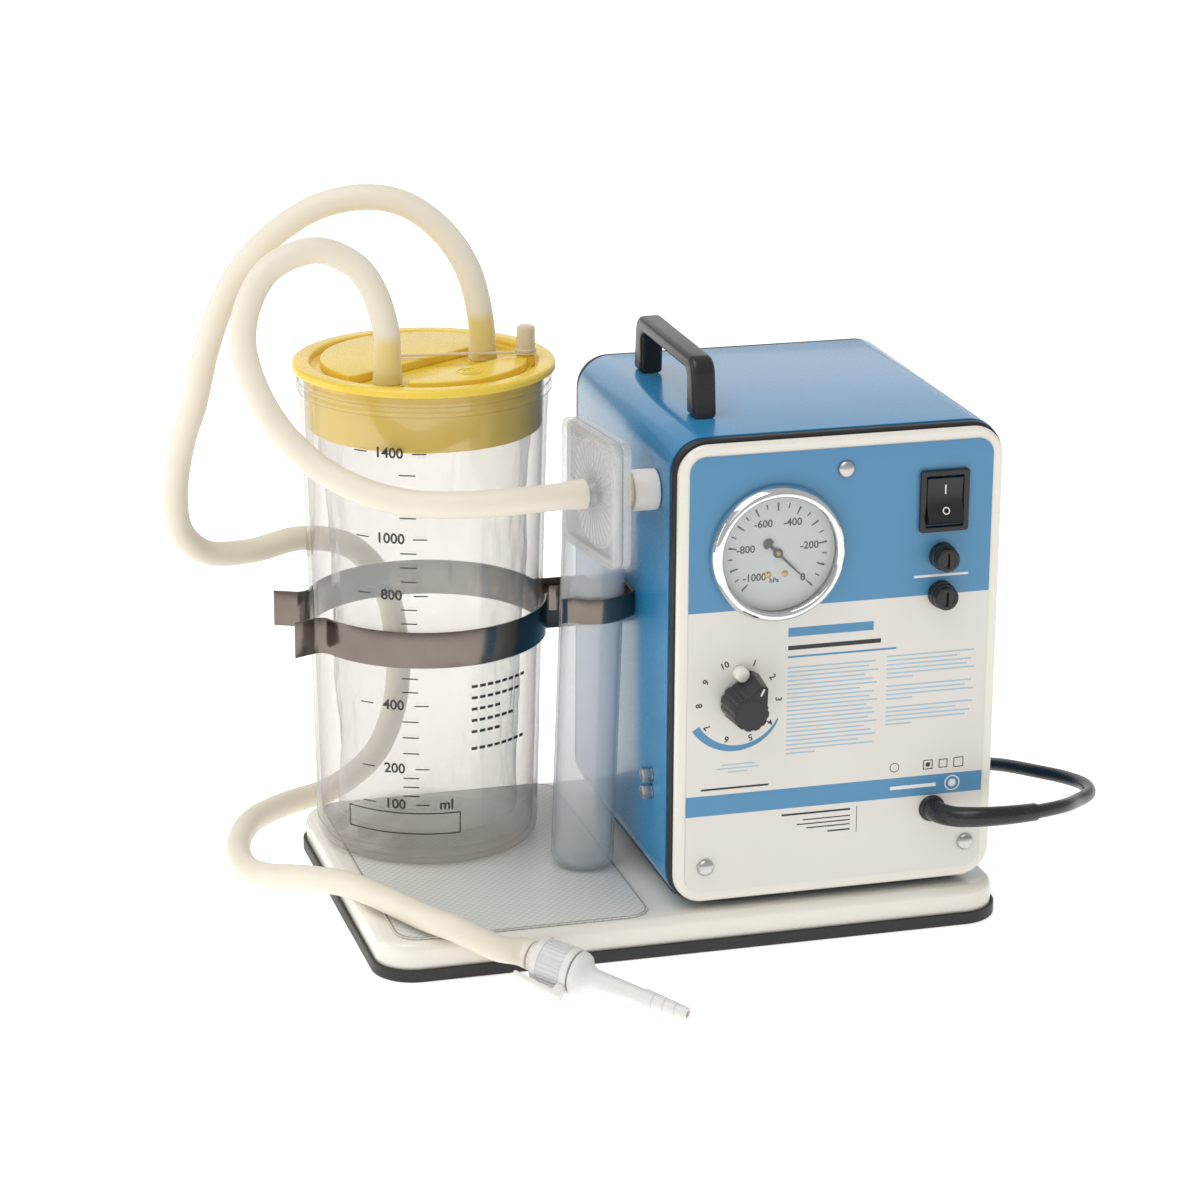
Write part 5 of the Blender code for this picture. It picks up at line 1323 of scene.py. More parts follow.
@dataclass
class PumpCase(SubAssembly):
    """The blue sleeve, the gaskets and both panels, with bolts and the carrying handle."""

    corner: float = 17.0 * MM
    wall: float = 1.2 * MM
    gasket_inset: float = 0.5 * MM
    gasket_width: float = 8.0 * MM
    panel_inset: float = 1.75 * MM
    panel_round: float = 2.2 * MM
    handle_foot: float = 13.0 * MM
    handle_leg: float = 11.0 * MM
    handle_bar: float = 8.0 * MM
    handle_span: float = 104.0 * MM
    handle_top_span: float = 98.5 * MM
    handle_round: float = 2.8 * MM

    def build(self) -> None:
        """Build the sleeve, the gaskets, the panels, the bolts and the handle."""
        low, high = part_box("case_shell")
        middle = (low + high) / 2
        plane = placed(Facing.FRONT, (middle.x, 0.0, middle.z))
        size = (high.x - low.x, high.z - low.z)

        def outline(inset: float) -> Outline:
            """The sleeve's outline, drawn in by an inset."""
            return rounded(size[0] - 2 * inset, size[1] - 2 * inset, self.corner - inset, 16)

        sleeve = cut_out(
            "case_sleeve", [outline(0.0), outline(self.wall)], -high.y, -low.y, plane, 0.3 * MM
        )
        self.keep(sleeve, BLUE_ENAMEL, "case_shell")
        for side in ("front", "rear"):
            near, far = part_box(f"{side}_gasket")
            ring = [outline(self.gasket_inset), outline(self.gasket_inset + self.gasket_width)]
            gasket = cut_out(f"{side}_gasket_ring", ring, -far.y, -near.y, plane, 1.4 * MM)
            self.keep(gasket, BLACK_RUBBER, f"{side}_gasket")
            near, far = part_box(f"{side}_panel")
            panel = cut_out(
                f"{side}_panel_plate",
                [outline(self.panel_inset)],
                -far.y,
                -near.y,
                plane,
                self.panel_round,
                6,
            )
            self.keep(panel, CREAM_ENAMEL, f"{side}_panel", smooth=50.0)
        for node in ("tie_bolt_top", "tie_bolt_left", "tie_bolt_right"):
            self.tie_bolt(node)
        for node in ("case_bolt_upper", "case_bolt_lower"):
            self.hex_bolt(node)
        self.handle()
        self.dress(BLACK_RUBBER, "case_pad")

    def tie_bolt(self, node: str) -> None:
        """Build a domed tie-bolt head at the front and at the rear.

        Args:
            node: the frame's node.
        """
        low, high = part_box(node)
        middle = (low + high) / 2
        radius = (high.x - low.x) / 2
        rise = 2.4 * MM
        dome = [(0.0, -low.y), *[
            (radius * math.sin(turn), -low.y - rise + rise * math.cos(turn))
            for turn in [math.radians(a) for a in range(12, 91, 13)]
        ]]
        foot = -low.y - rise - 0.1 * MM
        rear = -high.y + rise
        profile = [
            *dome,
            (radius, foot),
            (0.0, foot),
        ]
        plane = placed(Facing.FRONT, (middle.x, 0.0, middle.z))
        front = lathed(f"{node}_front_head", profile, plane, 40)
        back = lathed(
            f"{node}_rear_head",
            [(0.0, -high.y), (radius * 0.8, -high.y), (radius, rear - rise * 0.6), (radius, rear), (0.0, rear)],
            plane,
            40,
        )
        self.keep(joined(f"{node}_heads", [front, back]), FASTENER_STEEL, node)

    def hex_bolt(self, node: str) -> None:
        """Build a hexagon head on the left wall, over a thin washer.

        Args:
            node: the frame's node.
        """
        low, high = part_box(node)
        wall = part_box("case_shell")[0].x
        middle = (low + high) / 2
        plane = placed(Facing.LEFT, (0.0, middle.y, middle.z))
        radius = (high.z - low.z) / 2
        head = wall_depth = -wall + HAIR
        hexagon = circle(radius, steps=6)
        washer = lathed(
            f"{node}_washer",
            [(0.0, wall_depth), (radius, wall_depth), (radius, head + 0.7 * MM), (0.0, head + 0.7 * MM)],
            plane,
            32,
        )
        nut = cut_out(f"{node}_nut", [hexagon], head + 0.7 * MM, -low.x, plane, 0.35 * MM, 2)
        self.keep(joined(f"{node}_head", [washer, nut]), FASTENER_STEEL, node)

    def handle(self) -> None:
        """Build the moulded handle: tapered legs under a flat bar."""
        low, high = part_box("carry_handle")
        middle = (low + high) / 2
        rise = high.z - low.z
        foot, top = self.handle_span / 2, self.handle_top_span / 2
        inner_top = rise - self.handle_bar
        corners = [
            (-foot, 0.0, 0.0),
            (-top, rise, 9.0 * MM),
            (top, rise, 9.0 * MM),
            (foot, 0.0, 0.0),
            (foot - self.handle_foot, 0.0, 0.0),
            (top - self.handle_leg, inner_top, 4.0 * MM),
            (-(top - self.handle_leg), inner_top, 4.0 * MM),
            (-(foot - self.handle_foot), 0.0, 0.0),
        ]
        half = (high.x - low.x) / 2
        plane = placed(Facing.LEFT, (middle.x, middle.y, low.z))
        bar = cut_out(
            "handle_moulding", [filleted(corners)], -half, half, plane, self.handle_round, 5
        )
        self.keep(bar, BLACK_NYLON, "carry_handle")


@dataclass
class FrontLabel(SubAssembly):
    """The printed film on the front panel: fields of colour, a number ring and plain rules."""

    corner: float = 8.0 * MM
    blue_from: float = 172.5 * MM
    band: tuple[float, float] = (68.5 * MM, 79.0 * MM)
    ring_radius: float = 20.0 * MM
    figure: float = 3.3 * MM
    first_angle: float = 22.0
    angle_step: float = 35.1

    def build(self) -> None:
        """Build the film and everything printed on it."""
        low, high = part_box("front_label")
        middle = (low + high) / 2
        size = high - low
        self.face = -low.y
        plane = placed(Facing.FRONT, (middle.x, 0.0, middle.z))
        film = cut_out(
            "label_film",
            [rounded(size.x, size.z, self.corner)],
            -high.y,
            -low.y - SKIN,
            plane,
            0.08 * MM,
        )
        print_film = PanelPrint(
            "screen_printed_film",
            "printed_label",
            "dfdcd6",
            "dad7d1",
            50.0,
            0.4,
            (0.3, 0.38),
            0.003,
            ink="4f8ab2",
            top_from=self.blue_from,
            band=self.band,
        )
        self.keep(film, print_film, "front_label")
        self.front = placed(Facing.FRONT, (0.0, 0.0, 0.0))
        self.number_ring()
        self.rules()
        self.symbols()

    def bars(
        self, name: str, finish: Finish, boxes: list[tuple[float, float, float, float]]
    ) -> None:
        """Print plain bars.

        Args:
            name: the piece's name.
            finish: its ink.
            boxes: left, low, right and high edges of each bar.
        """
        outlines = [[(a, b), (c, b), (c, d), (a, d)] for a, b, c, d in boxes]
        depth = self.face - SKIN
        print_piece = cut_out(name, outlines, depth + 0.02 * MM, self.face, self.front)
        self.keep(print_piece, finish)

    def number_ring(self) -> None:
        """Print the figures 1 to 10 round the regulator, and the tapered arc below it."""
        axis = middle_of("regulator_spindle")
        figures = []
        for index in range(10):
            turn = math.radians(self.first_angle + self.angle_step * index)
            spot = (
                axis.x + self.ring_radius * math.sin(turn),
                axis.z + self.ring_radius * math.cos(turn),
            )
            figures.append(
                words(
                    f"figure_{index + 1}",
                    str(index + 1),
                    self.figure,
                    (0.0, 0.0),
                    self.front
                    @ Matrix.Translation((spot[0], spot[1], 0.0))
                    @ Matrix.Rotation(-turn, 4, "Z"),
                    self.face - SKIN / 2,
                )
            )
        self.keep(joined("regulator_figures", figures), BLACK_INK)
        steps = 28
        start, end = -150.0, -28.0
        outer = [
            (math.radians(start + (end - start) * step / steps), 23.0 * MM + 4.2 * MM * (1 - step / steps) ** 0.8)
            for step in range(steps + 1)
        ]
        inner = [(turn, 23.0 * MM - 0.8 * MM * step / steps) for step, (turn, _) in enumerate(outer)]
        arc_points = [
            (axis.x + radius * math.cos(turn), axis.z + radius * math.sin(turn))
            for turn, radius in outer + inner[::-1]
        ]
        arc_piece = cut_out(
            "strength_arc", [arc_points], self.face - SKIN + 0.02 * MM, self.face, self.front
        )
        self.keep(arc_piece, BLUE_INK)

    def rules(self) -> None:
        """Print plain rules where such a label carries its instructions."""
        drawn = [0.97, 0.9, 1.0, 0.86, 0.94, 0.99, 0.8, 0.96, 0.91, 1.0, 0.88, 0.95]
        left, pitch, thick = 44.5 * MM, 2.2 * MM, 0.75 * MM
        rules = []
        for index in range(21):
            width = 46.5 * MM * (0.32 if index == 20 else drawn[index % 12])
            top = 141.5 * MM - pitch * index
            rules.append((left, top - thick, left + width, top))
        left = 95.5 * MM
        for index in range(17):
            if index in (6, 11):
                continue
            width = 45.5 * MM * (0.3 if index in (5, 10, 16) else drawn[(index + 5) % 12])
            top = 143.0 * MM - pitch * index
            rules.append((left, top - thick, left + width, top))
        for index, width in enumerate((17.0, 21.0, 10.0)):
            top = 83.0 * MM - 1.9 * MM * index + 11.5 * MM
            rules.append((20.0 * MM - width * MM / 2, top - 0.6 * MM, 20.0 * MM + width * MM / 2, top))
        self.bars("pale_rules", PALE_INK, rules)
        self.bars(
            "title_bars",
            BLUE_INK,
            [
                (44.5 * MM, 157.0 * MM, 88.0 * MM, 161.5 * MM),
                (44.5 * MM, 146.2 * MM, 100.0 * MM, 147.2 * MM),
            ],
        )
        self.bars(
            "dark_bars",
            BLACK_INK,
            [
                (44.5 * MM, 150.2 * MM, 92.0 * MM, 152.4 * MM),
                (1.5 * MM, 81.6 * MM, 36.0 * MM, 82.6 * MM),
                (43.0 * MM, 64.6 * MM, 78.5 * MM, 65.6 * MM),
                (54.0 * MM, 61.4 * MM, 78.5 * MM, 62.0 * MM),
                (51.0 * MM, 59.2 * MM, 78.5 * MM, 59.8 * MM),
                (56.0 * MM, 57.0 * MM, 78.5 * MM, 57.6 * MM),
                (67.0 * MM, 54.2 * MM, 78.5 * MM, 55.0 * MM),
                (81.8 * MM, 52.6 * MM, 82.1 * MM, 66.4 * MM),
            ],
        )
        self.bars(
            "white_bars",
            WHITE_INK,
            [
                (108.0 * MM, 181.6 * MM, 136.0 * MM, 182.8 * MM),
                (99.0 * MM, 72.8 * MM, 123.0 * MM, 74.6 * MM),
            ],
        )

    def symbols(self) -> None:
        """Print a row of plain frames low on the label, and a disc on the band."""
        outlines: list[Outline] = []
        for x, side in ((118.5, 5.0), (126.5, 4.6), (134.5, 5.2)):
            for shrink in (0.0, 0.45):
                square = rounded((side - 2 * shrink) * MM, (side - 2 * shrink) * MM, 0.3 * MM, 2)
                outlines.append([(px + x * MM, py + 84.5 * MM) for px, py in square])
        inner = rounded(2.2 * MM, 2.2 * MM, 0.2 * MM, 2)
        outlines.append([(px + 118.5 * MM, py + 84.5 * MM) for px, py in inner])
        for radius in (2.5, 2.1):
            outlines.append(circle(radius * MM, (101.0 * MM, 84.5 * MM), 32))
        frames = cut_out(
            "plain_frames", outlines, self.face - SKIN + 0.02 * MM, self.face, self.front
        )
        self.keep(frames, BLACK_INK)
        discs = [
            circle(4.0 * MM, (131.5 * MM, 73.8 * MM), 40),
            circle(3.4 * MM, (131.5 * MM, 73.8 * MM), 40),
            circle(2.0 * MM, (131.5 * MM, 73.8 * MM), 32),
        ]
        disc = cut_out("band_disc", discs, self.face - SKIN + 0.02 * MM, self.face, self.front)
        self.keep(disc, WHITE_INK)


@dataclass
class VacuumGauge(SubAssembly):
    """The chromed vacuum gauge: bezel, window, printed dial, screws and pointer."""

    lip: float = 28.5 * MM
    scale: float = 25.0 * MM
    zero: float = -45.0
    sweep: float = 270.0
    figure: float = 3.7 * MM
    reach: float = 20.5 * MM

    def build(self) -> None:
        """Build the gauge from the bezel inwards."""
        low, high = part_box("gauge_bezel")
        axis = (low + high) / 2
        self.plane = placed(Facing.FRONT, (axis.x, 0.0, axis.z))
        radius = (high.x - low.x) / 2
        back, front = -high.y, -low.y
        profile = [
            (self.lip + 1.2 * MM, back),
            (radius - 0.4 * MM, back),
            (radius, back + 0.5 * MM),
            (radius, back + 2.4 * MM),
            (radius - 0.5 * MM, back + 3.6 * MM),
            (radius - 1.6 * MM, front - 1.0 * MM),
            (radius - 2.6 * MM, front - 0.25 * MM),
            (radius - 3.5 * MM, front),
            (radius - 4.3 * MM, front - 0.2 * MM),
            (self.lip + 0.3 * MM, front - 0.9 * MM),
            (self.lip, front - 1.6 * MM),
            (self.lip, front - 2.4 * MM),
            (self.lip + 1.2 * MM, front - 2.4 * MM),
            (self.lip + 1.2 * MM, back),
        ]
        bezel = lathed("gauge_bezel_ring", profile, self.plane, 128)
        self.keep(bezel, CHROME_PLATE, "gauge_bezel", smooth=50.0)
        low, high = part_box("gauge_lens")
        lens_radius = (high.x - low.x) / 2
        window = [
            (0.0, -low.y),
            (lens_radius - 0.3 * MM, -low.y),
            (lens_radius, -low.y - 0.3 * MM),
            (lens_radius, -high.y),
            (0.0, -high.y),
        ]
        lens = lathed("gauge_window", window, self.plane, 96)
        self.keep(lens, GAUGE_GLASS, "gauge_lens")
        low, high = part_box("gauge_dial")
        self.face = -low.y
        plate_radius = (high.x - low.x) / 2
        plate = [
            (0.0, self.face),
            (plate_radius - 0.2 * MM, self.face),
            (plate_radius, self.face - 0.2 * MM),
            (plate_radius, -high.y),
            (0.0, -high.y),
        ]
        self.keep(lathed("gauge_dial_plate", plate, self.plane, 96), DIAL_LACQUER, "gauge_dial")
        self.dial_print()
        self.screws()
        self.pointer()
        self.dress(FASTENER_STEEL, "gauge_case")
        self.dress(TURNED_BRASS, "gauge_stem")

    def spoke(self, share: float) -> float:
        """The angle of a share of the scale, anticlockwise from x.

        Args:
            share: 0 at zero, 1 at full vacuum.

        Returns:
            The angle in radians.
        """
        return math.radians(self.zero + self.sweep * share)

    def dial_print(self) -> None:
        """Print the ticks, the figures and the unit."""
        ticks = []
        for index in range(21):
            main = index % 2 == 0
            turn = self.spoke(index / 20)
            long, half = (4.2 * MM, 0.55 * MM) if main else (2.4 * MM, 0.32 * MM)
            tip = half * (0.55 if main else 1.0)
            mark = [
                (self.scale - long, -tip),
                (self.scale, -half),
                (self.scale, half),
                (self.scale - long, tip),
            ]
            ticks.append(
                [
                    (
                        x * math.cos(turn) - y * math.sin(turn),
                        x * math.sin(turn) + y * math.cos(turn),
                    )
                    for x, y in mark
                ]
            )
        marks = cut_out("gauge_ticks", ticks, self.face + 0.02 * MM, self.face + SKIN, self.plane)
        inks = [marks]
        for index, figures in enumerate(("0", "-200", "-400", "-600", "-800", "-1000")):
            turn = self.spoke(index / 5)
            away = self.scale - (6.6 if index == 0 else 8.8) * MM
            spot = (away * math.cos(turn), away * math.sin(turn) * 1.02)
            depth = self.face + 0.02 * MM + SKIN / 2
            inks.append(words(f"dial_{index}", figures, self.figure, spot, self.plane, depth))
        unit = (-1.5 * MM, -13.6 * MM)
        inks.append(
            words("dial_unit", "hPa", 2.4 * MM, unit, self.plane, self.face + 0.02 * MM + SKIN / 2)
        )
        self.keep(joined("gauge_print", inks), BLACK_INK)

    def screws(self) -> None:
        """Build the two brass screws below the centre."""
        head = lathed(
            "dial_screw",
            [
                (0.0, self.face + 0.7 * MM),
                (1.0 * MM, self.face + 0.6 * MM),
                (1.6 * MM, self.face + 0.25 * MM),
                (1.6 * MM, self.face + 0.02 * MM),
                (0.0, self.face + 0.02 * MM),
            ],
            None,
            32,
        )
        heads = []
        for index, x in enumerate((-4.6 * MM, 3.8 * MM)):
            move = self.plane @ Matrix.Translation((x, -10.6 * MM, 0.0))
            heads.append(copied(head, f"dial_screw_{index}", move))
        bpy.data.objects.remove(head)
        self.keep(joined("dial_screws", heads), TURNED_BRASS)

    def pointer(self) -> None:
        """Build the pointer: a fine blade, a hub and a flared tail, with its brass arbor."""
        low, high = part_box("gauge_pointer")
        back = self.face + 0.6 * MM
        turn = self.spoke(0.0)
        blade = [
            (self.reach, 0.0),
            (self.reach - 1.2 * MM, 0.28 * MM),
            (2.6 * MM, 0.62 * MM),
        ]
        tail = [(-3.0 * MM, 0.75 * MM), (-5.6 * MM, 1.0 * MM), *arc((-6.6 * MM, 0.0), 2.75 * MM, 68, 180, 8)]
        upper = [*blade, *arc((0.0, 0.0), 2.4 * MM, 28, 155, 8), *tail]
        outline = upper + [(x, -y) for x, y in reversed(upper[1:-1])]
        spun = self.plane @ Matrix.Rotation(turn, 4, "Z")
        needle = cut_out("pointer_blade", [outline], back, back + 0.5 * MM, spun, 0.12 * MM, 2)
        self.keep(needle, POINTER_LACQUER, "gauge_pointer", body="pointer")
        arbor = [
            (0.0, back + 1.6 * MM),
            (0.7 * MM, back + 1.5 * MM),
            (0.9 * MM, back + 1.2 * MM),
            (1.3 * MM, back + 0.8 * MM),
            (1.3 * MM, back + 0.52 * MM),
            (0.0, back + 0.52 * MM),
        ]
        self.keep(lathed("pointer_arbor", arbor, self.plane, 24), TURNED_BRASS, body="pointer")


@dataclass
class MainsSwitch(SubAssembly):
    """The rocker switch in its frame."""

    frame: float = 3.3 * MM
    nose: float = 4.2 * MM
    travel: float = 20.0
    gap: float = 0.6 * MM

    def build(self) -> None:
        """Build the frame and the rocker, with its two marks."""
        low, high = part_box("switch_housing")
        middle = (low + high) / 2
        plane = placed(Facing.FRONT, (middle.x, 0.0, middle.z))
        size = (high.x - low.x, high.z - low.z)
        face = -low.y
        seat = -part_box("front_label")[0].y + HAIR
        opening = (
            size[0] - 2 * self.frame + self.gap,
            size[1] - 2 * self.frame + 2 * self.gap,
        )
        outlines = [rounded(*size, 1.5 * MM, 6), rounded(*opening, 0.5 * MM, 3)]
        frame = cut_out("switch_frame", outlines, seat, face, plane, 0.55 * MM)
        well = cut_out(
            "switch_well",
            [rounded(opening[0] + 1.2 * MM, opening[1] + 1.2 * MM, 0.5 * MM, 3)],
            face - 13.0 * MM,
            face - 12.0 * MM,
            plane,
        )
        sides = cut_out(
            "switch_walls",
            [
                rounded(opening[0] + 1.2 * MM, opening[1] + 0.9 * MM, 0.5 * MM, 3),
                rounded(opening[0] + 0.1 * MM, opening[1] + 0.1 * MM, 0.5 * MM, 3),
            ],
            face - 12.0 * MM,
            seat - 0.1 * MM,
            plane,
        )
        self.keep(joined("switch_frame", [frame, well, sides]), BLACK_NYLON, "switch_housing")
        self.rocker(middle, face, size[1] / 2 - self.frame)

    def rocker(self, middle: Vector, face: float, reach: float) -> None:
        """Build the rocker from its side outline.

        Args:
            middle: the centre of the switch.
            face: the depth of the frame's face.
            reach: the radius of the rocker's ends about its pivot.
        """
        low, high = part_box("switch_rocker")
        half = (high.x - low.x) / 2
        flush = math.degrees(math.asin(self.nose / reach))
        back = -math.degrees(math.asin(4.0 * MM / reach))
        top = arc((0.0, 0.0), reach, 90 - back, 90 - flush, 8)
        bottom = arc((0.0, 0.0), reach, self.travel + flush - 90, self.travel + back - 90, 8)
        crease = (self.nose - 0.5 * MM, -self.nose * math.tan(math.radians(self.travel / 2)))
        hollow = [
            (self.nose - 0.35 * MM, reach * 0.45),
            crease,
            (
                crease[0] + 2.0 * MM,
                -reach * 0.42,
            ),
        ]
        outline = [*top, *hollow, *bottom]
        pivot = (middle.x, -(face - self.nose), middle.z)
        body = cut_out(
            "switch_key", [outline], -half, half, placed(Facing.LEFT, pivot), 0.5 * MM, 3
        )
        self.keep(body, BLACK_NYLON, "switch_rocker", body="rocker")
        plane = placed(Facing.FRONT, (middle.x, 0.0, middle.z))
        bar = [(-0.35 * MM, 3.6 * MM), (0.35 * MM, 3.6 * MM), (0.35 * MM, 8.2 * MM), (-0.35 * MM, 8.2 * MM)]
        one = cut_out("switch_mark_one", [bar], face + 0.02 * MM, face + SKIN, plane)
        tilt = Matrix.Translation(pivot) @ Matrix.Rotation(math.radians(-self.travel), 4, "X")
        ring = [circle(1.9 * MM, (0.0, -6.2 * MM), 32), circle(1.3 * MM, (0.0, -6.2 * MM), 32)]
        zero = cut_out(
            "switch_mark_ring",
            ring,
            self.nose + 0.02 * MM,
            self.nose + SKIN,
            tilt @ Facing.FRONT.matrix(),
        )
        marks = joined("switch_marks", [one, zero])
        self.keep(marks, WHITE_INK, body="rocker")


@dataclass
class FuseHolders(SubAssembly):
    """Two panel fuse holders with slotted caps."""

    slot: tuple[float, float] = (1.4 * MM, 7.0 * MM)

    def build(self) -> None:
        """Build both holders and both caps."""
        for side in ("upper", "lower"):
            self.holder(side)

    def holder(self, side: str) -> None:
        """Build one holder's flange and its cap.

        Args:
            side: which holder.
        """
        low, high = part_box(f"fuse_holder_{side}")
        middle = (low + high) / 2
        plane = placed(Facing.FRONT, (middle.x, 0.0, middle.z))
        seat = -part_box("front_label")[0].y + HAIR
        front = -low.y
        radius = (high.x - low.x) / 2
        flange = [
            (0.0, seat),
            (radius, seat),
            (radius, front - 0.6 * MM),
            (radius - 0.2 * MM, front - 0.2 * MM),
            (radius - 0.6 * MM, front),
            (radius - 1.6 * MM, front),
            (0.0, front),
        ]
        self.keep(
            lathed(f"fuse_flange_{side}", flange, plane, 64), BLACK_NYLON, f"fuse_holder_{side}"
        )
        low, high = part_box(f"fuse_cap_{side}")
        back, tip = front + HAIR, -low.y
        wide, narrow = radius, radius * 0.88
        body = [
            (0.0, back),
            (wide - 0.2 * MM, back),
            (wide, back + 0.3 * MM),
            (wide - 0.1 * MM, back + 2.2 * MM),
            (wide - 0.7 * MM, back + 2.5 * MM),
            (wide - 0.7 * MM, back + 3.0 * MM),
            (narrow + 0.2 * MM, back + 3.3 * MM),
            (narrow, tip - 0.7 * MM),
            (narrow - 0.3 * MM, tip - 0.2 * MM),
            (narrow - 0.8 * MM, tip),
            (3.9 * MM, tip),
            (3.7 * MM, tip - 0.35 * MM),
            (0.0, tip - 0.35 * MM),
        ]
        cap = lathed(f"fuse_cap_{side}_body", body, plane, 64)
        width, height = self.slot
        wedge = rounded(width, height, 0.6 * MM, 4)
        cutter = cut_out("slot_cutter", [wedge], tip - 1.8 * MM, tip + 1.0 * MM, plane)
        with_modifier(cap, "BOOLEAN", operation="DIFFERENCE", object=cutter, solver="EXACT")
        bpy.data.objects.remove(cutter)
        self.keep(cap, BLACK_NYLON, f"fuse_cap_{side}", body=f"{side}_fuse_cap")


@dataclass
class RegulatorKnob(SubAssembly):
    """The fluted pointer knob of the vacuum regulator and its white stop peg."""

    body: str = "regulator"
    nose_reach: float = 16.4 * MM
    nose_half: float = 2.5 * MM
    taper: float = 0.885
    turn: float = -26.0
    flutes: int = 9

    def build(self) -> None:
        """Build the knob, its cap, its index line and the stop peg."""
        axis = middle_of("regulator_spindle")
        low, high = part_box("regulator_knob")
        back, tip = -high.y, -low.y
        plane = placed(Facing.FRONT, (axis.x, 0.0, axis.z)) @ Matrix.Rotation(
            math.radians(self.turn), 4, "Z"
        )
        radius = 9.9 * MM
        points: Outline = []
        flare = math.degrees(math.acos(radius / self.nose_reach)) * 0.72
        points += [(self.nose_half * -0.9, self.nose_reach), (self.nose_half * 0.9, self.nose_reach)]
        span = 360.0 - 2 * flare
        steps = 180
        for step in range(steps + 1):
            angle = 90.0 - flare - span * step / steps
            share = step / steps
            wave = math.cos(2 * math.pi * self.flutes * share)
            depth = 0.55 * MM * max(0.0, -wave) ** 0.6 if 0.04 < share < 0.96 else 0.0
            turn = math.radians(angle)
            points.append(((radius - depth) * math.cos(turn), (radius - depth) * math.sin(turn)))
        knob = cut_out("knob_moulding", [points], back, tip, plane, 0.7 * MM, 4)
        only(knob)
        inverse = plane.inverted()
        for vertex in knob.data.vertices:
            local = inverse @ vertex.co
            share = (local.z - back) / (tip - back)
            shrink = 1.0 - (1.0 - self.taper) * share
            vertex.co = plane @ Vector((local.x * shrink, local.y * shrink, local.z))
        self.keep(knob, BLACK_NYLON, "regulator_knob")
        low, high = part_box("regulator_knob_cap")
        cap_radius = (high.x - low.x) / 2
        cap = [
            (0.0, -low.y),
            (cap_radius - 0.5 * MM, -low.y),
            (cap_radius, -low.y - 0.4 * MM),
            (cap_radius, tip + 0.02 * MM),
            (0.0, tip + 0.02 * MM),
        ]
        self.keep(lathed("knob_cap_disc", cap, plane, 64), BLACK_NYLON, "regulator_knob_cap")
        line = [
            (-0.4 * MM, self.nose_reach * self.taper - 4.6 * MM),
            (0.4 * MM, self.nose_reach * self.taper - 4.6 * MM),
            (0.4 * MM, self.nose_reach * self.taper - 0.7 * MM),
            (-0.4 * MM, self.nose_reach * self.taper - 0.7 * MM),
        ]
        index = cut_out("knob_index_line", [line], tip + 0.02 * MM, tip + SKIN, plane)
        self.keep(index, WHITE_INK)
        low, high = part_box("knob_stop")
        middle = (low + high) / 2
        peg_radius = (high.x - low.x) / 2
        seat = -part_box("front_label")[0].y + HAIR
        peg = [
            (0.0, seat),
            (peg_radius, seat),
            (peg_radius - 0.1 * MM, -low.y - 1.6 * MM),
            (peg_radius - 0.5 * MM, -low.y - 0.6 * MM),
            (peg_radius - 1.4 * MM, -low.y - 0.1 * MM),
            (0.0, -low.y),
        ]
        spot = placed(Facing.FRONT, (middle.x, 0.0, middle.z))
        stop = lathed("stop_peg", peg, spot, 40)
        self.keep(stop, WHITE_ACETAL, "knob_stop", body="machine")
        self.dress(TURNED_BRASS, "regulator_spindle", "regulator_body")


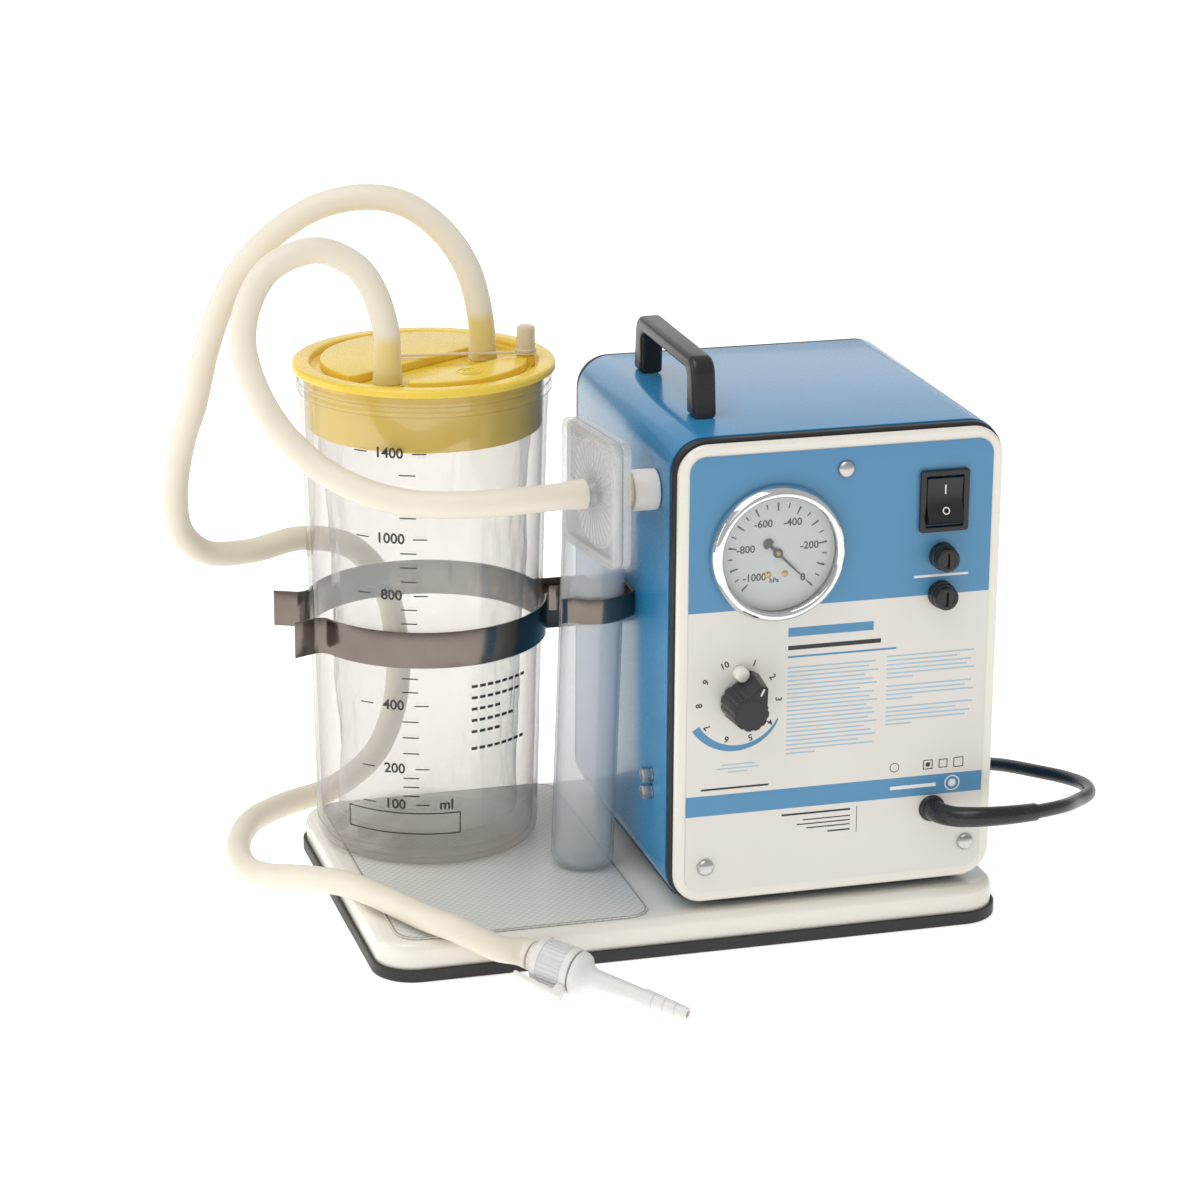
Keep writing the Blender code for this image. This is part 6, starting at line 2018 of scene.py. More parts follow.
@dataclass
class InletFilter(SubAssembly):
    """The suction port's nut, the silicone sleeve and the clear square filter."""

    turn: float = 8.0
    corner: float = 6.0 * MM
    shell: float = 1.2 * MM
    rim: float = 4.5 * MM
    ribs: int = 36

    def build(self) -> None:
        """Build the nut, the sleeve and the filter."""
        low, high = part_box("port_nut")
        middle = (low + high) / 2
        radius = (high.z - low.z) / 2
        plane = placed(Facing.LEFT, (0.0, middle.y, middle.z))
        near, far = -high.x, -low.x
        profile = [
            (6.0 * MM, near),
            (radius - 0.6 * MM, near),
            (radius, near + 0.6 * MM),
            (radius, far - 1.6 * MM),
            (radius - 0.5 * MM, far - 0.5 * MM),
            (radius - 1.6 * MM, far),
            (6.0 * MM, far),
            (6.0 * MM, near),
        ]
        nut = lathed("inlet_nut", profile, plane, 72)
        self.keep(nut, WHITE_ACETAL, "port_nut")
        low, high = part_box("filter_connector")
        middle = (low + high) / 2
        radius = (high.z - low.z) / 2
        sleeve = [
            (5.3 * MM, -high.x),
            (radius, -high.x),
            (radius, -low.x - 3.0 * MM),
            (radius - 0.8 * MM, -low.x),
            (5.3 * MM, -low.x),
            (5.3 * MM, -high.x),
        ]
        plane = placed(Facing.LEFT, (0.0, middle.y, middle.z))
        amber = Hose("amber_silicone_sleeve", "silicone", "e8cf9c", see_through=0.12)
        self.keep(lathed("filter_sleeve", sleeve, plane, 64), amber, "filter_connector")
        self.filter()
        self.dress(TURNED_BRASS, "suction_port")

    def filter(self) -> None:
        """Build the two shells with their ribs, the nozzle and the membrane."""
        axis = Vector((-math.cos(math.radians(self.turn)), -math.sin(math.radians(self.turn)), 0.0))
        membrane = middle_of("filter_membrane")
        plane = (
            Matrix.Translation(membrane)
            @ Matrix.Rotation(math.radians(self.turn), 4, "Z")
            @ Facing.LEFT.matrix()
        )
        width, height, half = 63.0 * MM, 62.0 * MM, 4.5 * MM
        outer = []
        for side, sign in (("outer", 1.0), ("inner", -1.0)):
            faces = sorted((sign * 0.35 * MM, sign * (half - 2.2 * MM)))
            plate = [rounded(width - 2.4 * MM, height - 2.4 * MM, self.corner - self.shell, 10)]
            wall_faces = sorted((sign * (half - 3.4 * MM), sign * (half - 2.2 * MM)))
            flat_plate = cut_out(f"filter_{side}_plate", plate, *wall_faces, plane, 0.3 * MM)
            frame_faces = sorted((sign * 0.25 * MM, sign * half))
            frame = cut_out(
                f"filter_{side}_frame",
                [
                    rounded(width, height, self.corner, 10),
                    rounded(
                        width - 2 * self.rim, height - 2 * self.rim, self.corner - self.rim * 0.6, 10
                    ),
                ],
                *frame_faces,
                plane,
                0.6 * MM,
            )
            nozzle_far = half + 8.5 * MM if side == "outer" else half + 6.0 * MM
            nozzle_radius = 5.5 * MM if side == "outer" else 4.2 * MM
            tube = [
                (1.6 * MM, half - 2.2 * MM),
                (nozzle_radius + 1.6 * MM, half - 2.2 * MM),
                (nozzle_radius + 0.3 * MM, half - 0.6 * MM),
                (nozzle_radius, half),
                (nozzle_radius - 0.5 * MM, nozzle_far - 0.5 * MM),
                (nozzle_radius - 0.9 * MM, nozzle_far),
                (1.6 * MM, nozzle_far),
                (1.6 * MM, half - 2.2 * MM),
            ]
            flip = plane if sign > 0 else plane @ Matrix.Rotation(math.pi, 4, "Y")
            nozzle = lathed(f"filter_{side}_nozzle", tube, flip, 40)
            rib = cut_out(
                "rib",
                [[(7.5 * MM, -0.22 * MM), (25.0 * MM, -0.16 * MM), (25.0 * MM, 0.16 * MM), (7.5 * MM, 0.22 * MM)]],
                half - 2.3 * MM,
                half - 1.7 * MM,
                None,
                0.08 * MM,
                1,
            )
            ribs = []
            for index in range(self.ribs):
                spin = Matrix.Rotation(2 * math.pi * (index + 0.5) / self.ribs, 4, "Z")
                ribs.append(copied(rib, f"rib_{index}", flip @ spin))
            bpy.data.objects.remove(rib)
            shell = joined(f"filter_{side}_shell", [flat_plate, frame, nozzle, *ribs])
            self.keep(shell, FILTER_STYRENE, f"filter_shell_{side}")
            outer.append(faces)
        disc = cut_out(
            "filter_disc", [circle(27.0 * MM, steps=72)], -0.15 * MM, 0.15 * MM, plane
        )
        self.keep(disc, FILTER_MEMBRANE, "filter_membrane")
        LOG.debug("filter axis %s", axis)


@dataclass
class CollectionJar(SubAssembly):
    """The clear jar with its yellow lid, the liner, the vent cap and its strap."""

    body: str = "collection_jar"
    top: float = 62.2 * MM
    foot: float = 56.3 * MM
    heel: float = 5.0 * MM
    wall: float = 2.2 * MM
    bead: float = 2.0 * MM
    bead_drops: tuple[float, float] = (3.6 * MM, 8.6 * MM)
    rim: float = 4.0 * MM
    rim_inner: float = 57.0 * MM
    dome: float = 51.8 * MM
    dome_rise: float = 4.8 * MM
    floor: float = 2.2 * MM
    skirt_drop: float = 29.0 * MM
    channel_half: float = 13.0 * MM
    spigot: float = 5.4 * MM
    vacuum_port: tuple[float, float] = (-26.2 * MM, -34.9 * MM)
    patient_port: tuple[float, float] = (30.2 * MM, 0.0)
    vent_port: tuple[float, float] = (49.5 * MM, -11.0 * MM)
    marks: tuple[tuple[float, str], ...] = (
        (237.3 * MM, "1400"),
        (193.7 * MM, "1000"),
        (164.5 * MM, "800"),
        (135.6 * MM, "600"),
        (106.8 * MM, "400"),
        (73.1 * MM, "200"),
        (53.9 * MM, "100"),
    )
    mark_bearing: float = -119.5
    dash_turn: float = 14.0
    figure: float = 5.3 * MM
    note_bearing: float = -79.0
    note_rows: tuple[tuple[float, int], ...] = (
        (113.0, 4),
        (107.0, 8),
        (95.0, 8),
        (89.0, 7),
        (83.0, 4),
        (77.0, 6),
        (71.0, 4),
        (62.0, 8),
    )

    def build(self) -> None:
        """Build the jar from the outside in, then the lid and what is on it."""
        low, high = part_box("jar")
        middle = (low + high) / 2
        self.at = Vector((middle.x, middle.y, low.z))
        self.height = high.z - low.z
        self.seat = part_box("jar_lid")[0].z + self.skirt_drop
        self.jar()
        self.graduations()
        self.liner()
        self.lid()
        self.cap()

    def radius(self, height: float) -> float:
        """The jar's outer radius.

        Args:
            height: above its foot.

        Returns:
            The radius there.
        """
        share = (height - self.heel) / (self.height - self.heel)
        return self.foot + (self.top - self.foot) * share

    def jar(self) -> None:
        """Build the jar: beads under the rim, a stepped heel and a thick base."""
        tall = self.height
        profile: Outline = [(0.0, self.wall + 1.4 * MM), (24.0 * MM, self.wall + 1.4 * MM)]
        profile += [(self.foot - self.wall - 9.0 * MM, self.wall + 0.6 * MM)]
        profile += [
            (self.foot - self.wall - 5.0 * MM + 5.0 * MM * math.sin(a), self.wall + 5.0 * MM - 5.0 * MM * math.cos(a))
            for a in [math.radians(15.0 * step) for step in range(1, 7)]
        ]
        profile += [
            (self.radius(tall * share) - self.wall, tall * share) for share in (0.25, 0.5, 0.75)
        ]
        profile += [(self.top - self.wall, tall - 0.3 * MM), (self.top - self.wall + 0.4 * MM, tall)]
        profile += [(self.top - 0.4 * MM, tall), (self.top, tall - 0.4 * MM)]
        for drop in self.bead_drops:
            centre = tall - drop
            profile += [
                (self.top + self.bead * math.cos(a) - 0.2 * MM, centre + 1.6 * MM * math.sin(a))
                for a in [math.radians(degrees) for degrees in (80, 50, 20, -20, -50, -80)]
            ]
        profile += [(self.radius(tall * share), tall * share) for share in (0.9, 0.7, 0.5, 0.3)]
        profile += [
            (self.radius(13.0 * MM), 13.0 * MM),
            (self.radius(12.0 * MM) + 0.5 * MM, 12.4 * MM),
            (self.radius(12.0 * MM) + 0.5 * MM, 10.4 * MM),
            (self.radius(9.8 * MM), 9.8 * MM),
        ]
        profile += [
            (self.foot - self.heel + self.heel * math.cos(a), self.heel - self.heel * math.sin(a))
            for a in [math.radians(15.0 * step) for step in range(0, 7)]
        ]
        profile += [(24.0 * MM, 0.0), (23.0 * MM, 0.8 * MM), (0.0, 0.8 * MM)]
        piece = lathed("jar_moulding", profile, Matrix.Translation(self.at), 144)
        self.keep(piece, JAR_POLYCARBONATE, "jar", smooth=40.0)

    def on_wall(self, bearing: float, height: float) -> Matrix:
        """A plane that touches the jar's wall.

        Args:
            bearing: its direction from the jar's axis, in degrees.
            height: above the jar's foot.

        Returns:
            The plane's matrix.
        """
        turn = Matrix.Rotation(math.radians(bearing + 90.0), 4, "Z")
        lean = math.atan2(self.top - self.foot, self.height)
        return (
            Matrix.Translation(self.at + Vector((0.0, 0.0, height)))
            @ turn
            @ Matrix.Translation((0.0, -self.radius(height), 0.0))
            @ Matrix.Rotation(lean, 4, "X")
            @ Facing.FRONT.matrix()
        )

    def graduations(self) -> None:
        """Print the volume scale, its figures and an empty frame low on the wall."""
        inks = []
        levels = [level for level, _ in self.marks]
        for index, (level, figures) in enumerate(self.marks):
            height = level - self.at.z
            plane = self.on_wall(self.mark_bearing, height)
            inks.append(
                words(f"volume_{figures}", figures, self.figure, (0.0, 0.0), plane, 0.1 * MM)
            )
            for side in (-1.0, 1.0):
                at = self.on_wall(self.mark_bearing + side * self.dash_turn, height)
                inks.append(self.dash(f"volume_line_{figures}_{side:+.0f}", 7.0 * MM, at))
            if index + 1 < len(levels):
                for part in (1, 2, 3):
                    height = level + (levels[index + 1] - level) * part / 4 - self.at.z
                    at = self.on_wall(self.mark_bearing + 0.6 * self.dash_turn, height)
                    inks.append(self.dash(f"tick_{index}_{part}", 8.0 * MM, at))
        plane = self.on_wall(self.mark_bearing + 26.0, levels[-1] - self.at.z)
        inks.append(words("volume_unit", "ml", self.figure, (0.0, 0.0), plane, 0.1 * MM))
        inks += self.frame() + self.notes()
        self.keep(joined("jar_graduations", inks), BLACK_INK)

    def dash(self, name: str, length: float, plane: Matrix, thick: float = 0.6 * MM) -> bpy.types.Object:
        """A short printed bar.

        Args:
            name: its name.
            length: its length.
            plane: the plane that touches the wall at its middle.
            thick: its thickness.

        Returns:
            The bar.
        """
        across, up = length / 2, thick / 2
        bar = [(-across, -up), (across, -up), (across, up), (-across, up)]
        return cut_out(name, [bar], 0.0, 0.15 * MM, plane)

    def frame(self) -> list[bpy.types.Object]:
        """Print an empty frame low on the wall, in short bars that follow its curve."""
        inks = []
        for step in range(15):
            bearing = self.mark_bearing - 25.0 + 4.0 * step
            for row, height in enumerate((18.0 * MM, 29.0 * MM)):
                at = self.on_wall(bearing, height)
                inks.append(self.dash(f"frame_{step}_{row}", 4.3 * MM, at))
        for side in (-27.0, 33.0):
            at = self.on_wall(self.mark_bearing + side, 23.5 * MM)
            upright = [(-0.3 * MM, -5.7 * MM), (0.3 * MM, -5.7 * MM), (0.3 * MM, 5.7 * MM), (-0.3 * MM, 5.7 * MM)]
            inks.append(cut_out(f"frame_side_{side:+.0f}", [upright], 0.0, 0.15 * MM, at))
        return inks

    def notes(self) -> list[bpy.types.Object]:
        """Print rows of plain bars to the right of the scale, in place of wording."""
        inks = []
        for row, (height, bars) in enumerate(self.note_rows):
            for step in range(bars):
                at = self.on_wall(self.note_bearing + 4.4 * step, height * MM)
                inks.append(self.dash(f"note_{row}_{step}", 3.2 * MM, at, 1.5 * MM))
        return inks

    def liner(self) -> None:
        """Build the thin bag, drawn in and creased as a limp film is."""
        low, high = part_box("liner_bag")
        skin = self.top - self.wall - 1.2 * MM - 1.6 * MM - 1.2 * MM
        foot = 46.0 * MM
        rings = 60
        profile: Outline = [(0.0, low.z), (foot * 0.5, low.z + 0.4 * MM), (foot * 0.86, low.z + 1.0 * MM)]
        for step in range(rings + 1):
            share = step / rings
            profile.append(
                (foot + (skin - foot) * share, low.z + 4.0 * MM + (high.z - low.z - 5.0 * MM) * share)
            )
        plane = Matrix.Translation((self.at.x, self.at.y, 0.0))
        bag = lathed("liner_film_bag", profile, plane, 180)
        for vertex in bag.data.vertices:
            out = Vector((vertex.co.x - self.at.x, vertex.co.y - self.at.y, 0.0))
            if out.length < foot * 0.4:
                continue
            rise = (vertex.co.z - low.z) / (high.z - low.z)
            free = min(1.0, rise * 6.0) * min(1.0, (1.0 - rise) * 9.0)
            turn = math.atan2(out.y, out.x)
            where = Vector((math.cos(turn) * 1.6, math.sin(turn) * 1.6, vertex.co.z * 14.0))
            fold = noise.noise(where) + 0.6 * noise.noise(where * 2.3 + Vector((5.0, 1.0, 2.0)))
            crease = 1.0 - abs(noise.noise(where * 3.4 + Vector((2.0, 7.0, 4.0)))) * 3.0
            inward = (2.6 + 3.4 * fold + 1.1 * max(0.0, crease)) * MM * free
            vertex.co -= out.normalized() * max(0.0, inward)
        self.keep(bag, LINER_POLYETHYLENE, "liner_bag", body="lid", smooth=60.0)

    def lid(self) -> None:
        """Build the lid: rolled rim, groove, raised wings, channel, spigots and tab."""
        skirt = self.top - self.wall - 1.2 * MM
        inner = skirt - 1.6 * MM
        outer = 65.5 * MM
        profile: Outline = [
            (0.0, 0.4 * MM),
            (self.rim_inner - 4.2 * MM, 0.4 * MM),
            (self.rim_inner - 3.2 * MM, 0.0),
            (self.rim_inner - 1.2 * MM, 0.0),
            (self.rim_inner - 0.5 * MM, 0.5 * MM),
            (self.rim_inner - 0.2 * MM, self.rim - 0.9 * MM),
            (self.rim_inner + 0.4 * MM, self.rim - 0.2 * MM),
            (self.rim_inner + 1.2 * MM, self.rim),
            (outer - 2.0 * MM, self.rim),
            (outer - 0.9 * MM, self.rim - 0.3 * MM),
            (outer - 0.2 * MM, self.rim - 1.1 * MM),
            (outer, self.rim - 2.0 * MM),
            (outer, 0.3 * MM),
            (outer - 0.5 * MM, 0.02 * MM),
            (skirt, 0.02 * MM),
            (skirt, -self.skirt_drop + 0.5 * MM),
            (skirt - 0.5 * MM, -self.skirt_drop),
            (inner, -self.skirt_drop),
            (inner, -self.floor),
            (0.0, -self.floor),
        ]
        plane = Matrix.Translation((self.at.x, self.at.y, self.seat))
        pan = lathed("lid_pan", profile, plane, 144)
        run = Vector(self.patient_port) - Vector(self.vacuum_port)
        middle = (Vector(self.patient_port) + Vector(self.vacuum_port)) / 2
        across = Vector((-run.y, run.x)).normalized()
        parts = [pan]
        for side, sign in (("left", 1.0), ("right", -1.0)):
            wing = self.wing(run.normalized(), middle, across * sign)
            parts.append(
                cut_out(f"lid_wing_{side}", [wing], 0.2 * MM, self.dome_rise, plane, 0.9 * MM, 4)
            )
        for (x, y), name in ((self.vacuum_port, "vacuum"), (self.patient_port, "patient")):
            top = self.spigot_top()
            tube = [
                (3.4 * MM, -0.5 * MM),
                (self.spigot + 2.6 * MM, -0.5 * MM),
                (self.spigot + 2.4 * MM, 1.4 * MM),
                (self.spigot + 0.6 * MM, 2.0 * MM),
                (self.spigot, 2.8 * MM),
                (self.spigot, top - 0.3 * MM),
                (self.spigot - 0.3 * MM, top),
                (3.4 * MM, top),
                (3.4 * MM, -0.5 * MM),
            ]
            spot = plane @ Matrix.Translation((x, y, 0.0))
            parts.append(lathed(f"lid_spigot_{name}", tube, spot, 48))
        x, y = self.vent_port
        vent = [
            (0.0, 0.2 * MM),
            (4.6 * MM, 0.2 * MM),
            (4.4 * MM, self.dome_rise + 0.3 * MM),
            (3.4 * MM, self.dome_rise + 0.9 * MM),
            (3.3 * MM, self.dome_rise + 11.3 * MM),
            (0.0, self.dome_rise + 11.3 * MM),
        ]
        parts.append(lathed("lid_vent", vent, plane @ Matrix.Translation((x, y, 0.0)), 40))
        x, y = 14.5 * MM, -35.0 * MM
        for radius in (6.2, 3.4):
            ring = [circle(radius * MM, (x, y), 48), circle((radius - 0.7) * MM, (x, y), 48)]
            parts.append(
                cut_out(
                    f"lid_emboss_{radius:.0f}",
                    ring,
                    self.dome_rise - 0.2 * MM,
                    self.dome_rise + 0.35 * MM,
                    plane,
                    0.15 * MM,
                    1,
                )
            )
        parts.append(self.tab(plane))
        lid = joined("lid_moulding", parts)
        self.keep(lid, YELLOW_STYRENE, "jar_lid", body="lid", smooth=40.0)

    def spigot_top(self) -> float:
        """How far the spigots stand above the lid's seat."""
        return self.dome_rise + 2.6 * MM

    def wing(self, run: Vector, middle: Vector, across: Vector) -> Outline:
        """One raised D-shaped wing beside the channel.

        Args:
            run: direction of the channel; not used.
            middle: a point on the channel's line.
            across: direction from the channel to the wing.

        Returns:
            Its outline about the lid's axis.
        """
        radius = self.dome - 0.2 * MM
        near = middle.dot(across) + self.channel_half
        swing = math.degrees(math.acos(max(-1.0, min(1.0, near / radius))))
        facing = math.degrees(math.atan2(across.y, across.x))
        curve = arc((0.0, 0.0), radius, facing - swing + 3.0, facing + swing - 3.0, 40)
        ends = []
        for sign in (1.0, -1.0):
            reach = math.sqrt(max(0.0, radius**2 - near**2)) - 3.2 * MM
            spot = across * near + Vector((-across.y, across.x)) * (sign * reach)
            ends.append((spot.x, spot.y))
        return curve + ends

    def tab(self, plane: Matrix) -> bpy.types.Object:
        """The pull tab at the rear left of the rim.

        Args:
            plane: the plane of the lid's seat.

        Returns:
            The mesh object.
        """
        bearing = 133.0
        outer = arc((0.0, 0.0), 66.5 * MM, bearing + 15.0, bearing - 15.0, 12)
        inner = arc((0.0, 0.0), 62.0 * MM, bearing - 15.0, bearing + 15.0, 12)
        tip = filleted([(*point, 0.0) for point in outer + inner])
        return cut_out("lid_tab", [tip], 0.8 * MM, 2.4 * MM, plane, 0.5 * MM, 2)

    def cap(self) -> None:
        """Build the strap with its ring and anchor, and the vent cap."""
        low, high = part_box("cap_strap")
        cap_low, cap_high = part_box("vent_cap")
        cap_axis = (cap_low + cap_high) / 2
        plane = Matrix.Translation((self.at.x, self.at.y, 0.0))
        vent = Vector((cap_axis.x - self.at.x, cap_axis.y - self.at.y))
        anchor = Vector((low.x - self.at.x + 3.0 * MM, vent.y + 9.0 * MM))
        bar = vent - anchor
        side = Vector((-bar.y, bar.x)).normalized() * 1.1 * MM
        ring_edge = vent - bar.normalized() * 4.6 * MM
        band_low, band_high = high.z - 1.5 * MM, high.z - HAIR
        ring = cut_out(
            "strap_ring",
            [circle(5.2 * MM, vent, 40), circle(3.7 * MM, vent, 40)],
            band_low,
            band_high,
            plane,
            0.25 * MM,
            2,
        )
        strip = [anchor + side, ring_edge + side, ring_edge - side, anchor - side]
        band = cut_out(
            "strap_band", [[tuple(p) for p in strip]], band_low, band_high, plane, 0.3 * MM, 2
        )
        foot = self.seat + self.dome_rise + HAIR
        stud = [
            (0.0, high.z + 0.2 * MM),
            (1.6 * MM, high.z + 0.1 * MM),
            (2.8 * MM, band_high),
            (3.0 * MM, band_low),
            (2.0 * MM, foot + 0.4 * MM),
            (2.0 * MM, foot),
            (0.0, foot),
        ]
        knob = lathed("strap_stud", stud, plane @ Matrix.Translation((*anchor, 0.0)), 32)
        strap = joined("cap_tether", [ring, band, knob])
        self.keep(strap, CAP_POLYETHYLENE, "cap_strap", body="lid")
        base, top = cap_low.z, cap_high.z
        wide = (cap_high.x - cap_low.x) / 2
        profile = [
            (3.9 * MM, base),
            (wide, base),
            (wide, base + 0.9 * MM),
            (wide - 0.5 * MM, base + 1.3 * MM),
            (wide - 0.8 * MM, top - 1.2 * MM),
            (wide - 1.2 * MM, top - 0.4 * MM),
            (wide - 2.0 * MM, top),
            (0.0, top),
            (0.0, top - 1.4 * MM),
            (3.8 * MM, top - 1.4 * MM),
            (3.9 * MM, base),
        ]
        at = Matrix.Translation((cap_axis.x, cap_axis.y, 0.0))
        cap = lathed("vent_cap_moulding", profile, at, 48)
        self.keep(cap, CAP_POLYETHYLENE, "vent_cap", body="port_cap")


@dataclass
class WallClips(SubAssembly):
    """The polished strip-steel clips that hold the jar and the catheter tube to the wall."""

    def build(self) -> None:
        """Build both clips."""
        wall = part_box("case_shell")[0].x - HAIR
        low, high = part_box("jar_clip")
        jar_low, jar_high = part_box("jar")
        centre = Vector(((jar_low.x + jar_high.x) / 2, (jar_low.y + jar_high.y) / 2))
        top = high.z
        share = (top - jar_low.z - 5.0 * MM) / (jar_high.z - jar_low.z - 5.0 * MM)
        ring = 56.3 * MM + 5.9 * MM * share + 1.5 * MM
        self.clip(
            "jar_spring_clip",
            "jar_clip",
            centre,
            ring,
            wall,
            (25.0, 12.0, 95.0),
            (13.0 * MM, 6.0 * MM, 10.5 * MM, 1.0 * MM),
        )
        low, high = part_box("tube_clip")
        tube = middle_of("holder_tube")
        level = (low.z + high.z) / 2
        foot_low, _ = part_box("holder_tube")
        lean = math.tan(math.radians(1.8))
        centre = Vector((-38.0 * MM + (level - foot_low.z) * lean, tube.y))
        self.clip(
            "tube_spring_clip",
            "tube_clip",
            centre,
            16.9 * MM,
            wall,
            (42.0, 55.0, 70.0),
            (7.0 * MM, 3.0 * MM, 3.0 * MM, 0.8 * MM),
        )

    def clip(
        self,
        name: str,
        node: str,
        centre: Vector,
        ring: float,
        wall: float,
        angles: tuple[float, float, float],
        sizes: tuple[float, float, float, float],
    ) -> None:
        """Bend one clip: a plate on the wall, two arms round the ring and flared tips.

        Args:
            name: the piece's name.
            node: the frame's node.
            centre: the ring's centre.
            ring: the ring's radius at the strip's middle.
            wall: the wall's place along x.
            angles: half of the mouth, half of the throat and the tip's kick, in degrees.
            sizes: the neck's half-width, the flare's radius, the tip's length and the thickness.
        """
        low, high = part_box(node)
        mouth, throat, kick = angles
        neck, flare, tip, thick = sizes
        upper: Outline = [(wall - thick / 2, centre.y)]
        start = Vector((wall - thick / 2, centre.y + neck))
        on_ring = arc((centre.x, centre.y), ring, throat, 180.0 - mouth, 40)
        bend = Vector(on_ring[0])
        corner = filleted(
            [
                (wall - thick / 2, centre.y, 0.0),
                (start.x, start.y, 2.0 * MM),
                (bend.x, bend.y, 0.0),
            ],
            5,
        )
        upper = [point for point in corner if point[1] <= bend.y + 50 * MM]
        upper += on_ring
        angle = math.radians(180.0 - mouth)
        end = Vector(on_ring[-1])
        out = Vector((math.cos(angle), math.sin(angle)))
        hub = end + out * flare
        for step in range(1, 9):
            turn = math.radians(kick) * step / 8
            spoke = -out
            spun = Vector(
                (
                    spoke.x * math.cos(-turn) - spoke.y * math.sin(-turn),
                    spoke.x * math.sin(-turn) + spoke.y * math.cos(-turn),
                )
            )
            upper.append(tuple(hub + spun * flare))
        last, before = Vector(upper[-1]), Vector(upper[-2])
        heading = (last - before).normalized()
        upper += [tuple(last + heading * tip * share) for share in (0.5, 1.0)]
        lower = [(x, 2 * centre.y - y) for x, y in reversed(upper[1:])]
        path = [(x, y, 0.0) for x, y in lower + upper]
        plane = Matrix.Translation((0.0, 0.0, (low.z + high.z) / 2))
        strip = ribbon(name, path, thick, high.z - low.z, plane)
        self.keep(strip, STRIP_STEEL, node, smooth=25.0)


@dataclass
class CatheterTube(SubAssembly):
    """The frosted tube that holds a suction catheter."""

    body: str = "holder"
    lean: float = 1.8
    radius: float = 15.8 * MM
    top_radius: float = 16.0 * MM
    length: float = 189.5 * MM
    wall: float = 1.2 * MM
    end: float = 6.0 * MM
    foot: Point = (-38.0 * MM, -22.0 * MM, 20.9 * MM)

    def build(self) -> None:
        """Build the tube with its round end and rolled rim."""
        profile: Outline = [(0.0, self.wall)]
        inner = self.radius - self.wall
        profile += [
            (inner - self.end + self.end * math.sin(a), self.wall + self.end - self.end * math.cos(a))
            for a in [math.radians(15.0 * step) for step in range(0, 7)]
        ]
        profile += [
            (self.top_radius - self.wall, self.length - 0.6 * MM),
            (self.top_radius - self.wall + 0.4 * MM, self.length),
            (self.top_radius, self.length - 0.2 * MM),
            (self.top_radius, self.length - 2.4 * MM),
            (self.top_radius - 0.25 * MM, self.length - 3.0 * MM),
        ]
        profile += [
            (self.radius - self.end + self.end * math.cos(a), self.end - self.end * math.sin(a))
            for a in [math.radians(15.0 * step) for step in range(0, 7)]
        ]
        profile.append((0.0, 0.0))
        plane = Matrix.Translation(self.foot) @ Matrix.Rotation(math.radians(self.lean), 4, "Y")
        tube = lathed("catheter_tube", profile, plane, 96)
        self.keep(tube, HOLDER_POLYPROPYLENE, "holder_tube", smooth=45.0)


VACUUM_ROUTE: list[Point] = [
    (-0.1277, 0.0121, 0.2829),
    (-0.1280, 0.0125, 0.2930),
    (-0.1340, 0.0140, 0.3140),
    (-0.1430, 0.0160, 0.3265),
    (-0.1610, 0.0180, 0.3340),
    (-0.1840, 0.0150, 0.3270),
    (-0.1960, 0.0100, 0.3110),
    (-0.2000, 0.0040, 0.2930),
    (-0.1965, -0.0060, 0.2740),
    (-0.1870, -0.0160, 0.2555),
    (-0.1715, -0.0280, 0.2395),
    (-0.1538, -0.0420, 0.2305),
    (-0.1336, -0.0540, 0.2260),
    (-0.1087, -0.0660, 0.2265),
    (-0.0803, -0.0708, 0.2280),
]
PATIENT_ROUTE: list[Point] = [
    (-0.0720, 0.0472, 0.2860),
    (-0.0780, 0.0500, 0.3130),
    (-0.0900, 0.0550, 0.3320),
    (-0.1070, 0.0600, 0.3450),
    (-0.1260, 0.0650, 0.3487),
    (-0.1490, 0.0700, 0.3440),
    (-0.1680, 0.0750, 0.3320),
    (-0.1840, 0.0800, 0.3150),
    (-0.1950, 0.0850, 0.2950),
    (-0.2030, 0.0900, 0.2700),
    (-0.2090, 0.0950, 0.2410),
    (-0.2145, 0.1000, 0.2210),
    (-0.2180, 0.1060, 0.1940),
    (-0.2150, 0.1120, 0.1700),
    (-0.2010, 0.1190, 0.1550),
    (-0.1765, 0.1240, 0.1525),
    (-0.1500, 0.1280, 0.1560),
    (-0.1240, 0.1290, 0.1500),
    (-0.1060, 0.1310, 0.1290),
    (-0.0980, 0.1330, 0.0960),
    (-0.0980, 0.1360, 0.0600),
    (-0.1090, 0.1390, 0.0290),
    (-0.1320, 0.1400, 0.0110),
    (-0.1590, 0.1330, 0.0070),
    (-0.1800, 0.1150, 0.0069),
    (-0.1920, 0.0910, 0.0069),
    (-0.1972, 0.0670, 0.0069),
    (-0.1965, 0.0430, 0.0080),
    (-0.1895, 0.0230, 0.0115),
    (-0.1800, 0.0020, 0.0180),
    (-0.1700, -0.0200, 0.0240),
    (-0.1610, -0.0370, 0.0272),
    (-0.1520, -0.0520, 0.0275),
    (-0.1430, -0.0710, 0.0277),
    (-0.1335, -0.0905, 0.0278),
    (-0.1240, -0.1020, 0.0268),
    (-0.1135, -0.1090, 0.0225),
    (-0.1040, -0.1135, 0.0185),
]
BOOT_ROUTE: list[Point] = [
    (0.1212, -0.0880, 0.0614),
    (0.1212, -0.0960, 0.0614),
    (0.1225, -0.1050, 0.0620),
    (0.1270, -0.1130, 0.0630),
    (0.1350, -0.1185, 0.0640),
    (0.1450, -0.1205, 0.0643),
    (0.1560, -0.1200, 0.0640),
    (0.1670, -0.1170, 0.0630),
]
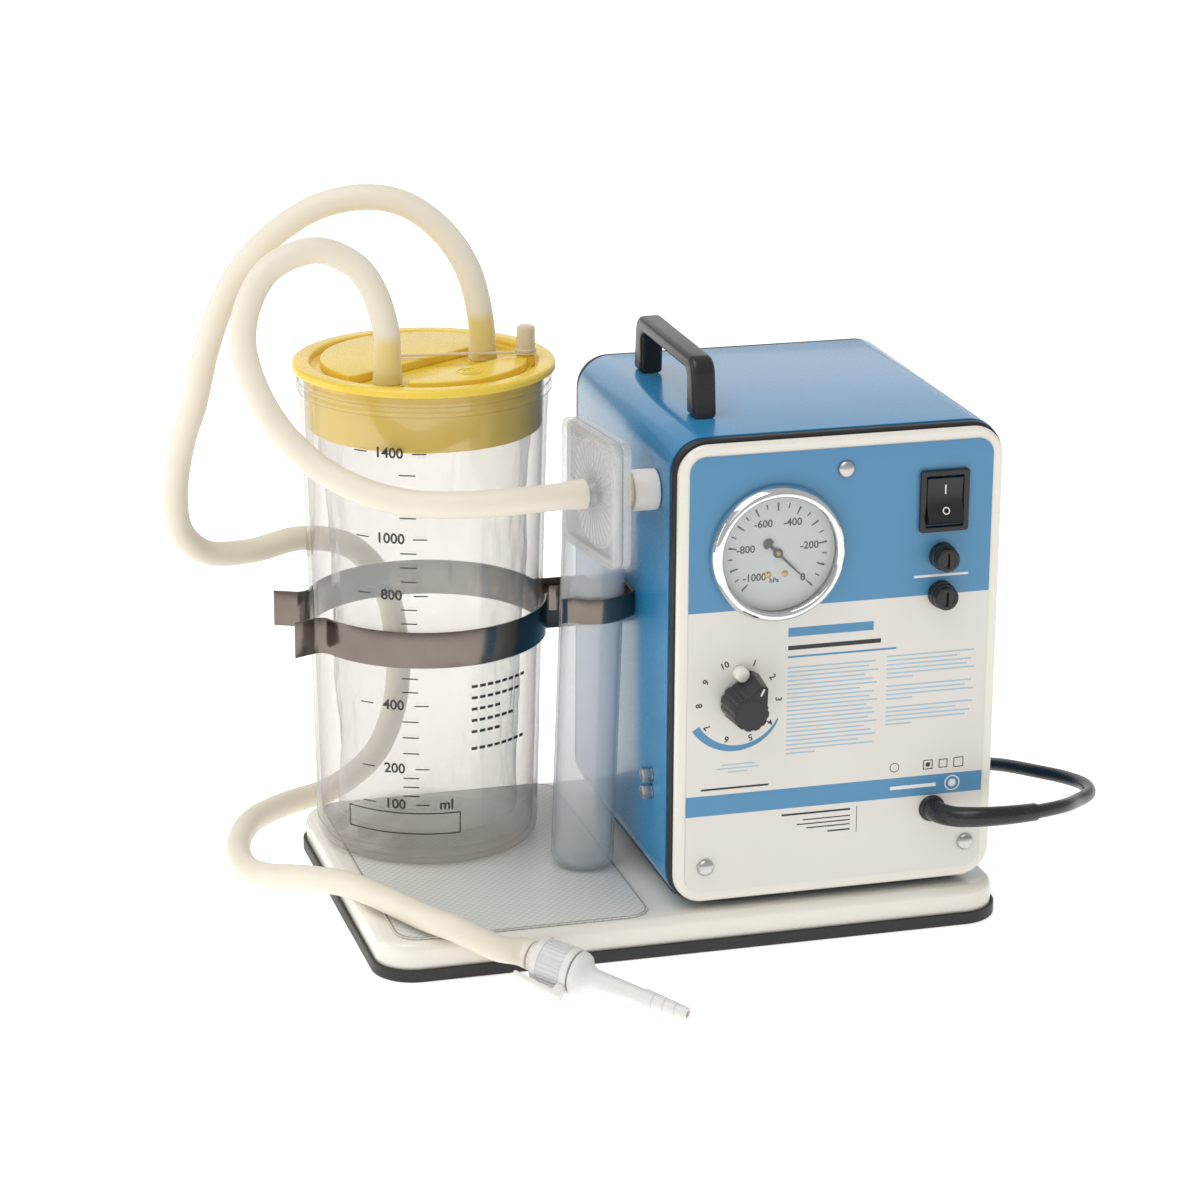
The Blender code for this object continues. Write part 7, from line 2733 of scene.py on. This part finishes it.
LEAD_ROUTE: list[Point] = [
    (0.1860, -0.1070, 0.0605),
    (0.2000, -0.0910, 0.0560),
    (0.2140, -0.0740, 0.0525),
    (0.2195, -0.0560, 0.0500),
    (0.2170, -0.0360, 0.0470),
    (0.2090, -0.0160, 0.0440),
    (0.2000, 0.0100, 0.0390),
    (0.1910, 0.0400, 0.0300),
    (0.1830, 0.0700, 0.0180),
    (0.1700, 0.0950, 0.0080),
    (0.1450, 0.1110, 0.0040),
    (0.1220, 0.1125, 0.0038),
    (0.1005, 0.1125, 0.0038),
    (0.0750, 0.1125, 0.0038),
]


@dataclass
class SuctionValve(SubAssembly):
    """The hand valve on the patient hose: body, turning sleeve with its lever, and nozzle."""

    body: str = "lid"
    start: Point = (-0.0889, -0.1185, 0.0152)
    tip: Point = (-0.0296, -0.1785, 0.0040)
    drum: float = 11.5 * MM
    drum_start: float = 3.6 * MM
    drum_length: float = 20.5 * MM
    head: float = 10.8 * MM
    head_length: float = 5.5 * MM
    nozzle_base: float = 6.0 * MM
    steps: int = 4
    step_length: float = 6.0 * MM
    neck: float = 4.6 * MM
    tip_radius: float = 3.4 * MM
    bore: float = 1.8 * MM
    lever_half: float = 3.0 * MM
    lever_thick: float = 2.6 * MM
    lever_turn: float = -28.0

    def build(self) -> None:
        """Build the body, the sleeve and the lever."""
        run = Vector(self.tip) - Vector(self.start)
        frame = run.to_track_quat("Z", "Y").to_matrix().to_4x4()
        plane = Matrix.Translation(self.start) @ frame
        length = run.length
        head_start = self.drum_start + self.drum_length + 0.6 * MM
        head_end = head_start + self.head_length
        stepped = length - self.steps * self.step_length
        profile: Outline = [(self.bore, length)]
        for step in range(self.steps):
            far = length - step * self.step_length
            near = far - self.step_length
            radius = self.tip_radius + (self.neck - self.tip_radius) * step / (self.steps - 1)
            profile += [
                (radius - 0.75 * MM, far),
                (radius - 0.35 * MM, far - 0.4 * MM),
                (radius, near + 0.6 * MM),
                (radius - 0.1 * MM, near + 0.15 * MM),
                (radius - 0.4 * MM, near + 0.02 * MM),
            ]
        profile += [
            (self.neck - 0.6 * MM, stepped),
            (self.nozzle_base - 1.0 * MM, head_end + 4.0 * MM),
            (self.nozzle_base, head_end + 1.6 * MM),
            (self.nozzle_base + 1.0 * MM, head_end + 0.3 * MM),
            (self.head - 2.6 * MM, head_end - 0.6 * MM),
            (self.head - 0.9 * MM, head_end - 1.8 * MM),
            (self.head - 0.1 * MM, head_end - 3.4 * MM),
            (self.head, head_start + 0.5 * MM),
            (self.head - 0.5 * MM, head_start),
            (8.5 * MM, head_start),
            (8.5 * MM, 3.0 * MM),
            (7.2 * MM, 2.8 * MM),
            (7.2 * MM, 0.2 * MM),
            (7.0 * MM, 0.0),
            (self.bore, 0.0),
            (self.bore, length),
        ]
        body = lathed("valve_moulding", profile, plane, 72)
        self.keep(body, VALVE_POLYPROPYLENE, "valve_body")
        self.sleeve(plane, frame)

    def sleeve(self, plane: Matrix, frame: Matrix) -> None:
        """Build the sleeve, its finger ribs, boss and lever.

        Args:
            plane: the valve's own plane, depth along it.
            frame: the turn part of that plane.
        """
        end = self.drum_start + self.drum_length
        bore = 9.1 * MM
        profile = [
            (bore, end),
            (self.drum - 0.5 * MM, end),
            (self.drum, end - 0.5 * MM),
            (self.drum, end - 3.4 * MM),
            (self.drum - 0.6 * MM, end - 3.9 * MM),
            (self.drum - 0.6 * MM, self.drum_start + 4.2 * MM),
            (self.drum, self.drum_start + 3.7 * MM),
            (self.drum, self.drum_start + 1.2 * MM),
            (self.drum - 1.1 * MM, self.drum_start),
            (bore, self.drum_start),
            (bore, end),
        ]
        drum = lathed("valve_drum", profile, plane, 72)
        along = (frame.to_3x3() @ Vector((0.0, 0.0, 1.0))).normalized()
        level = Vector((along.y, -along.x, 0.0)).normalized()
        out = Matrix.Rotation(math.radians(-self.lever_turn), 3, along) @ level
        across = out.cross(along)
        side = Matrix.Translation(self.start) @ Matrix((out, along, across)).transposed().to_4x4()
        inner, outer = self.drum - 1.5 * MM, self.drum + 6.5 * MM
        back = self.drum + 3.5 * MM
        outline = filleted(
            [
                (inner, end - 4.0 * MM, 0.0),
                (inner, end, 0.0),
                (outer - 0.4 * MM, end + 0.8 * MM, 1.2 * MM),
                (outer, end - 1.0 * MM, 1.0 * MM),
                (back, self.drum_start - 6.0 * MM, 1.0 * MM),
                (back - self.lever_thick, self.drum_start - 6.0 * MM, 1.0 * MM),
                (outer - self.lever_thick - 0.4 * MM, end - 4.0 * MM, 1.5 * MM),
            ]
        )
        lever = cut_out(
            "valve_lever", [outline], -self.lever_half, self.lever_half, side, 0.5 * MM, 2
        )
        pieces = [drum, lever]
        rib = cut_out(
            "grip", [[(-0.35 * MM, 0.0), (0.35 * MM, 0.0), (0.35 * MM, 12.0 * MM), (-0.35 * MM, 12.0 * MM)]],
            self.drum - 0.9 * MM,
            self.drum - 0.1 * MM,
            None,
            0.15 * MM,
            1,
        )
        for index in range(30):
            spin = Matrix.Rotation(2 * math.pi * index / 30, 4, "Z")
            lay = Matrix.Translation((0.0, 0.0, self.drum_start + 4.3 * MM))
            turned = plane @ spin @ lay @ Matrix.Rotation(math.pi / 2, 4, "X")
            pieces.append(copied(rib, f"grip_{index}", turned))
        bpy.data.objects.remove(rib)
        sleeve = joined("valve_sleeve_moulding", pieces)
        self.keep(sleeve, VALVE_POLYPROPYLENE, "valve_sleeve", body="valve")


@dataclass
class Hoses(SubAssembly):
    """The vacuum hose from lid to filter, and the patient hose from lid to valve."""

    body: str = "lid"
    radius: float = 6.5 * MM
    spacing: float = 3.0 * MM
    flare: float = 0.13
    flare_length: float = 13.0 * MM
    vacuum_start: Point = (-0.1277, 0.0121, 0.2680)
    patient_start: Point = (-0.0713, 0.0470, 0.2680)

    def build(self) -> None:
        """Build both hoses."""
        axis = Vector((-math.cos(math.radians(8.0)), -math.sin(math.radians(8.0)), 0.0))
        filter_middle = middle_of("filter_membrane")
        spigots = tuple((x, y, 0.276) for x, y, _ in (self.vacuum_start, self.patient_start))
        silicone = Hose("milky_silicone_hose", "silicone", spigots=spigots, reach_mm=18.0)
        end = filter_middle + axis * 6.4 * MM
        before = filter_middle + axis * 14.0 * MM
        path = smooth_path([self.vacuum_start, *VACUUM_ROUTE, tuple(before), tuple(end)], self.spacing)
        self.hose("vacuum_hose_tube", path, silicone, "vacuum_hose", "object", [])
        valve = SuctionValve()
        run = (Vector(valve.tip) - Vector(valve.start)).normalized()
        last = Vector(valve.start) - run * 0.3 * MM
        path = smooth_path(
            [self.patient_start, *PATIENT_ROUTE, tuple(last - run * 6.0 * MM), tuple(last)],
            self.spacing,
        )
        fittings = [bpy.data.objects[name] for name in ("valve_moulding", "valve_sleeve_moulding")]
        self.hose("patient_hose_tube", path, silicone, "patient_hose", "fitting", fittings)

    def hose(
        self,
        name: str,
        path: list[Vector],
        silicone: Hose,
        node: str,
        far_end: str,
        fittings: list[bpy.types.Object],
    ) -> None:
        """Lay one hose.

        Args:
            name: the piece's name.
            path: its centreline.
            silicone: its finish.
            node: the frame's node.
            far_end: not used.
            fittings: not used.
        """
        tube = tube_curve(name, path, self.radius, self.flare, self.flare_length)
        self.keep(tube, silicone, node)


@dataclass
class MainsLead(SubAssembly):
    """The mains lead: bend relief, the cable that ends in a stored coil, and its plug."""

    radius: float = 3.5 * MM
    boot_radius: float = 5.5 * MM
    boot_end: float = 4.4 * MM
    coil: Point = (75.0 * MM, 158.0 * MM, 3.8 * MM)
    coil_outer: float = 45.5 * MM
    coil_pitch: float = 7.0 * MM
    plug_grip: float = 40.0 * MM
    plug_face: float = 14.0 * MM
    plug_radius: float = 17.5 * MM
    plug_waist: float = 12.0 * MM
    pin_radius: float = 2.4 * MM
    pin_length: float = 19.0 * MM
    pin_half_gap: float = 9.5 * MM

    def build(self) -> None:
        """Build the bend relief, the plug and the cable."""
        boot = self.boot()
        plug = self.plug()
        path = self.path()
        lead = tube_curve("mains_lead_cable", path, self.radius, 0.0, 1.0)
        self.keep(lead, PVC_SHEATH, "mains_cable", "mains_cable_coil")

    def path(self) -> list[Vector]:
        """The cable's centreline, from the bend relief through the coil to the plug."""
        route = smooth_path([*BOOT_ROUTE, *LEAD_ROUTE], 5.0 * MM)
        near, pitch = self.coil_outer, self.coil_pitch
        middle, far = near - pitch, near - 2 * pitch
        low, high = 0.0, pitch
        turns = (
            (near, low, middle, low, 0.5, 0.5),
            (middle, low, far, low, 0.5, 0.5),
            (far, low, far, high, 0.15, 0.5),
            (far, high, middle, high, 0.0, 0.5),
            (middle, high, near, high, 0.0, 0.5),
            (near, high, near, high, 0.0, 0.5),
        )
        per_turn = 36
        steps = int(per_turn * (len(turns) - 0.5))
        wound: list[Vector] = []
        for step in range(1, steps + 1):
            turn, part = divmod(step, per_turn)
            radius, level, next_radius, next_level, lag, stay = turns[turn]
            half = max(0.0, 2 * part / per_turn - 1.0)
            share = min(1.0, max(0.0, (half - lag) / stay))
            share = share * share * (3.0 - 2.0 * share)
            reach = radius + (next_radius - radius) * share
            angle = -math.pi / 2 - 2 * math.pi * step / per_turn
            wound.append(
                Vector(self.coil)
                + Vector(
                    (
                        reach * math.cos(angle),
                        reach * math.sin(angle),
                        level + (next_level - level) * share,
                    )
                )
            )
        low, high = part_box("mains_plug")
        plug_z = (low.z + high.z) / 2
        plug_y = (low.y + high.y) / 2
        tail = smooth_path(
            [
                tuple(wound[-1]),
                (self.coil[0] + 12.0 * MM, plug_y, self.coil[2] + self.coil_pitch + 1.6 * MM),
                (low.x - 4.0 * MM, plug_y, plug_z - 1.0 * MM),
                (low.x + 3.0 * MM, plug_y, plug_z),
            ],
            4.0 * MM,
        )
        return route + wound + tail[1:]

    def boot(self) -> bpy.types.Object:
        """Build the tapered bend relief where the cable leaves the panel."""
        path = smooth_path(BOOT_ROUTE, 1.1 * MM)
        path.append(path[-1] + (path[-1] - path[-2]).normalized() * 0.6 * MM)
        line = tube_curve("bend_relief", path, self.boot_radius, 0.0, 1.0)
        points = line.data.splines[0].points
        for index, point in enumerate(points):
            share = index / (len(points) - 1)
            point.radius = 1.0 + (self.boot_end / self.boot_radius - 1.0) * share
        points[-1].radius *= 0.86
        line.data.bevel_resolution = 12
        seat = -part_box("front_label")[0].y + HAIR
        spot = placed(Facing.FRONT, (BOOT_ROUTE[0][0], 0.0, BOOT_ROUTE[0][2]))
        collar = lathed(
            "relief_collar",
            [
                (self.boot_radius - 0.4 * MM, seat),
                (self.boot_radius + 1.3 * MM, seat),
                (self.boot_radius + 1.2 * MM, seat + 0.8 * MM),
                (self.boot_radius + 0.6 * MM, seat + 1.5 * MM),
                (self.boot_radius - 0.4 * MM, seat + 1.9 * MM),
                (self.boot_radius - 0.4 * MM, seat),
            ],
            spot,
            48,
        )
        boot = joined("bend_relief_moulding", [as_mesh(line), collar])
        return self.keep(boot, PVC_SHEATH, "cable_boot")

    def plug(self) -> bpy.types.Object:
        """Build the two-pin plug with its ribbed grip."""
        low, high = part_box("mains_plug")
        middle = (low + high) / 2
        plane = Matrix.Translation((low.x, middle.y, middle.z)) @ Matrix.Rotation(
            math.pi / 2, 4, "Y"
        )
        front = self.plug_grip + self.plug_face
        profile: Outline = [
            (0.0, front),
            (self.plug_radius - 1.2 * MM, front),
            (self.plug_radius - 0.3 * MM, front - 0.4 * MM),
            (self.plug_radius, front - 1.2 * MM),
            (self.plug_radius, self.plug_grip + 1.0 * MM),
            (self.plug_radius - 0.8 * MM, self.plug_grip - 0.6 * MM),
            (self.plug_waist + 1.5 * MM, self.plug_grip * 0.74),
        ]
        for step in range(5):
            near = self.plug_grip * (0.70 - 0.05 * step)
            radius = self.plug_waist + (0.6 - 0.75 * step) * MM
            profile += [
                (radius + 0.6 * MM, near),
                (radius + 0.6 * MM, near - 1.0 * MM),
                (radius, near - 1.2 * MM),
                (radius, near - 1.9 * MM),
            ]
        profile += [
            (self.radius + 2.2 * MM, self.plug_grip * 0.3),
            (self.radius + 1.2 * MM, 2.0 * MM),
            (self.radius + 1.0 * MM, 0.2 * MM),
            (self.radius - 0.6 * MM, 0.0),
            (0.0, 0.0),
        ]
        body = lathed("plug_moulding", profile, plane, 64)
        self.keep(body, PVC_SHEATH, "mains_plug")
        pin = lathed(
            "pin",
            [
                (0.0, front + self.pin_length - 1.0 * MM),
                (self.pin_radius * 0.7, front + self.pin_length - 1.2 * MM),
                (self.pin_radius, front + self.pin_length - 2.2 * MM),
                (self.pin_radius, front - 1.0 * MM),
                (0.0, front - 1.0 * MM),
            ],
            None,
            32,
        )
        pins = []
        for side in (-1.0, 1.0):
            spot = Matrix.Translation((0.0, side * self.pin_half_gap, 0.0))
            pins.append(copied(pin, f"pin_{side:+.0f}", plane @ spot))
        bpy.data.objects.remove(pin)
        self.keep(joined("plug_pins", pins), FASTENER_STEEL)
        return body


@dataclass
class InnerWorks(SubAssembly):
    """The motor and pump inside the case, carried over from the frame."""

    def build(self) -> None:
        """Dress the pump, the motor and their bracket."""
        self.dress(CAST_ALUMINIUM, "pump_housing")
        self.dress(FASTENER_STEEL, "pump_motor", "pump_bracket", "pump_shaft")


def main() -> None:
    """Load the frame, then build each sub-assembly in order."""
    logging.basicConfig(level=logging.INFO, format="%(message)s")
    for stray in list(bpy.data.objects):
        bpy.data.objects.remove(stray)
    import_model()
    Studio().build()
    valve = SuctionValve()
    valve.build()
    Hoses().build()
    MainsLead().build()
    assemblies = (
        BaseTray(),
        PumpCase(),
        FrontLabel(),
        VacuumGauge(),
        MainsSwitch(),
        FuseHolders(),
        RegulatorKnob(),
        InletFilter(),
        CollectionJar(),
        WallClips(),
        CatheterTube(),
        InnerWorks(),
    )
    for assembly in assemblies:
        assembly.build()
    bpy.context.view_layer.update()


if __name__ == "__main__":
    main()
